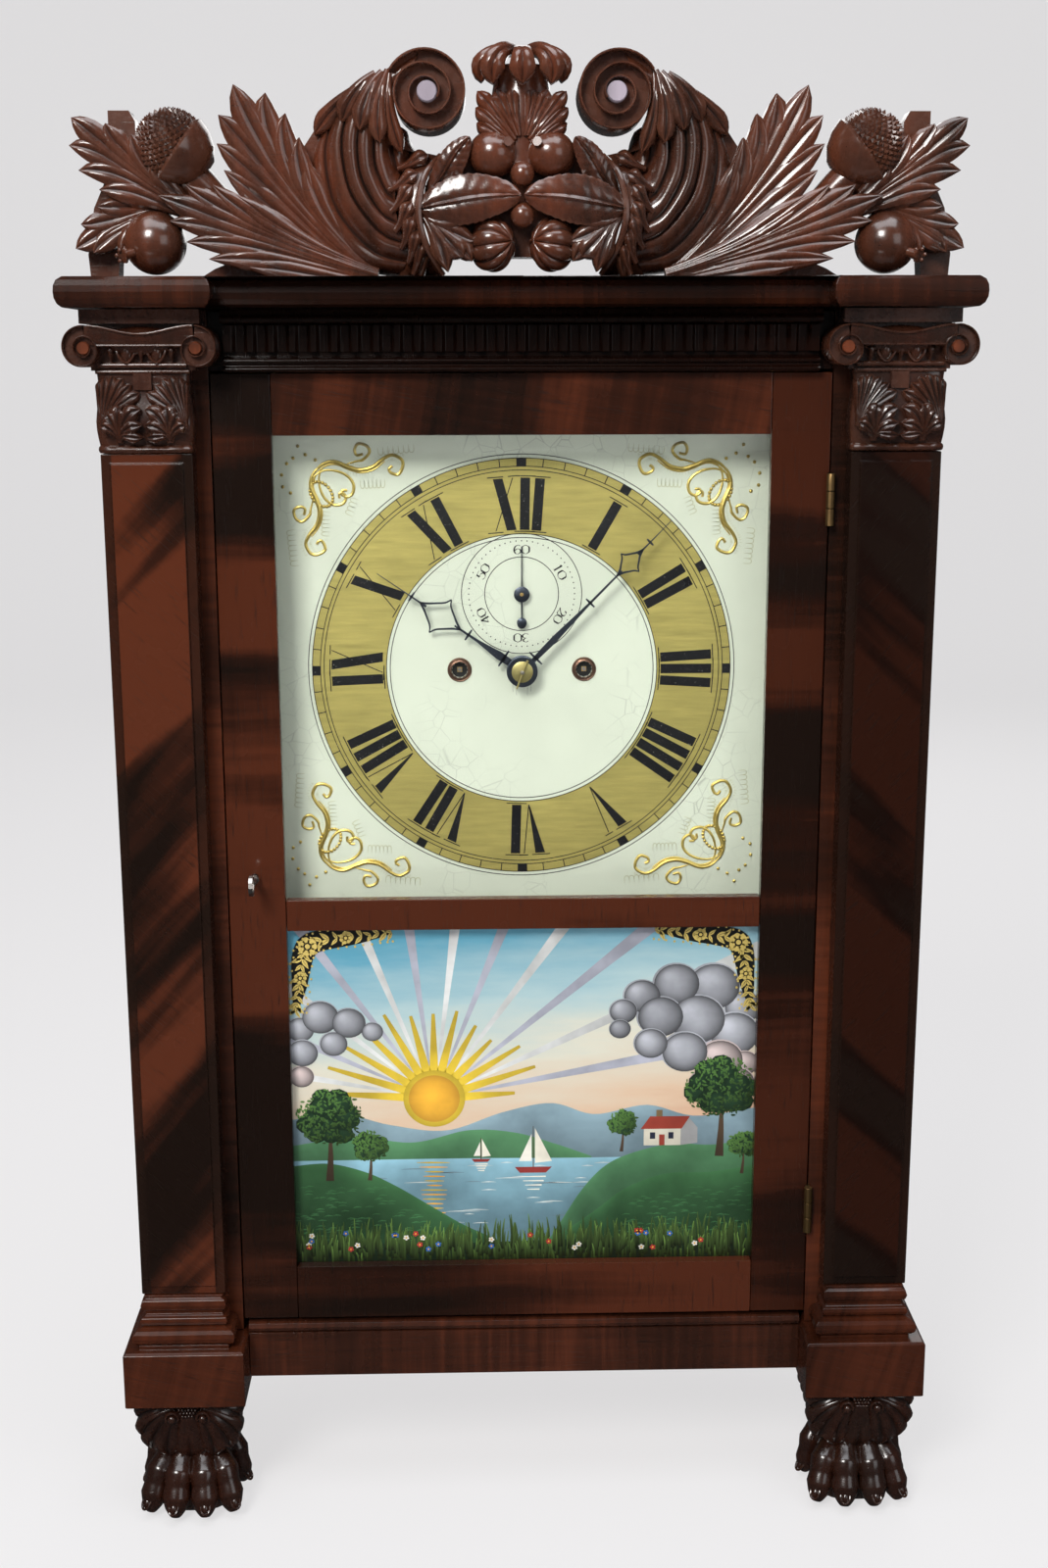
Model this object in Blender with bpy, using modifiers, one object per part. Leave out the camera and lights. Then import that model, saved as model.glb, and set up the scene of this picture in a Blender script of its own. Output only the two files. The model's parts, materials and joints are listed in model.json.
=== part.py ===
"""Weight-driven shelf clock with flat pilasters, paw feet and a carved crest.

Metres, +Z up. The clock faces -Y and stands on the plane z = 0.
"""
import bpy
import bmesh
from math import asin, atan2, cos, hypot, pi, radians, sin, sqrt
from mathutils import Matrix, Vector

MM = 0.001
SEAT = 0.3 * MM
FLAT_ANGLE = 1.0
CARVED_FLAT_ANGLE = 11.0

# Door and its two openings
DOOR_WIDTH = 368.4 * MM
DOOR_THICKNESS = 19.0 * MM
STILE_WIDTH = 35.2 * MM
BOTTOM_RAIL_HEIGHT = 35.8 * MM
TABLET_OPENING_HEIGHT = 228.7 * MM
MIDDLE_RAIL_HEIGHT = 19.8 * MM
DIAL_OPENING_HEIGHT = 286.5 * MM
TOP_RAIL_HEIGHT = 36.1 * MM
DOOR_GAP = 0.8 * MM
DOOR_LIFT = 8.7 * MM
REBATE_WIDTH = 5.0 * MM
REBATE_DEPTH = 11.0 * MM
GLASS_THICKNESS = 2.0 * MM

# Case, from the floor up
FOOT_HEIGHT = 82.5 * MM
BLOCK_HEIGHT = 39.0 * MM
BASE_MOULDING_HEIGHT = 35.5 * MM
NECK_BELOW_DOOR_TOP = 45.5 * MM
CAPITAL_HEIGHT = 73.2 * MM
ENTABLATURE_HEIGHT = 9.1 * MM
CORNICE_HEIGHT = 17.3 * MM
CREST_HEIGHT = 127.5 * MM
PILASTER_WIDTH = 53.6 * MM
PILASTER_DEPTH = 18.0 * MM
PILASTER_PANEL_BORDER = 5.5 * MM
PILASTER_PANEL_RISE = 1.5 * MM
REVEAL = 8.7 * MM
BLOCK_WIDTH = 77.3 * MM
BLOCK_PROJECTION = 30.0 * MM
BLOCK_DEPTH = 65.0 * MM
CORNICE_OVERHANG = 17.8 * MM
CORNICE_CAP_PROJECTION = 40.0 * MM
CORNICE_MID_PROJECTION = 22.0 * MM
CORNICE_CAP_WIDTH = 88.2 * MM
FACE_THICKNESS = 20.0 * MM
SIDE_THICKNESS = 12.0 * MM
FLOOR_THICKNESS = 12.0 * MM
BACK_BOARD_THICKNESS = 8.0 * MM
REAR_FOOT_WIDTH = 40.0 * MM
REAR_FOOT_DEPTH = 38.0 * MM
BOTTOM_RAIL_DROP = 33.1 * MM
BEAD_HEIGHT = 7.5 * MM

# Frieze with its flutes
FRIEZE_FLUTES = 28
FLUTE_RADIUS = 4.6 * MM
FLUTE_DEPTH = 3.0 * MM
FRIEZE_PROJECTION = 6.0 * MM
FRIEZE_FILLET_PROJECTION = 16.0 * MM
FRIEZE_BEAD_PROJECTION = 8.0 * MM

# Dial and hands
DIAL_SETBACK = 33.6 * MM
DIAL_THICKNESS = 8.0 * MM
DIAL_WIDTH = 390.0 * MM
DIAL_HEIGHT = 318.0 * MM
DIAL_DROP = 3.0 * MM
WINDING_SPACING = 78.12 * MM
SECONDS_RISE = 47.6 * MM
WINDING_HOLE_RADIUS = 5.0 * MM
GROMMET_RADIUS = 7.4 * MM
GROMMET_RISE = 1.2 * MM
MINUTE_HAND_LENGTH = 130.6 * MM
HOUR_HAND_LENGTH = 108.0 * MM
SECONDS_HAND_LENGTH = 29.6 * MM
MINUTE_HAND_ANGLE = 44.6
HOUR_HAND_ANGLE = 303.8
HAND_THICKNESS = 1.2 * MM
HUB_RADIUS = 9.7 * MM

# Movement
FRONT_WORK_SPACE = 10.4 * MM
PLATE_THICKNESS = 2.0 * MM
PLATE_SPACING = 30.0 * MM
PENDULUM_SPACE = 14.0 * MM
PLATE_WIDTH = 148.0 * MM
PLATE_ABOVE = 92.0 * MM
PLATE_BELOW = 48.0 * MM
PILLAR_RADIUS = 3.0 * MM
PILLAR_X = 58.0 * MM
PILLAR_TOP = 86.0 * MM
PILLAR_BOTTOM = 42.0 * MM
ARBOR_RADIUS = 1.2 * MM
RUNNING_GAP = 0.3 * MM
PIPE_RADIUS = 3.2 * MM
CANNON_RADIUS = 1.7 * MM
WHEEL_THICKNESS = 1.6 * MM
GREAT_TEETH = 60
PINION_LEAVES = 6
CENTRE_TEETH = 48
THIRD_TEETH = 45
ESCAPE_TEETH = 45
ESCAPE_RADIUS = 17.0 * MM
CENTRE_MODULE = 1.0 * MM
THIRD_MODULE = 0.9 * MM
MOTION_OFFSET = 18.0 * MM
MOTION_LEAVES = 8
MINUTE_TEETH = 24
HOUR_TEETH = 32
PIN_TEETH = 36
PIN_COUNT = 8
PIN_MODULE = 1.15 * MM
WARNING_TEETH = 36
WARNING_MODULE = 0.92 * MM
FLY_RADIUS = 13.5 * MM
DRUM_RADIUS = 8.5 * MM
DRUM_FLANGE_RADIUS = 13.0 * MM
ANCHOR_RISE = 19.6 * MM
PENDULUM_LENGTH = 441.5 * MM
BOB_RADIUS = 30.0 * MM
BOB_THICKNESS = 11.0 * MM
BELL_RADIUS = 32.0 * MM
BELL_HEIGHT = 18.0 * MM
BELL_X = -30.0 * MM
BELL_DROP = 75.0 * MM
ROD_RADIUS = 1.1 * MM
EYE_HALF = 1.6 * MM
HAMMER_X = -67.0 * MM
HAMMER_RISE = 56.0 * MM

# Weights, cords and pulleys
CORD_DIAMETER = 1.5 * MM
WEIGHT_RADIUS = 20.0 * MM
WEIGHT_LENGTH = 120.0 * MM
WEIGHT_X = 190.0 * MM
WEIGHT_FLOOR_GAP = 8.0 * MM
WEIGHT_PULLEY_RADIUS = 8.0 * MM
TOP_PULLEY_RADIUS = 12.0 * MM
TOP_PULLEY_DROP = 32.0 * MM
STIRRUP_HEIGHT = 26.0 * MM

# Lock and hinges
LOCK_X_INSET = 16.6 * MM
LOCK_BELOW_CENTER = 125.0 * MM
KEY_LENGTH = 26.0 * MM
KEY_RADIUS = 2.0 * MM
KEY_BOW_RADIUS = 6.5 * MM
BOLT_LENGTH = 20.0 * MM
HINGE_LENGTH = 31.0 * MM
HINGE_INSET = 75.0 * MM
HINGE_BARREL_RADIUS = 2.6 * MM
HINGE_PIN_RADIUS = 1.2 * MM
HINGE_LEAF_THICKNESS = 1.0 * MM
HINGE_LEAF_WIDTH = 15.0 * MM

# Heights worked out from the sizes above
BLOCK_TOP_Z = FOOT_HEIGHT + BLOCK_HEIGHT
BASE_TOP_Z = BLOCK_TOP_Z + BASE_MOULDING_HEIGHT
DOOR_BOTTOM_Z = BLOCK_TOP_Z + DOOR_LIFT
TABLET_Z = DOOR_BOTTOM_Z + BOTTOM_RAIL_HEIGHT
TABLET_TOP_Z = TABLET_Z + TABLET_OPENING_HEIGHT
DIAL_OPENING_Z = TABLET_TOP_Z + MIDDLE_RAIL_HEIGHT
DIAL_OPENING_TOP_Z = DIAL_OPENING_Z + DIAL_OPENING_HEIGHT
DOOR_TOP_Z = DIAL_OPENING_TOP_Z + TOP_RAIL_HEIGHT
CAPITAL_Z = DOOR_TOP_Z - NECK_BELOW_DOOR_TOP
CAPITAL_TOP_Z = CAPITAL_Z + CAPITAL_HEIGHT
CORNICE_Z = CAPITAL_TOP_Z + ENTABLATURE_HEIGHT
CREST_Z = CORNICE_Z + CORNICE_HEIGHT
DIAL_Z = DIAL_OPENING_Z + DIAL_OPENING_HEIGHT / 2 - DIAL_DROP

# Depths, with the clock's middle at y = 0
CASE_DEPTH = (
    DIAL_SETBACK + DIAL_THICKNESS + FRONT_WORK_SPACE + 2 * PLATE_THICKNESS
    + PLATE_SPACING + PENDULUM_SPACE
)
OVERALL_DEPTH = CORNICE_CAP_PROJECTION + CASE_DEPTH + BACK_BOARD_THICKNESS
FRONT_Y = CORNICE_CAP_PROJECTION - OVERALL_DEPTH / 2
DOOR_BACK_Y = FRONT_Y + DOOR_THICKNESS
DIAL_Y = FRONT_Y + DIAL_SETBACK
DIAL_BACK_Y = DIAL_Y + DIAL_THICKNESS
PLATE_Y = DIAL_BACK_Y + FRONT_WORK_SPACE
WORKS_Y = PLATE_Y + PLATE_THICKNESS
REAR_PLATE_Y = WORKS_Y + PLATE_SPACING
BACK_Y = FRONT_Y + CASE_DEPTH
REAR_Y = BACK_Y + BACK_BOARD_THICKNESS

# Widths
DOOR_HALF = DOOR_WIDTH / 2
OPENING_HALF = DOOR_HALF - STILE_WIDTH
FACE_X = DOOR_HALF + DOOR_GAP
PILASTER_X = FACE_X + REVEAL
CASE_HALF = PILASTER_X + PILASTER_WIDTH
COLUMN_X = PILASTER_X + PILASTER_WIDTH / 2
BLOCK_X = COLUMN_X - BLOCK_WIDTH / 2
CORNICE_HALF = CASE_HALF + CORNICE_OVERHANG
PENDULUM_Y = REAR_PLATE_Y + PLATE_THICKNESS + PENDULUM_SPACE / 2
WEIGHT_Y = WORKS_Y + 16.0 * MM

MAHOGANY = ("mahogany", (0.115, 0.030, 0.014), 0.32, 0.0)
SECONDARY = ("secondary_pine", (0.42, 0.27, 0.14), 0.62, 0.0)
BRASS = ("brass", (0.72, 0.52, 0.20), 0.30, 1.0)
STEEL = ("steel", (0.42, 0.43, 0.45), 0.35, 1.0)
BLUED = ("blued_steel", (0.045, 0.050, 0.060), 0.34, 0.6)
IRON = ("cast_iron", (0.10, 0.095, 0.09), 0.60, 0.4)
ENAMEL = ("painted_dial", (0.80, 0.83, 0.74), 0.38, 0.0)
PANE = ("window_glass", (0.90, 0.93, 0.92), 0.05, 0.0)
TABLET = ("painted_glass", (0.34, 0.44, 0.40), 0.12, 0.0)
CORD = ("gut_cord", (0.55, 0.42, 0.25), 0.70, 0.0)
BELL_METAL = ("bell_metal", (0.62, 0.50, 0.30), 0.28, 1.0)

for leftover in list(bpy.data.objects):
    bpy.data.objects.remove(leftover, do_unlink=True)

PARTS = bpy.data.collections.new("shelf_clock")
bpy.context.scene.collection.children.link(PARTS)
CUTTERS = bpy.data.collections.new("cutters")
bpy.context.scene.collection.children.link(CUTTERS)


# Materials

def material(finish):
    name, colour, roughness, metallic = finish
    found = bpy.data.materials.get(name)
    if found:
        return found
    made = bpy.data.materials.new(name)
    made.use_nodes = True
    shader = made.node_tree.nodes["Principled BSDF"]
    shader.inputs["Base Color"].default_value = (*colour, 1.0)
    shader.inputs["Roughness"].default_value = roughness
    shader.inputs["Metallic"].default_value = metallic
    if name == "window_glass":
        shader.inputs["Transmission Weight"].default_value = 1.0
    made.diffuse_color = (*colour, 1.0)
    return made


# Shapes: each returns a closed mesh object in the cutters' collection

def shape_from(bm, label="shape"):
    bmesh.ops.recalc_face_normals(bm, faces=bm.faces)
    mesh = bpy.data.meshes.new(label)
    bm.to_mesh(mesh)
    bm.free()
    made = bpy.data.objects.new(label, mesh)
    CUTTERS.objects.link(made)
    made.hide_render = True
    made.display_type = "WIRE"
    return made


def box(x0, x1, y0, y1, z0, z1):
    bm = bmesh.new()
    bmesh.ops.create_cube(bm, size=1.0)
    size = Vector((x1 - x0, y1 - y0, z1 - z0))
    centre = Vector((x0 + x1, y0 + y1, z0 + z1)) / 2
    bmesh.ops.scale(bm, vec=size, verts=bm.verts)
    bmesh.ops.translate(bm, vec=centre, verts=bm.verts)
    return shape_from(bm, "box")


def rod(start, end, radius, sides=10, end_radius=None, turn=0.0):
    start = Vector(start)
    along = Vector(end) - start
    bm = bmesh.new()
    bmesh.ops.create_cone(
        bm, cap_ends=True, segments=sides, radius1=radius,
        radius2=radius if end_radius is None else end_radius, depth=along.length,
    )
    place = Matrix.Translation(start + along / 2)
    place @= along.to_track_quat("Z", "Y").to_matrix().to_4x4()
    place @= Matrix.Rotation(turn, 4, "Z")
    bmesh.ops.transform(bm, matrix=place, verts=bm.verts)
    return shape_from(bm, "rod")


def ball(centre, radius, squash=(1.0, 1.0, 1.0), segments=10, rings=6):
    bm = bmesh.new()
    bmesh.ops.create_uvsphere(bm, u_segments=segments, v_segments=rings, radius=radius)
    bmesh.ops.scale(bm, vec=squash, verts=bm.verts)
    bmesh.ops.translate(bm, vec=Vector(centre), verts=bm.verts)
    return shape_from(bm, "ball")


def baked(source):
    """Turn a curve or a modified object into a welded mesh object."""
    bpy.context.view_layer.update()
    evaluated = source.evaluated_get(bpy.context.evaluated_depsgraph_get())
    mesh = bpy.data.meshes.new_from_object(evaluated)
    matrix = source.matrix_world.copy()
    bpy.data.objects.remove(source, do_unlink=True)
    bm = bmesh.new()
    bm.from_mesh(mesh)
    bmesh.ops.transform(bm, matrix=matrix, verts=bm.verts)
    bmesh.ops.remove_doubles(bm, verts=bm.verts, dist=0.002 * MM)
    bpy.data.meshes.remove(mesh)
    return shape_from(bm)


AXES = {
    "XY": Matrix(((1, 0, 0, 0), (0, 1, 0, 0), (0, 0, 1, 0), (0, 0, 0, 1))),
    "XZ": Matrix(((1, 0, 0, 0), (0, 0, -1, 0), (0, 1, 0, 0), (0, 0, 0, 1))),
    "YZ": Matrix(((0, 0, 1, 0), (1, 0, 0, 0), (0, 1, 0, 0), (0, 0, 0, 1))),
    "YX": Matrix(((0, 1, 0, 0), (1, 0, 0, 0), (0, 0, -1, 0), (0, 0, 0, 1))),
}


def plate(outline, low, high, plane="XZ", holes=()):
    """Extrude a flat outline (with holes) from low to high, square to its plane."""
    curve = bpy.data.curves.new("outline", "CURVE")
    curve.dimensions = "2D"
    curve.fill_mode = "BOTH"
    curve.extrude = (high - low) / 2 / MM
    for loop in (outline, *holes):
        spline = curve.splines.new("POLY")
        spline.points.add(len(loop) - 1)
        for point, (u, v) in zip(spline.points, loop):
            point.co = (u / MM, v / MM, 0.0, 1.0)
        spline.use_cyclic_u = True
    drawn = bpy.data.objects.new("outline", curve)
    CUTTERS.objects.link(drawn)
    middle = (low + high) / 2
    if plane in ("XZ", "YX"):
        middle = -middle
    drawn.matrix_world = (
        AXES[plane] @ Matrix.Translation((0, 0, middle)) @ Matrix.Diagonal((MM, MM, MM, 1.0))
    )
    return baked(drawn)


def circle(centre, radius, sides=12, turn=0.0):
    u, v = centre
    return [
        (u + radius * cos(turn + 2 * pi * i / sides), v + radius * sin(turn + 2 * pi * i / sides))
        for i in range(sides)
    ]


def turned(profile, place, steps=16):
    """Revolve (radius, height) pairs, listed from the top down the outside, about a local Z."""
    bm = bmesh.new()
    verts = [bm.verts.new((radius, 0.0, height)) for radius, height in profile]
    for first, second in zip(verts, verts[1:]):
        bm.edges.new((first, second))
    if profile[0][0] > 0:
        bm.edges.new((verts[-1], verts[0]))
    mesh = bpy.data.meshes.new("profile")
    bm.to_mesh(mesh)
    bm.free()
    made = bpy.data.objects.new("profile", mesh)
    CUTTERS.objects.link(made)
    screw = made.modifiers.new("turn", "SCREW")
    screw.axis = "Z"
    screw.steps = steps
    screw.render_steps = steps
    screw.use_merge_vertices = True
    screw.merge_threshold = 0.01 * MM
    screw.use_smooth_shade = False
    made.matrix_world = place
    return baked(made)


def facing(x, y, z):
    """Place a turned shape's axis along +Y at a point."""
    return Matrix.Translation((x, y, z)) @ Matrix.Rotation(-pi / 2, 4, "X")


def upright(x, y, z):
    return Matrix.Translation((x, y, z))


def loft(rings):
    """Skin closed rings of equal count; a ring of one point closes in a tip."""
    bm = bmesh.new()
    rows = [[bm.verts.new(point) for point in ring] for ring in rings]
    for lower, upper in zip(rows, rows[1:]):
        count = max(len(lower), len(upper))
        for i in range(count):
            j = (i + 1) % count
            if len(lower) == 1:
                bm.faces.new((lower[0], upper[j], upper[i]))
            elif len(upper) == 1:
                bm.faces.new((lower[i], lower[j], upper[0]))
            else:
                bm.faces.new((lower[i], lower[j], upper[j], upper[i]))
    for row in (rows[0], rows[-1]):
        if len(row) > 2:
            bm.faces.new(row)
    bmesh.ops.triangulate(bm, faces=bm.faces)
    return shape_from(bm, "loft")


def tube(points, radius, resolution=2, taper=None):
    """A round tube along points, with filled ends."""
    curve = bpy.data.curves.new("tube", "CURVE")
    curve.dimensions = "3D"
    curve.bevel_depth = radius / MM
    curve.bevel_resolution = resolution
    curve.use_fill_caps = True
    spline = curve.splines.new("POLY")
    spline.points.add(len(points) - 1)
    for i, (point, place) in enumerate(zip(spline.points, points)):
        point.co = (*(Vector(place) / MM), 1.0)
        if taper:
            point.radius = taper[i]
    drawn = bpy.data.objects.new("tube", curve)
    CUTTERS.objects.link(drawn)
    drawn.matrix_world = Matrix.Diagonal((MM, MM, MM, 1.0))
    return baked(drawn)


def combine(target, others, operation):
    for other in others:
        step = target.modifiers.new("join", "BOOLEAN")
        step.operation = operation
        step.solver = "EXACT"
        step.object = other
    return target


def mirrored(shape):
    """A copy of a shape on the other side of x = 0."""
    bm = bmesh.new()
    bm.from_mesh(shape.data)
    bmesh.ops.scale(bm, vec=(-1, 1, 1), verts=bm.verts)
    return shape_from(bm, "mirrored")


def merge_flats(mesh, flat_angle):
    """Merge faces that lie in one plane, so that no flat face stays cut up."""
    bm = bmesh.new()
    bm.from_mesh(mesh)
    bmesh.ops.dissolve_limit(bm, angle_limit=radians(flat_angle), verts=bm.verts, edges=bm.edges)
    bmesh.ops.triangulate(bm, faces=bm.faces)
    bm.to_mesh(mesh)
    bm.free()


def piece(name, finish, shapes, cuts=(), pivot=(0, 0, 0), smooth=False, flat_angle=FLAT_ANGLE):
    """Join shapes, take the cuts away, and keep the result as one named part."""
    first = shapes[0]
    helpers = [*shapes[1:], *cuts]
    combine(first, shapes[1:], "UNION")
    combine(first, cuts, "DIFFERENCE")
    joined = baked(first) if helpers else first
    for helper in helpers:
        bpy.data.objects.remove(helper, do_unlink=True)
    merge_flats(joined.data, flat_angle)
    CUTTERS.objects.unlink(joined)
    PARTS.objects.link(joined)
    joined.name = name
    joined.data.name = name
    joined.hide_render = False
    joined.display_type = "TEXTURED"
    joined.data.transform(Matrix.Translation(-Vector(pivot)))
    joined.location = pivot
    joined.data.materials.clear()
    joined.data.materials.append(material(finish))
    if smooth:
        joined.data.shade_smooth()
        joined.data.set_sharp_from_angle(angle=radians(35))
    return joined


def both_sides(name, finish, make, flat_angle=FLAT_ANGLE):
    """Build a part for the right side, and its mirror for the left."""
    for side, prefix in ((1, "right"), (-1, "left")):
        shapes, cuts = make()
        if side < 0:
            left_shapes = [mirrored(shape) for shape in shapes]
            left_cuts = [mirrored(cut) for cut in cuts]
            for shape in (*shapes, *cuts):
                bpy.data.objects.remove(shape, do_unlink=True)
            shapes, cuts = left_shapes, left_cuts
        piece(f"{prefix}_{name}", finish, shapes, cuts, flat_angle=flat_angle)


# Case

def side_board():
    hip_y = REAR_Y - BACK_BOARD_THICKNESS - REAR_FOOT_DEPTH
    block_back = FRONT_Y - BLOCK_PROJECTION + BLOCK_DEPTH + SEAT
    rail_z = FOOT_HEIGHT + FLOOR_THICKNESS
    outline = [
        (FRONT_Y, BLOCK_TOP_Z + SEAT), (block_back, BLOCK_TOP_Z + SEAT),
        (block_back, rail_z), (hip_y, rail_z), (hip_y + 8 * MM, FOOT_HEIGHT * 0.55),
        (hip_y + 12 * MM, 0.0), (BACK_Y - SEAT, 0.0), (BACK_Y - SEAT, CORNICE_Z - SEAT),
        (FRONT_Y, CORNICE_Z - SEAT),
    ]
    panel = plate(outline, CASE_HALF - SIDE_THICKNESS, CASE_HALF, "YZ")
    face = box(
        FACE_X, CASE_HALF - 1 * MM, FRONT_Y + 0.4 * MM, FRONT_Y + FACE_THICKNESS,
        BLOCK_TOP_Z + 2 * SEAT, CORNICE_Z - 2 * SEAT,
    )
    foot = plate(
        [
            (hip_y + 1 * MM, rail_z - 2 * MM), (hip_y + 9 * MM, FOOT_HEIGHT * 0.55),
            (hip_y + 13 * MM, 0.0), (BACK_Y - 2 * SEAT, 0.0), (BACK_Y - 2 * SEAT, rail_z - 2 * MM),
        ],
        CASE_HALF - REAR_FOOT_WIDTH, CASE_HALF - 1 * MM, "YZ",
    )
    dial_strip = box(
        FACE_X + SEAT, FACE_X + SEAT + 12 * MM,
        FRONT_Y + FACE_THICKNESS - 2 * MM, DIAL_Y - SEAT,
        DIAL_Z - DIAL_HEIGHT / 2, DIAL_Z + DIAL_HEIGHT / 2,
    )
    return [panel, face, foot, dial_strip], []


def hinge_heights():
    return (
        ("upper", DOOR_TOP_Z - HINGE_INSET),
        ("lower", DOOR_BOTTOM_Z + HINGE_INSET - 2 * MM),
    )


HINGE_X = (DOOR_HALF + FACE_X) / 2
HINGE_Y = FRONT_Y - HINGE_BARREL_RADIUS - 0.5 * MM
LEAF_BACK_Y = HINGE_Y + HINGE_LEAF_WIDTH
LEAF_SPLIT = 0.3 * MM


def hinge_mortise(height, side):
    """The pocket for a leaf; side is +1 in the case and -1 in the door."""
    reach = HINGE_X + side * (LEAF_SPLIT + HINGE_LEAF_THICKNESS + SEAT)
    far = HINGE_X - side * 2 * MM
    return box(
        min(reach, far), max(reach, far), HINGE_Y - 1 * MM, LEAF_BACK_Y + SEAT,
        height - HINGE_LENGTH / 2 - SEAT, height + HINGE_LENGTH / 2 + SEAT,
    )


LOCK_X = -DOOR_HALF + LOCK_X_INSET
LOCK_Z = DIAL_Z - LOCK_BELOW_CENTER
BOLT_Z = LOCK_Z + 8.0 * MM
BOLT_HALF = 3.2 * MM
BOLT_Y = FRONT_Y + DOOR_THICKNESS - 5.0 * MM
BOLT_THROW = 5.0 * MM
LOCK_WIDTH = 27.0 * MM
LOCK_TOP = 15.0 * MM
LOCK_BOTTOM = 13.0 * MM
LOCK_FRONT_Y = FRONT_Y + 9.0 * MM


def make_side_boards():
    for side, prefix in ((1, "right"), (-1, "left")):
        shapes, cuts = side_board()
        if side > 0:
            cuts = [hinge_mortise(height, 1) for _, height in hinge_heights()]
        else:
            right_shapes = shapes
            shapes = [mirrored(shape) for shape in right_shapes]
            for shape in right_shapes:
                bpy.data.objects.remove(shape, do_unlink=True)
            cuts = [box(
                -FACE_X - BOLT_THROW - 2 * MM, -FACE_X + 1 * MM,
                BOLT_Y - BOLT_HALF - SEAT, BOLT_Y + BOLT_HALF + SEAT,
                BOLT_Z - BOLT_HALF - SEAT, BOLT_Z + BOLT_HALF + SEAT,
            )]
        piece(f"{prefix}_side_board", MAHOGANY, shapes, cuts)


def moulding(half_width, back_y, rows):
    """Square-plan moulding round a column; rows are (projection, spread, height)."""
    rings = []
    for projection, spread, height in rows:
        reach = half_width + spread
        front = FRONT_Y - projection
        rings.append([
            Vector((COLUMN_X - reach, front, height)), Vector((COLUMN_X + reach, front, height)),
            Vector((COLUMN_X + reach, back_y, height)), Vector((COLUMN_X - reach, back_y, height)),
        ])
    return loft(rings)


def rounded_rows(projection, spread, low, high, bulge, count=4):
    """Rows of a half-round bead between two heights."""
    rows = []
    for i in range(count + 1):
        angle = -pi / 2 + pi * i / count
        out = bulge * cos(angle)
        rows.append((projection - bulge + out, spread - bulge + out,
                     (low + high) / 2 + (high - low) / 2 * sin(angle)))
    return rows


def plinth():
    block = moulding(BLOCK_WIDTH / 2, FRONT_Y - BLOCK_PROJECTION + BLOCK_DEPTH, [
        (BLOCK_PROJECTION - 1 * MM, -1 * MM, FOOT_HEIGHT + SEAT),
        (BLOCK_PROJECTION, 0.0, FOOT_HEIGHT + 1.2 * MM),
        (BLOCK_PROJECTION, 0.0, BLOCK_TOP_Z - 1.5 * MM),
        (BLOCK_PROJECTION - 1.5 * MM, -1.5 * MM, BLOCK_TOP_Z),
    ])
    half = PILASTER_WIDTH / 2
    rise = BASE_MOULDING_HEIGHT / (35.5 * MM)
    rows = [(24 * MM, 2 * MM, BLOCK_TOP_Z - 2 * MM), (24 * MM, 2 * MM, BLOCK_TOP_Z + 3 * MM * rise)]
    rows += rounded_rows(27 * MM, 6.2 * MM, BLOCK_TOP_Z + 3.2 * MM * rise,
                         BLOCK_TOP_Z + 13.9 * MM * rise, 5.0 * MM, 6)
    rows += rounded_rows(22 * MM, 1.2 * MM, BLOCK_TOP_Z + 15.0 * MM * rise,
                         BLOCK_TOP_Z + 21.3 * MM * rise, 2.6 * MM)
    rows += [(18.0 * MM, -2.0 * MM, BLOCK_TOP_Z + 22.5 * MM * rise),
             (18.5 * MM, -2.0 * MM, BLOCK_TOP_Z + 24.0 * MM * rise)]
    rows += rounded_rows(21.5 * MM, 0.6 * MM, BLOCK_TOP_Z + 24.9 * MM * rise,
                         BLOCK_TOP_Z + 33.5 * MM * rise, 3.2 * MM)
    rows += [(18.6 * MM, -1.5 * MM, BASE_TOP_Z - 1 * MM), (18.6 * MM, -1.5 * MM, BASE_TOP_Z - SEAT)]
    base = moulding(half, FRONT_Y - SEAT, rows)
    return [block, base], []


def pilaster():
    low = BASE_TOP_Z
    high = CAPITAL_Z - SEAT
    body = box(PILASTER_X, CASE_HALF, FRONT_Y - PILASTER_DEPTH + PILASTER_PANEL_RISE,
               FRONT_Y - SEAT, low, high)
    edge = PILASTER_PANEL_BORDER
    panel = box(PILASTER_X + edge, CASE_HALF - edge, FRONT_Y - PILASTER_DEPTH,
                FRONT_Y - PILASTER_DEPTH / 2, low + edge, high - edge)
    return [body, panel], []


def leaf(spine, normal, half_widths, depth, rise, lobes, back_shift=0.0):
    """A carved leaf: a ridged relief along a spine, with lobes that notch its edges.

    spine is a list of points, half_widths the width at each of them, normal points out of
    the carving; depth lies behind the spine and rise in front of it.
    """
    normal = Vector(normal).normalized()
    count = 2 * lobes + 2
    rings = []
    for i in range(count):
        t = i / count
        place, tangent, width = along_spine(spine, half_widths, t)
        across = tangent.cross(normal).normalized()
        notch = 1.0 if i % 2 else 0.66
        lead = tangent * (width * 0.35 if i % 2 else 0.0)
        out = width * notch
        lift = rise * (1.0 - 0.55 * t)
        back = -normal * (depth + back_shift)
        rings.append([
            place + across * out + lead - normal * depth * 0.35,
            place + across * out * 0.52 + lead * 0.5 + normal * lift * (0.75 if i % 2 else 0.35),
            place + normal * lift,
            place - across * out * 0.52 + lead * 0.5 + normal * lift * (0.75 if i % 2 else 0.35),
            place - across * out + lead - normal * depth * 0.35,
            place + back,
        ])
    tip, tangent, width = along_spine(spine, half_widths, 1.0)
    rings.append([tip - normal * depth * 0.2])
    return loft(rings)


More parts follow.
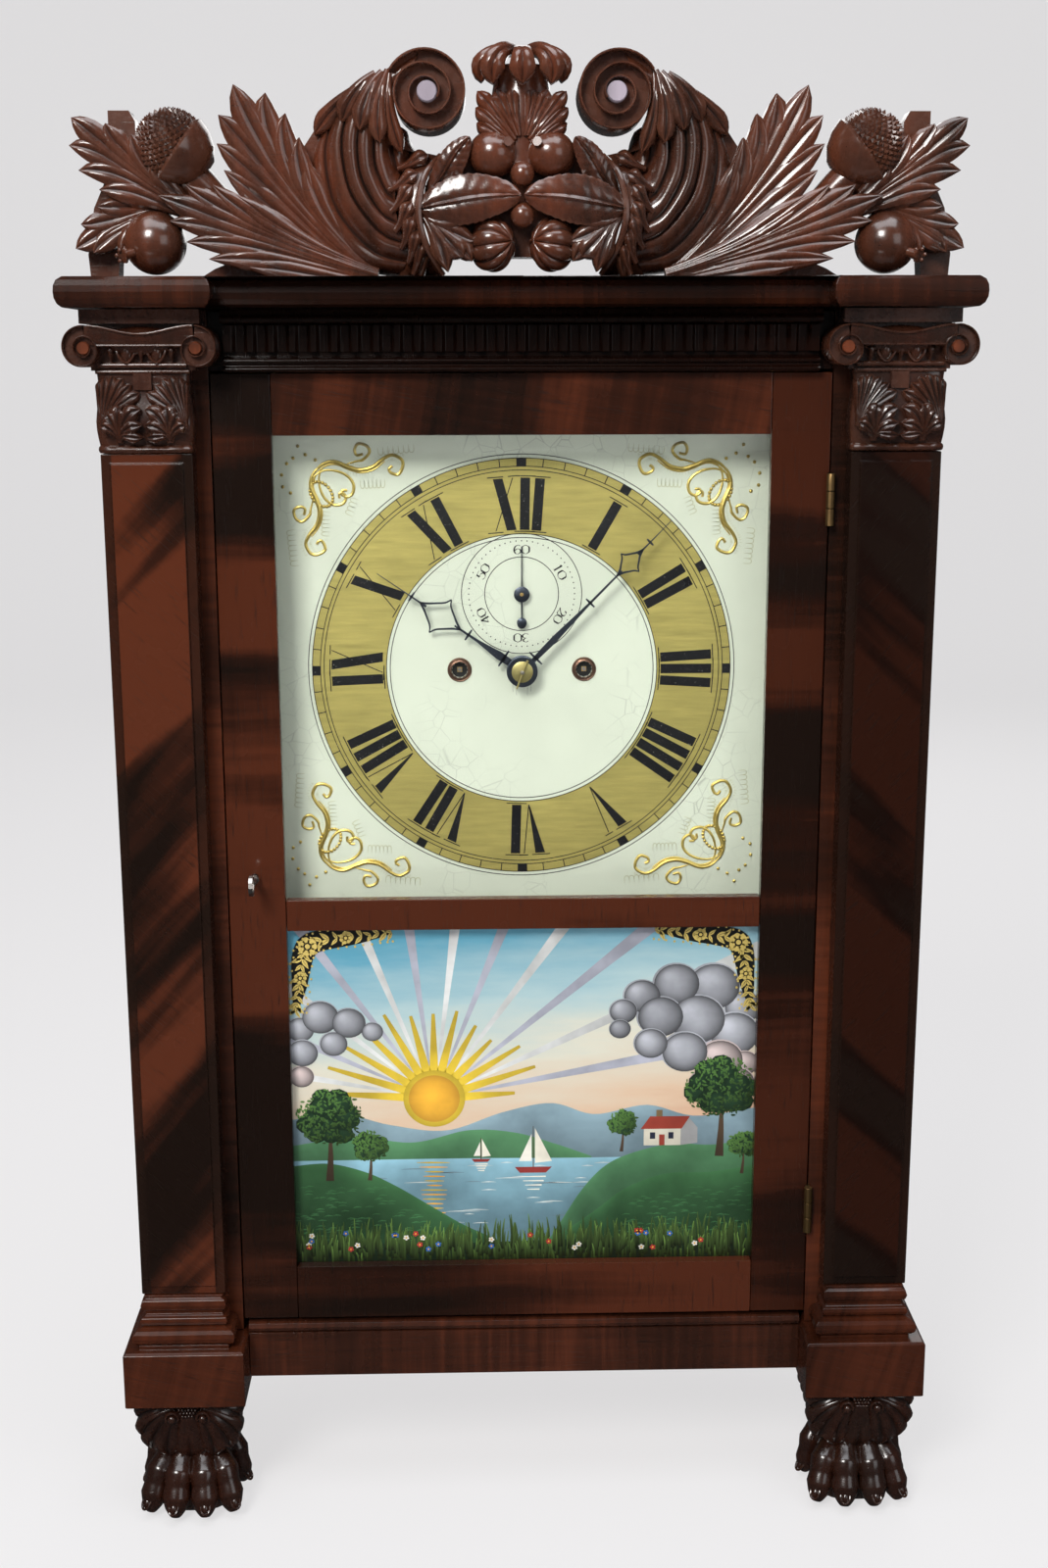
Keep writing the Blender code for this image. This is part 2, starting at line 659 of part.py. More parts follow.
def along_spine(spine, values, t):
    """Point, direction and value at t (0 to 1) on a smooth curve through the spine."""
    last = len(spine) - 1
    at = min(t, 0.9999) * last
    i = int(at)
    f = at - i
    p0 = Vector(spine[max(i - 1, 0)])
    p1 = Vector(spine[i])
    p2 = Vector(spine[i + 1])
    p3 = Vector(spine[min(i + 2, last)])
    place = 0.5 * (
        2 * p1 + (p2 - p0) * f + (2 * p0 - 5 * p1 + 4 * p2 - p3) * f * f
        + (3 * p1 - p0 - 3 * p2 + p3) * f * f * f
    )
    tangent = 0.5 * (
        (p2 - p0) + 2 * (2 * p0 - 5 * p1 + 4 * p2 - p3) * f
        + 3 * (3 * p1 - p0 - 3 * p2 + p3) * f * f
    )
    value = values[i] * (1 - f) + values[i + 1] * f
    return place, tangent.normalized(), value


# The capital is drawn 73.2 units high.
CAPITAL_UNIT = CAPITAL_HEIGHT / 73.2


def capital():
    unit = CAPITAL_UNIT
    half = PILASTER_WIDTH / 2
    low = CAPITAL_Z
    scroll_z = CAPITAL_TOP_Z - 14.2 * unit
    neck_top = CAPITAL_TOP_Z - 26.5 * unit
    rows = [(18.4 * unit, -1.5 * unit, low), (18.4 * unit, -1.5 * unit, low + 0.4 * unit)]
    rows += rounded_rows(20.5 * unit, 0.6 * unit, low + 0.5 * unit, low + 5.1 * unit, 1.9 * unit)
    rows += [(17.0 * unit, -3.5 * unit, low + 5.6 * unit), (17.0 * unit, -3.2 * unit, low + 20 * unit),
             (19.0 * unit, -1.2 * unit, neck_top - 6 * unit), (19.0 * unit, -1.2 * unit, neck_top - unit)]
    rows += rounded_rows(22.5 * unit, 1.0 * unit, neck_top, neck_top + 4.5 * unit, 2.0 * unit)
    rows += [(20.5 * unit, 0.0, neck_top + 5.4 * unit), (23.5 * unit, 3.0 * unit, neck_top + 10 * unit),
             (25.0 * unit, 4.5 * unit, scroll_z + unit), (25.0 * unit, 4.5 * unit, CAPITAL_TOP_Z - 3 * unit)]
    shapes = [moulding(half, FRONT_Y - SEAT, rows)]
    eye_offset = 32.0 * unit
    eye_radius = 12.4 * unit
    scroll_front = FRONT_Y - 26.0 * unit
    scroll_back = FRONT_Y - 1.2 * unit
    for side in (-1, 1):
        x = COLUMN_X + side * eye_offset
        shapes.append(rod((x, scroll_front, scroll_z), (x, scroll_back, scroll_z), eye_radius, 14))
        shapes.append(rod((x, scroll_front - 1.6 * unit, scroll_z),
                          (x, scroll_front + 3 * unit, scroll_z), 3.6 * unit, 8))
    band_top = []
    band_bottom = []
    for i in range(7):
        share = i / 6
        x = COLUMN_X + (share * 2 - 1) * eye_offset
        sag = 5.5 * unit * sin(pi * share)
        band_top.append((x, scroll_z + eye_radius - 0.6 * unit - sag))
        band_bottom.append((x, scroll_z + 3.0 * unit - sag * 0.4))
    shapes.append(plate(band_top + band_bottom[::-1], scroll_front + 1.0 * unit, scroll_back - 1 * unit))
    shapes.append(box(COLUMN_X - half - 8 * unit, COLUMN_X + half + 8 * unit, FRONT_Y - 26 * unit,
                      FRONT_Y - 2 * SEAT, CAPITAL_TOP_Z - 6 * unit, CORNICE_Z - SEAT))
    leaf_low = low + 5.0 * unit
    leaf_high = neck_top - 2.0 * unit
    widths = [5.0 * unit, 7.2 * unit, 6.4 * unit, 1.5 * unit]
    for i in range(5):
        x = COLUMN_X + (i - 2) * 11.6 * unit
        front = FRONT_Y - 17.6 * unit
        spine = [
            (x, front, leaf_low), (x, front - 0.8 * unit, leaf_low + (leaf_high - leaf_low) * 0.45),
            (x, front - 3.4 * unit, leaf_high - 5 * unit), (x, front - 6.2 * unit, leaf_high),
        ]
        shapes.append(leaf(spine, (0, -1, 0), widths, 3.0 * unit + 0.15 * unit * i, 2.2 * unit, 1))
    for side in (-1, 1):
        edge = COLUMN_X + side * (half - 3.2 * unit)
        middle = FRONT_Y - 8.6 * unit
        spine = [
            (edge, middle, leaf_low), (edge + side * 0.6 * unit, middle, (leaf_low + leaf_high) / 2),
            (edge + side * 2.2 * unit, middle, leaf_high - 5 * unit),
            (edge + side * 4.0 * unit, middle, leaf_high),
        ]
        shapes.append(leaf(spine, (side, 0, 0), widths, 3.3 * unit, 2.0 * unit, 1))
    return shapes, []


def superellipse_ring(x, y, z, half_x, half_y, count=12, power=2.6):
    ring = []
    for i in range(count):
        angle = 2 * pi * (i + 0.5) / count
        c, s = cos(angle), sin(angle)
        scale = (abs(c) ** power + abs(s) ** power) ** (-1 / power)
        ring.append(Vector((x + half_x * c * scale, y + half_y * s * scale, z)))
    return ring


# The paw foot is drawn 82.5 units high.
PAW_UNIT = FOOT_HEIGHT / 82.5
PAW_TOE_COUNT = 4
PAW_TOE_SPACING = 17.6 * PAW_UNIT
PAW_TOE_RADIUS = 9.4 * PAW_UNIT


def paw_toe(index):
    """One toe, bent at its knuckle, with its claw at the floor."""
    unit = PAW_UNIT
    offset = (index - (PAW_TOE_COUNT - 1) / 2) * PAW_TOE_SPACING
    spread = offset / (PAW_TOE_SPACING * 1.5)
    base = COLUMN_X + offset
    lead = 1.0 - 0.10 * abs(spread)
    path = [
        (0.72, 2.0, 0.34, 0.80), (0.84, -10.0, 0.40, 1.00), (0.96, -20.0, 0.36, 1.02),
        (1.02, -26.5, 0.24, 0.86), (1.04, -27.5, 0.13, 0.84), (1.03, -26.5, 0.05, 0.66),
    ]
    rings = []
    for i, (share, y, height, size) in enumerate(path):
        x = COLUMN_X + offset * share
        centre = Vector((x, FRONT_Y + y * unit * lead, FOOT_HEIGHT * height))
        before = path[max(i - 1, 0)]
        after = path[min(i + 1, len(path) - 1)]
        along = Vector((0, (after[1] - before[1]) * unit, (after[2] - before[2]) * FOOT_HEIGHT))
        along.normalize()
        up = Vector((1, 0, 0)).cross(along)
        ring = []
        for k in range(7):
            angle = 2 * pi * k / 7
            ring.append(centre + PAW_TOE_RADIUS * size * (
                Vector((1, 0, 0)) * cos(angle) + up * sin(angle)))
        rings.append(ring)
    claw_x = COLUMN_X + offset * 1.04
    claw = rod((claw_x, FRONT_Y - 27 * unit * lead, 9.0 * unit),
               (claw_x, FRONT_Y - 36.5 * unit * lead, 1.4 * unit), 4.0 * unit, 6, 1.2 * unit)
    return [loft(rings), claw]


def paw_foot():
    unit = PAW_UNIT
    ankle_y = FRONT_Y + 2.5 * unit
    rows = [
        (-1.0 * unit, 31.0 * unit, 30.0 * unit, 4.0 * unit),
        (FOOT_HEIGHT * 0.14, 32.5 * unit, 31.5 * unit, 3.0 * unit),
        (FOOT_HEIGHT * 0.32, 30.5 * unit, 28.0 * unit, 2.0 * unit),
        (FOOT_HEIGHT * 0.48, 27.0 * unit, 25.0 * unit, 1.0 * unit),
        (FOOT_HEIGHT * 0.60, 29.0 * unit, 27.5 * unit, 0.0),
        (FOOT_HEIGHT * 0.82, 33.5 * unit, 31.0 * unit, 0.0),
        (FOOT_HEIGHT * 0.97, 35.0 * unit, 32.2 * unit, 0.0), (FOOT_HEIGHT, 34.2 * unit, 31.4 * unit, 0.0),
    ]
    rings = [superellipse_ring(COLUMN_X, ankle_y + shift, z, half_x, half_y)
             for z, half_x, half_y, shift in rows]
    shapes = [loft(rings)]
    for index in range(PAW_TOE_COUNT):
        shapes += paw_toe(index)
    collar_low = FOOT_HEIGHT * 0.52
    collar_high = FOOT_HEIGHT * 0.93
    for angle, reach in ((-90, 1.0), (-140, 0.98), (-40, 0.98), (180, 0.96), (0, 0.96)):
        out = Vector((cos(radians(angle)), sin(radians(angle)), 0))
        foot = Vector((COLUMN_X, ankle_y, 0))
        spine = [
            foot + out * 31.5 * unit * reach + Vector((0, 0, collar_high)),
            foot + out * 28.5 * unit * reach + Vector((0, 0, (collar_low + collar_high) / 2)),
            foot + out * 27.0 * unit * reach + Vector((0, 0, collar_low)),
            foot + out * 31.0 * unit * reach + Vector((0, 0, collar_low - 4 * unit)),
        ]
        widths = [11 * unit, 12 * unit, 7.5 * unit, 1.5 * unit]
        shapes.append(leaf(spine, out, widths, 4 * unit, 3 * unit, 1))
    return shapes, [box(COLUMN_X - 60 * unit, COLUMN_X + 60 * unit, FRONT_Y - 60 * unit,
                        FRONT_Y + 60 * unit, -20 * unit, 0.0)]


def make_back_board():
    edge = CASE_HALF
    board = box(-edge, edge, BACK_Y, REAR_Y, FOOT_HEIGHT, CORNICE_Z - SEAT)
    shapes = [board]
    cleat_front = REAR_PLATE_Y + PLATE_THICKNESS + SEAT
    for side in (-1, 1):
        x0 = side * (PLATE_WIDTH / 2 - 14 * MM)
        x1 = side * PLATE_WIDTH / 2
        shapes.append(box(min(x0, x1), max(x0, x1), cleat_front, BACK_Y + 2 * MM,
                          DIAL_Z - PLATE_BELOW, DIAL_Z + PLATE_ABOVE))
        pulley_x = side * (WEIGHT_X - WEIGHT_PULLEY_RADIUS - TOP_PULLEY_RADIUS)
        shapes.append(rod((pulley_x, WEIGHT_Y - 5 * MM, TOP_PULLEY_Z),
                          (pulley_x, BACK_Y + 2 * MM, TOP_PULLEY_Z), 2.0 * MM, 10))
        hook_x = side * (WEIGHT_X + WEIGHT_PULLEY_RADIUS)
        shapes.append(rod((hook_x, WEIGHT_Y - 2 * MM, TOP_PULLEY_Z + 3.0 * MM),
                          (hook_x, BACK_Y + 2 * MM, TOP_PULLEY_Z + 3.0 * MM), 2.2 * MM, 10))
    post = rod((BELL_X, REAR_PLATE_Y + SEAT, DIAL_Z - BELL_DROP),
               (BELL_X, BACK_Y + 2 * MM, DIAL_Z - BELL_DROP), 3.0 * MM, 10)
    stud = rod((BELL_X, REAR_PLATE_Y - BELL_HEIGHT - 2.5 * MM, DIAL_Z - BELL_DROP),
               (BELL_X, REAR_PLATE_Y + 2 * MM, DIAL_Z - BELL_DROP), 1.5 * MM, 8)
    anchor_z = DIAL_Z + SECONDS_RISE + ANCHOR_RISE
    boss = rod((0, PENDULUM_Y + 1.0 * MM + EYE_HALF + SEAT, anchor_z),
               (0, BACK_Y + 2 * MM, anchor_z), 3.5 * MM, 10)
    piece("back_board", SECONDARY, [*shapes, post, stud, boss])


TOP_PULLEY_Z = CORNICE_Z - TOP_PULLEY_DROP


def make_case_floor():
    edge = CASE_HALF - SIDE_THICKNESS - SEAT
    inner = BLOCK_X - SEAT
    block_back = FRONT_Y - BLOCK_PROJECTION + BLOCK_DEPTH + 2 * SEAT
    front = FRONT_Y + FACE_THICKNESS + SEAT
    rear_foot = BACK_Y - REAR_FOOT_DEPTH - SEAT
    rear_inner = CASE_HALF - REAR_FOOT_WIDTH - SEAT
    outline = [(inner, front), (inner, block_back), (edge, block_back), (edge, rear_foot),
               (rear_inner, rear_foot), (rear_inner, BACK_Y - SEAT)]
    outline = outline + [(-x, y) for x, y in reversed(outline)]
    piece("case_floor", SECONDARY,
          [plate(outline, FOOT_HEIGHT + SEAT, FOOT_HEIGHT + SEAT + FLOOR_THICKNESS, "XY")])


def make_bottom_rail():
    """The rail under the door, with a half-round bead along its top edge."""
    low = BLOCK_TOP_Z - BOTTOM_RAIL_DROP
    high = DOOR_BOTTOM_Z - SEAT - 2.4 * MM
    middle = high - BEAD_HEIGHT / 2
    profile = [(FRONT_Y + FACE_THICKNESS, low), (FRONT_Y + FACE_THICKNESS, high),
               (FRONT_Y + 1 * MM, high)]
    for i in range(5):
        angle = pi / 2 + pi * i / 4
        profile.append((FRONT_Y + 2.0 * MM + 4.0 * MM * cos(angle),
                        middle + BEAD_HEIGHT / 2 * 0.96 * sin(angle)))
    profile += [(FRONT_Y + 1.5 * MM, middle - BEAD_HEIGHT / 2),
                (FRONT_Y, middle - BEAD_HEIGHT / 2 - 0.8 * MM), (FRONT_Y, low)]
    piece("bottom_rail", MAHOGANY,
          [plate(profile, -BLOCK_X + SEAT, BLOCK_X - SEAT, "YZ")])


def make_frieze():
    """Fillet, fluted band and two beads between the capitals, on a backing board."""
    half = COLUMN_X - 32.0 * MM - 12.4 * MM - 2 * SEAT
    low = DOOR_TOP_Z + 2 * SEAT
    top = CORNICE_Z - SEAT
    back = FRONT_Y + FACE_THICKNESS
    flute_low = low + 11.6 * MM
    flute_high = flute_low + 15.7 * MM
    bead = FRIEZE_BEAD_PROJECTION
    profile = [(back, low), (back, top), (FRONT_Y - FRIEZE_FILLET_PROJECTION + 3 * MM, top)]
    for i in range(5):
        angle = pi / 2 + pi * i / 4
        profile.append((FRONT_Y - FRIEZE_FILLET_PROJECTION + 2.2 * MM + 2.2 * MM * cos(angle),
                        flute_high + 2.9 * MM + 2.3 * MM * sin(angle)))
    ground = FRONT_Y - FRIEZE_PROJECTION + FLUTE_DEPTH + 1 * MM
    profile += [(ground, flute_high + 0.4 * MM), (ground, low + 9.2 * MM)]
    for step in (6.6 * MM, 1.8 * MM):
        for i in range(5):
            angle = pi / 2 + pi * i / 4
            profile.append((FRONT_Y - bead + 2.0 * MM + 2.0 * MM * cos(angle),
                            low + step + 1.7 * MM * sin(angle)))
    board = plate(profile, -half, half, "YZ")
    pitch = 2 * (half - 4 * MM) / FRIEZE_FLUTES
    front = FRONT_Y - FRIEZE_PROJECTION
    outline = [(ground + 2 * MM, -half + 0.5 * MM), (front, -half + 0.5 * MM)]
    for i in range(FRIEZE_FLUTES):
        centre = -half + 4 * MM + pitch * (i + 0.5)
        reach = min(FLUTE_RADIUS, pitch / 2 - 0.6 * MM)
        outline += [(front, centre - reach), (front + FLUTE_DEPTH, centre - reach * 0.5),
                    (front + FLUTE_DEPTH, centre + reach * 0.5), (front, centre + reach)]
    outline += [(front, half - 0.5 * MM), (ground + 2 * MM, half - 0.5 * MM)]
    band = plate(outline, flute_low, flute_high, "YX")
    header = box(-FACE_X + SEAT, FACE_X - SEAT, FRONT_Y + 3 * MM, back - 1 * MM,
                 low + 1 * MM, top - 1 * MM)
    piece("frieze", MAHOGANY, [board, band, header])


def cornice_plan(inset, z):
    """The breakfront outline of the cornice, drawn in by inset."""
    outer = CORNICE_HALF - inset
    inner = CORNICE_HALF - CORNICE_CAP_WIDTH + inset
    cap = FRONT_Y - CORNICE_CAP_PROJECTION + inset
    mid = FRONT_Y - CORNICE_MID_PROJECTION + inset
    half = [(inner, mid), (inner, cap), (outer, cap), (outer, REAR_Y)]
    return [Vector((x, y, z)) for x, y in
            [(-x, y) for x, y in reversed(half)] + half]


def make_cornice():
    rows = [(4.0 * MM, 0.0), (1.6 * MM, 0.12), (0.3 * MM, 0.3), (0.0, 0.5), (0.3 * MM, 0.7),
            (1.6 * MM, 0.88), (4.5 * MM, 1.0)]
    rings = [cornice_plan(inset, CORNICE_Z + share * CORNICE_HEIGHT) for inset, share in rows]
    piece("cornice", MAHOGANY, [loft(rings)])


# Door

def door_frame_cutter():
    """Both rebates behind the door's openings, as one list of cutters."""
    back = DOOR_BACK_Y
    cutters = []
    for low, high in ((TABLET_Z, TABLET_TOP_Z), (DIAL_OPENING_Z, DIAL_OPENING_TOP_Z)):
        cutters.append(box(-OPENING_HALF - REBATE_WIDTH, OPENING_HALF + REBATE_WIDTH,
                           back - REBATE_DEPTH, back + 2 * MM,
                           low - REBATE_WIDTH, high + REBATE_WIDTH))
    return cutters


def make_door():
    y0, y1 = FRONT_Y, DOOR_BACK_Y
    lock_pocket = box(LOCK_X - LOCK_WIDTH / 2 - SEAT, LOCK_X + LOCK_WIDTH / 2 + SEAT,
                      LOCK_FRONT_Y - SEAT, y1 + 2 * MM,
                      LOCK_Z - LOCK_BOTTOM - SEAT, LOCK_Z + LOCK_TOP + SEAT)
    key_hole = rod((LOCK_X, y0 - 2 * MM, LOCK_Z), (LOCK_X, LOCK_FRONT_Y + 2 * MM, LOCK_Z),
                   KEY_RADIUS + RUNNING_GAP, 12)
    bolt_way = box(-DOOR_HALF - 2 * MM, LOCK_X, BOLT_Y - BOLT_HALF - SEAT,
                   BOLT_Y + BOLT_HALF + SEAT, BOLT_Z - BOLT_HALF - SEAT, BOLT_Z + BOLT_HALF + SEAT)
    piece("door_left_stile", MAHOGANY,
          [box(-DOOR_HALF, -OPENING_HALF, y0, y1, DOOR_BOTTOM_Z, DOOR_TOP_Z)],
          [*door_frame_cutter(), lock_pocket, key_hole, bolt_way])
    piece("door_right_stile", MAHOGANY,
          [box(OPENING_HALF, DOOR_HALF, y0, y1, DOOR_BOTTOM_Z, DOOR_TOP_Z)],
          [*door_frame_cutter(), *(hinge_mortise(height, -1) for _, height in hinge_heights())])
    reach = OPENING_HALF - SEAT
    for name, low, high in (
        ("door_bottom_rail", DOOR_BOTTOM_Z, TABLET_Z),
        ("door_middle_rail", TABLET_TOP_Z, DIAL_OPENING_Z),
        ("door_top_rail", DIAL_OPENING_TOP_Z, DOOR_TOP_Z),
    ):
        piece(name, MAHOGANY, [box(-reach, reach, y0, y1, low, high)], door_frame_cutter())
    pane_front = y1 - REBATE_DEPTH + SEAT
    pane_half = OPENING_HALF + REBATE_WIDTH - SEAT
    for name, finish, low, high in (
        ("picture_tablet", TABLET, TABLET_Z, TABLET_TOP_Z),
        ("dial_glass", PANE, DIAL_OPENING_Z, DIAL_OPENING_TOP_Z),
    ):
        piece(name, finish, [box(-pane_half, pane_half, pane_front, pane_front + GLASS_THICKNESS,
                                 low - REBATE_WIDTH + SEAT, high + REBATE_WIDTH - SEAT)])


def make_hinges():
    """Two butt hinges: the case leaf carries the pin and the outer knuckles."""
    third = HINGE_LENGTH / 3
    for label, height in hinge_heights():
        low = height - HINGE_LENGTH / 2
        for side, owner in ((1, "case"), (-1, "door")):
            near = HINGE_X + side * LEAF_SPLIT
            far = near + side * HINGE_LEAF_THICKNESS
            leaf_plate = box(min(near, far), max(near, far), HINGE_Y + 0.6 * MM, LEAF_BACK_Y,
                             low, low + HINGE_LENGTH)
            spans = ((0.0, third), (2 * third, HINGE_LENGTH)) if side > 0 else ((third, 2 * third),)
            knuckles = []
            for start, end in spans:
                knuckles.append(rod((HINGE_X, HINGE_Y, low + start + (SEAT if start else 0.0)),
                                    (HINGE_X, HINGE_Y, low + end - (SEAT if end < HINGE_LENGTH else 0.0)),
                                    HINGE_BARREL_RADIUS, 10))
            clear = []
            if side > 0:
                pin = rod((HINGE_X, HINGE_Y, low + 1 * MM), (HINGE_X, HINGE_Y, low + HINGE_LENGTH - 1 * MM),
                          HINGE_PIN_RADIUS, 8)
                clear = [rod((HINGE_X, HINGE_Y, low + third - SEAT),
                             (HINGE_X, HINGE_Y, low + 2 * third + SEAT),
                             HINGE_BARREL_RADIUS + SEAT, 10)]
                base = piece_shape([leaf_plate, *knuckles], clear)
                shapes = [base, pin]
                clear = []
            else:
                gaps = [rod((HINGE_X, HINGE_Y, low + start - SEAT), (HINGE_X, HINGE_Y, low + end + SEAT),
                            HINGE_BARREL_RADIUS + SEAT, 10)
                        for start, end in ((0.0, third), (2 * third, HINGE_LENGTH))]
                bore = rod((HINGE_X, HINGE_Y, low - 1 * MM),
                           (HINGE_X, HINGE_Y, low + HINGE_LENGTH + 1 * MM),
                           HINGE_PIN_RADIUS + RUNNING_GAP, 8)
                shapes = [leaf_plate, *knuckles]
                clear = [*gaps, bore]
            piece(f"{label}_hinge_{owner}_leaf", BRASS, shapes, clear)


def piece_shape(shapes, cuts):
    """Join and cut helper shapes into one helper shape."""
    first = combine(shapes[0], shapes[1:], "UNION")
    combine(first, cuts, "DIFFERENCE")
    made = baked(first)
    for helper in (*shapes[1:], *cuts):
        bpy.data.objects.remove(helper, do_unlink=True)
    return made


def make_lock():
    y1 = DOOR_BACK_Y - 0.5 * MM
    case = box(LOCK_X - LOCK_WIDTH / 2, LOCK_X + LOCK_WIDTH / 2, LOCK_FRONT_Y, y1,
               LOCK_Z - LOCK_BOTTOM, LOCK_Z + LOCK_TOP)
    bolt_tail = LOCK_X + 4.0 * MM
    channel = box(-DOOR_HALF - 2 * MM, bolt_tail + 1 * MM, BOLT_Y - BOLT_HALF - SEAT,
                  BOLT_Y + BOLT_HALF + SEAT, BOLT_Z - BOLT_HALF - SEAT, BOLT_Z + BOLT_HALF + SEAT)
    pocket = rod((LOCK_X, BOLT_Y - BOLT_HALF, LOCK_Z), (LOCK_X, BOLT_Y + BOLT_HALF, LOCK_Z),
                 6.4 * MM, 16)
    hole = rod((LOCK_X, LOCK_FRONT_Y - 2 * MM, LOCK_Z), (LOCK_X, BOLT_Y, LOCK_Z),
               KEY_RADIUS + RUNNING_GAP, 12)
    piece("door_lock", BRASS, [case], [channel, pocket, hole])
    piece("lock_bolt", BRASS, [box(-DOOR_HALF + SEAT, bolt_tail, BOLT_Y - BOLT_HALF, BOLT_Y + BOLT_HALF,
                                   BOLT_Z - BOLT_HALF + 1.6 * MM, BOLT_Z + BOLT_HALF)])
    tip_y = BOLT_Y + BOLT_HALF - 1.2 * MM
    shank = rod((LOCK_X, FRONT_Y - KEY_LENGTH + 2 * KEY_BOW_RADIUS - 1.3 * MM, LOCK_Z),
                (LOCK_X, tip_y, LOCK_Z), KEY_RADIUS, 10)
    collar = rod((LOCK_X, FRONT_Y - 5.0 * MM, LOCK_Z), (LOCK_X, FRONT_Y - 3.4 * MM, LOCK_Z),
                 KEY_RADIUS + 1.0 * MM, 10)
    bow_y = FRONT_Y - KEY_LENGTH + KEY_BOW_RADIUS
    bow_ring = plate(circle((bow_y, LOCK_Z), KEY_BOW_RADIUS, 12),
                     LOCK_X - 1.2 * MM, LOCK_X + 1.2 * MM, "YZ",
                     [circle((bow_y, LOCK_Z), KEY_BOW_RADIUS - 2.2 * MM, 8)])
    bit = box(LOCK_X - 0.9 * MM, LOCK_X + 0.9 * MM, tip_y - 4.0 * MM, tip_y - 0.4 * MM,
              LOCK_Z - 5.6 * MM, LOCK_Z)
    piece("door_key", BRASS, [shank, collar, bow_ring, bit], pivot=(LOCK_X, FRONT_Y, LOCK_Z))


# Dial

def make_dial():
    half = DIAL_WIDTH / 2
    y0, y1 = DIAL_Y, DIAL_BACK_Y
    hole_x = WINDING_SPACING / 2
    low = DIAL_Z - DIAL_HEIGHT / 2
    high = DIAL_Z + DIAL_HEIGHT / 2
    shapes = [box(-half, half, y0, y1, low, high)]
    centres = ((0.0, DIAL_Z, PIPE_RADIUS + 2 * RUNNING_GAP), (0.0, DIAL_Z + SECONDS_RISE, 2.6 * MM),
               (-hole_x, DIAL_Z, WINDING_HOLE_RADIUS), (hole_x, DIAL_Z, WINDING_HOLE_RADIUS))
    cuts = [rod((x, y0 - 5 * MM, z), (x, y1 + 5 * MM, z), radius, 12) for x, z, radius in centres]
    for side in (-1, 1):
        place = Matrix.Translation((side * hole_x, y0 + 2.0 * MM, DIAL_Z)) @ Matrix.Rotation(pi / 2, 4, "X")
        shapes.append(turned([
            (0.0, 2.0 * MM + GROMMET_RISE), (WINDING_HOLE_RADIUS + 1.1 * MM, 2.0 * MM + GROMMET_RISE),
            (GROMMET_RADIUS, 2.0 * MM + GROMMET_RISE * 0.4), (GROMMET_RADIUS, 0.0), (0.0, 0.0),
        ], place, 12))
    piece("dial_board", ENAMEL, shapes, cuts)


def hand_outline(length, near, far, half, bars, root, waist):
    """A steel hand pointing up: tapered stem, open lozenge, cross bars and a pointed tip."""
    middle = (near + far) / 2
    shapes = []
    stem = [(-root, HUB_RADIUS * 0.5), (root, HUB_RADIUS * 0.5), (waist, near + 1 * MM),
            (-waist, near + 1 * MM)]
    tip = [(-waist, far - 1 * MM), (waist, far - 1 * MM), (0.35 * MM, length), (-0.35 * MM, length)]
    wall = 1.1 * MM
    sag = half * 0.30
    outer = []
    inner = []
    corners = [(0.0, near), (half, middle), (0.0, far), (-half, middle)]
    for i, corner in enumerate(corners):
        following = corners[(i + 1) % 4]
        mid = ((corner[0] + following[0]) / 2, (corner[1] + following[1]) / 2)
        pull = 1.0 - sag / hypot(mid[0], mid[1] - middle)
        curved = (mid[0] * pull, middle + (mid[1] - middle) * pull)
        for u, v in (corner, curved):
            outer.append((u, v))
            reach = hypot(u, v - middle)
            scale = (reach - wall * (1.5 if (u, v) == corner else 1.0)) / reach
            inner.append((u * scale, middle + (v - middle) * scale))
    shapes.append((stem, ()))
    shapes.append((tip, ()))
    shapes.append((outer, (inner,)))
    for place, reach in bars:
        shapes.append(([(-reach, place - 0.7 * MM), (reach, place - 0.7 * MM),
                        (reach, place + 0.7 * MM), (-reach, place + 0.7 * MM)], ()))
    return shapes


def turn_clockwise(shape, angle, centre=(0.0, DIAL_Z)):
    """Turn a shape drawn pointing up from the origin, and set it on the dial."""
    bm = bmesh.new()
    bm.from_mesh(shape.data)
    place = Matrix.Translation((centre[0], 0.0, centre[1])) @ Matrix.Rotation(radians(angle), 4, "Y")
    bmesh.ops.transform(bm, matrix=place, verts=bm.verts)
    bpy.data.objects.remove(shape, do_unlink=True)
    return shape_from(bm, "hand")


HOUR_HAND_Y = DIAL_Y - 6.0 * MM
MINUTE_HAND_Y = DIAL_Y - 10.0 * MM
SECONDS_HAND_Y = DIAL_Y - 2.4 * MM
MINUTE_STEM_Y = MINUTE_HAND_Y - 1.6 * MM


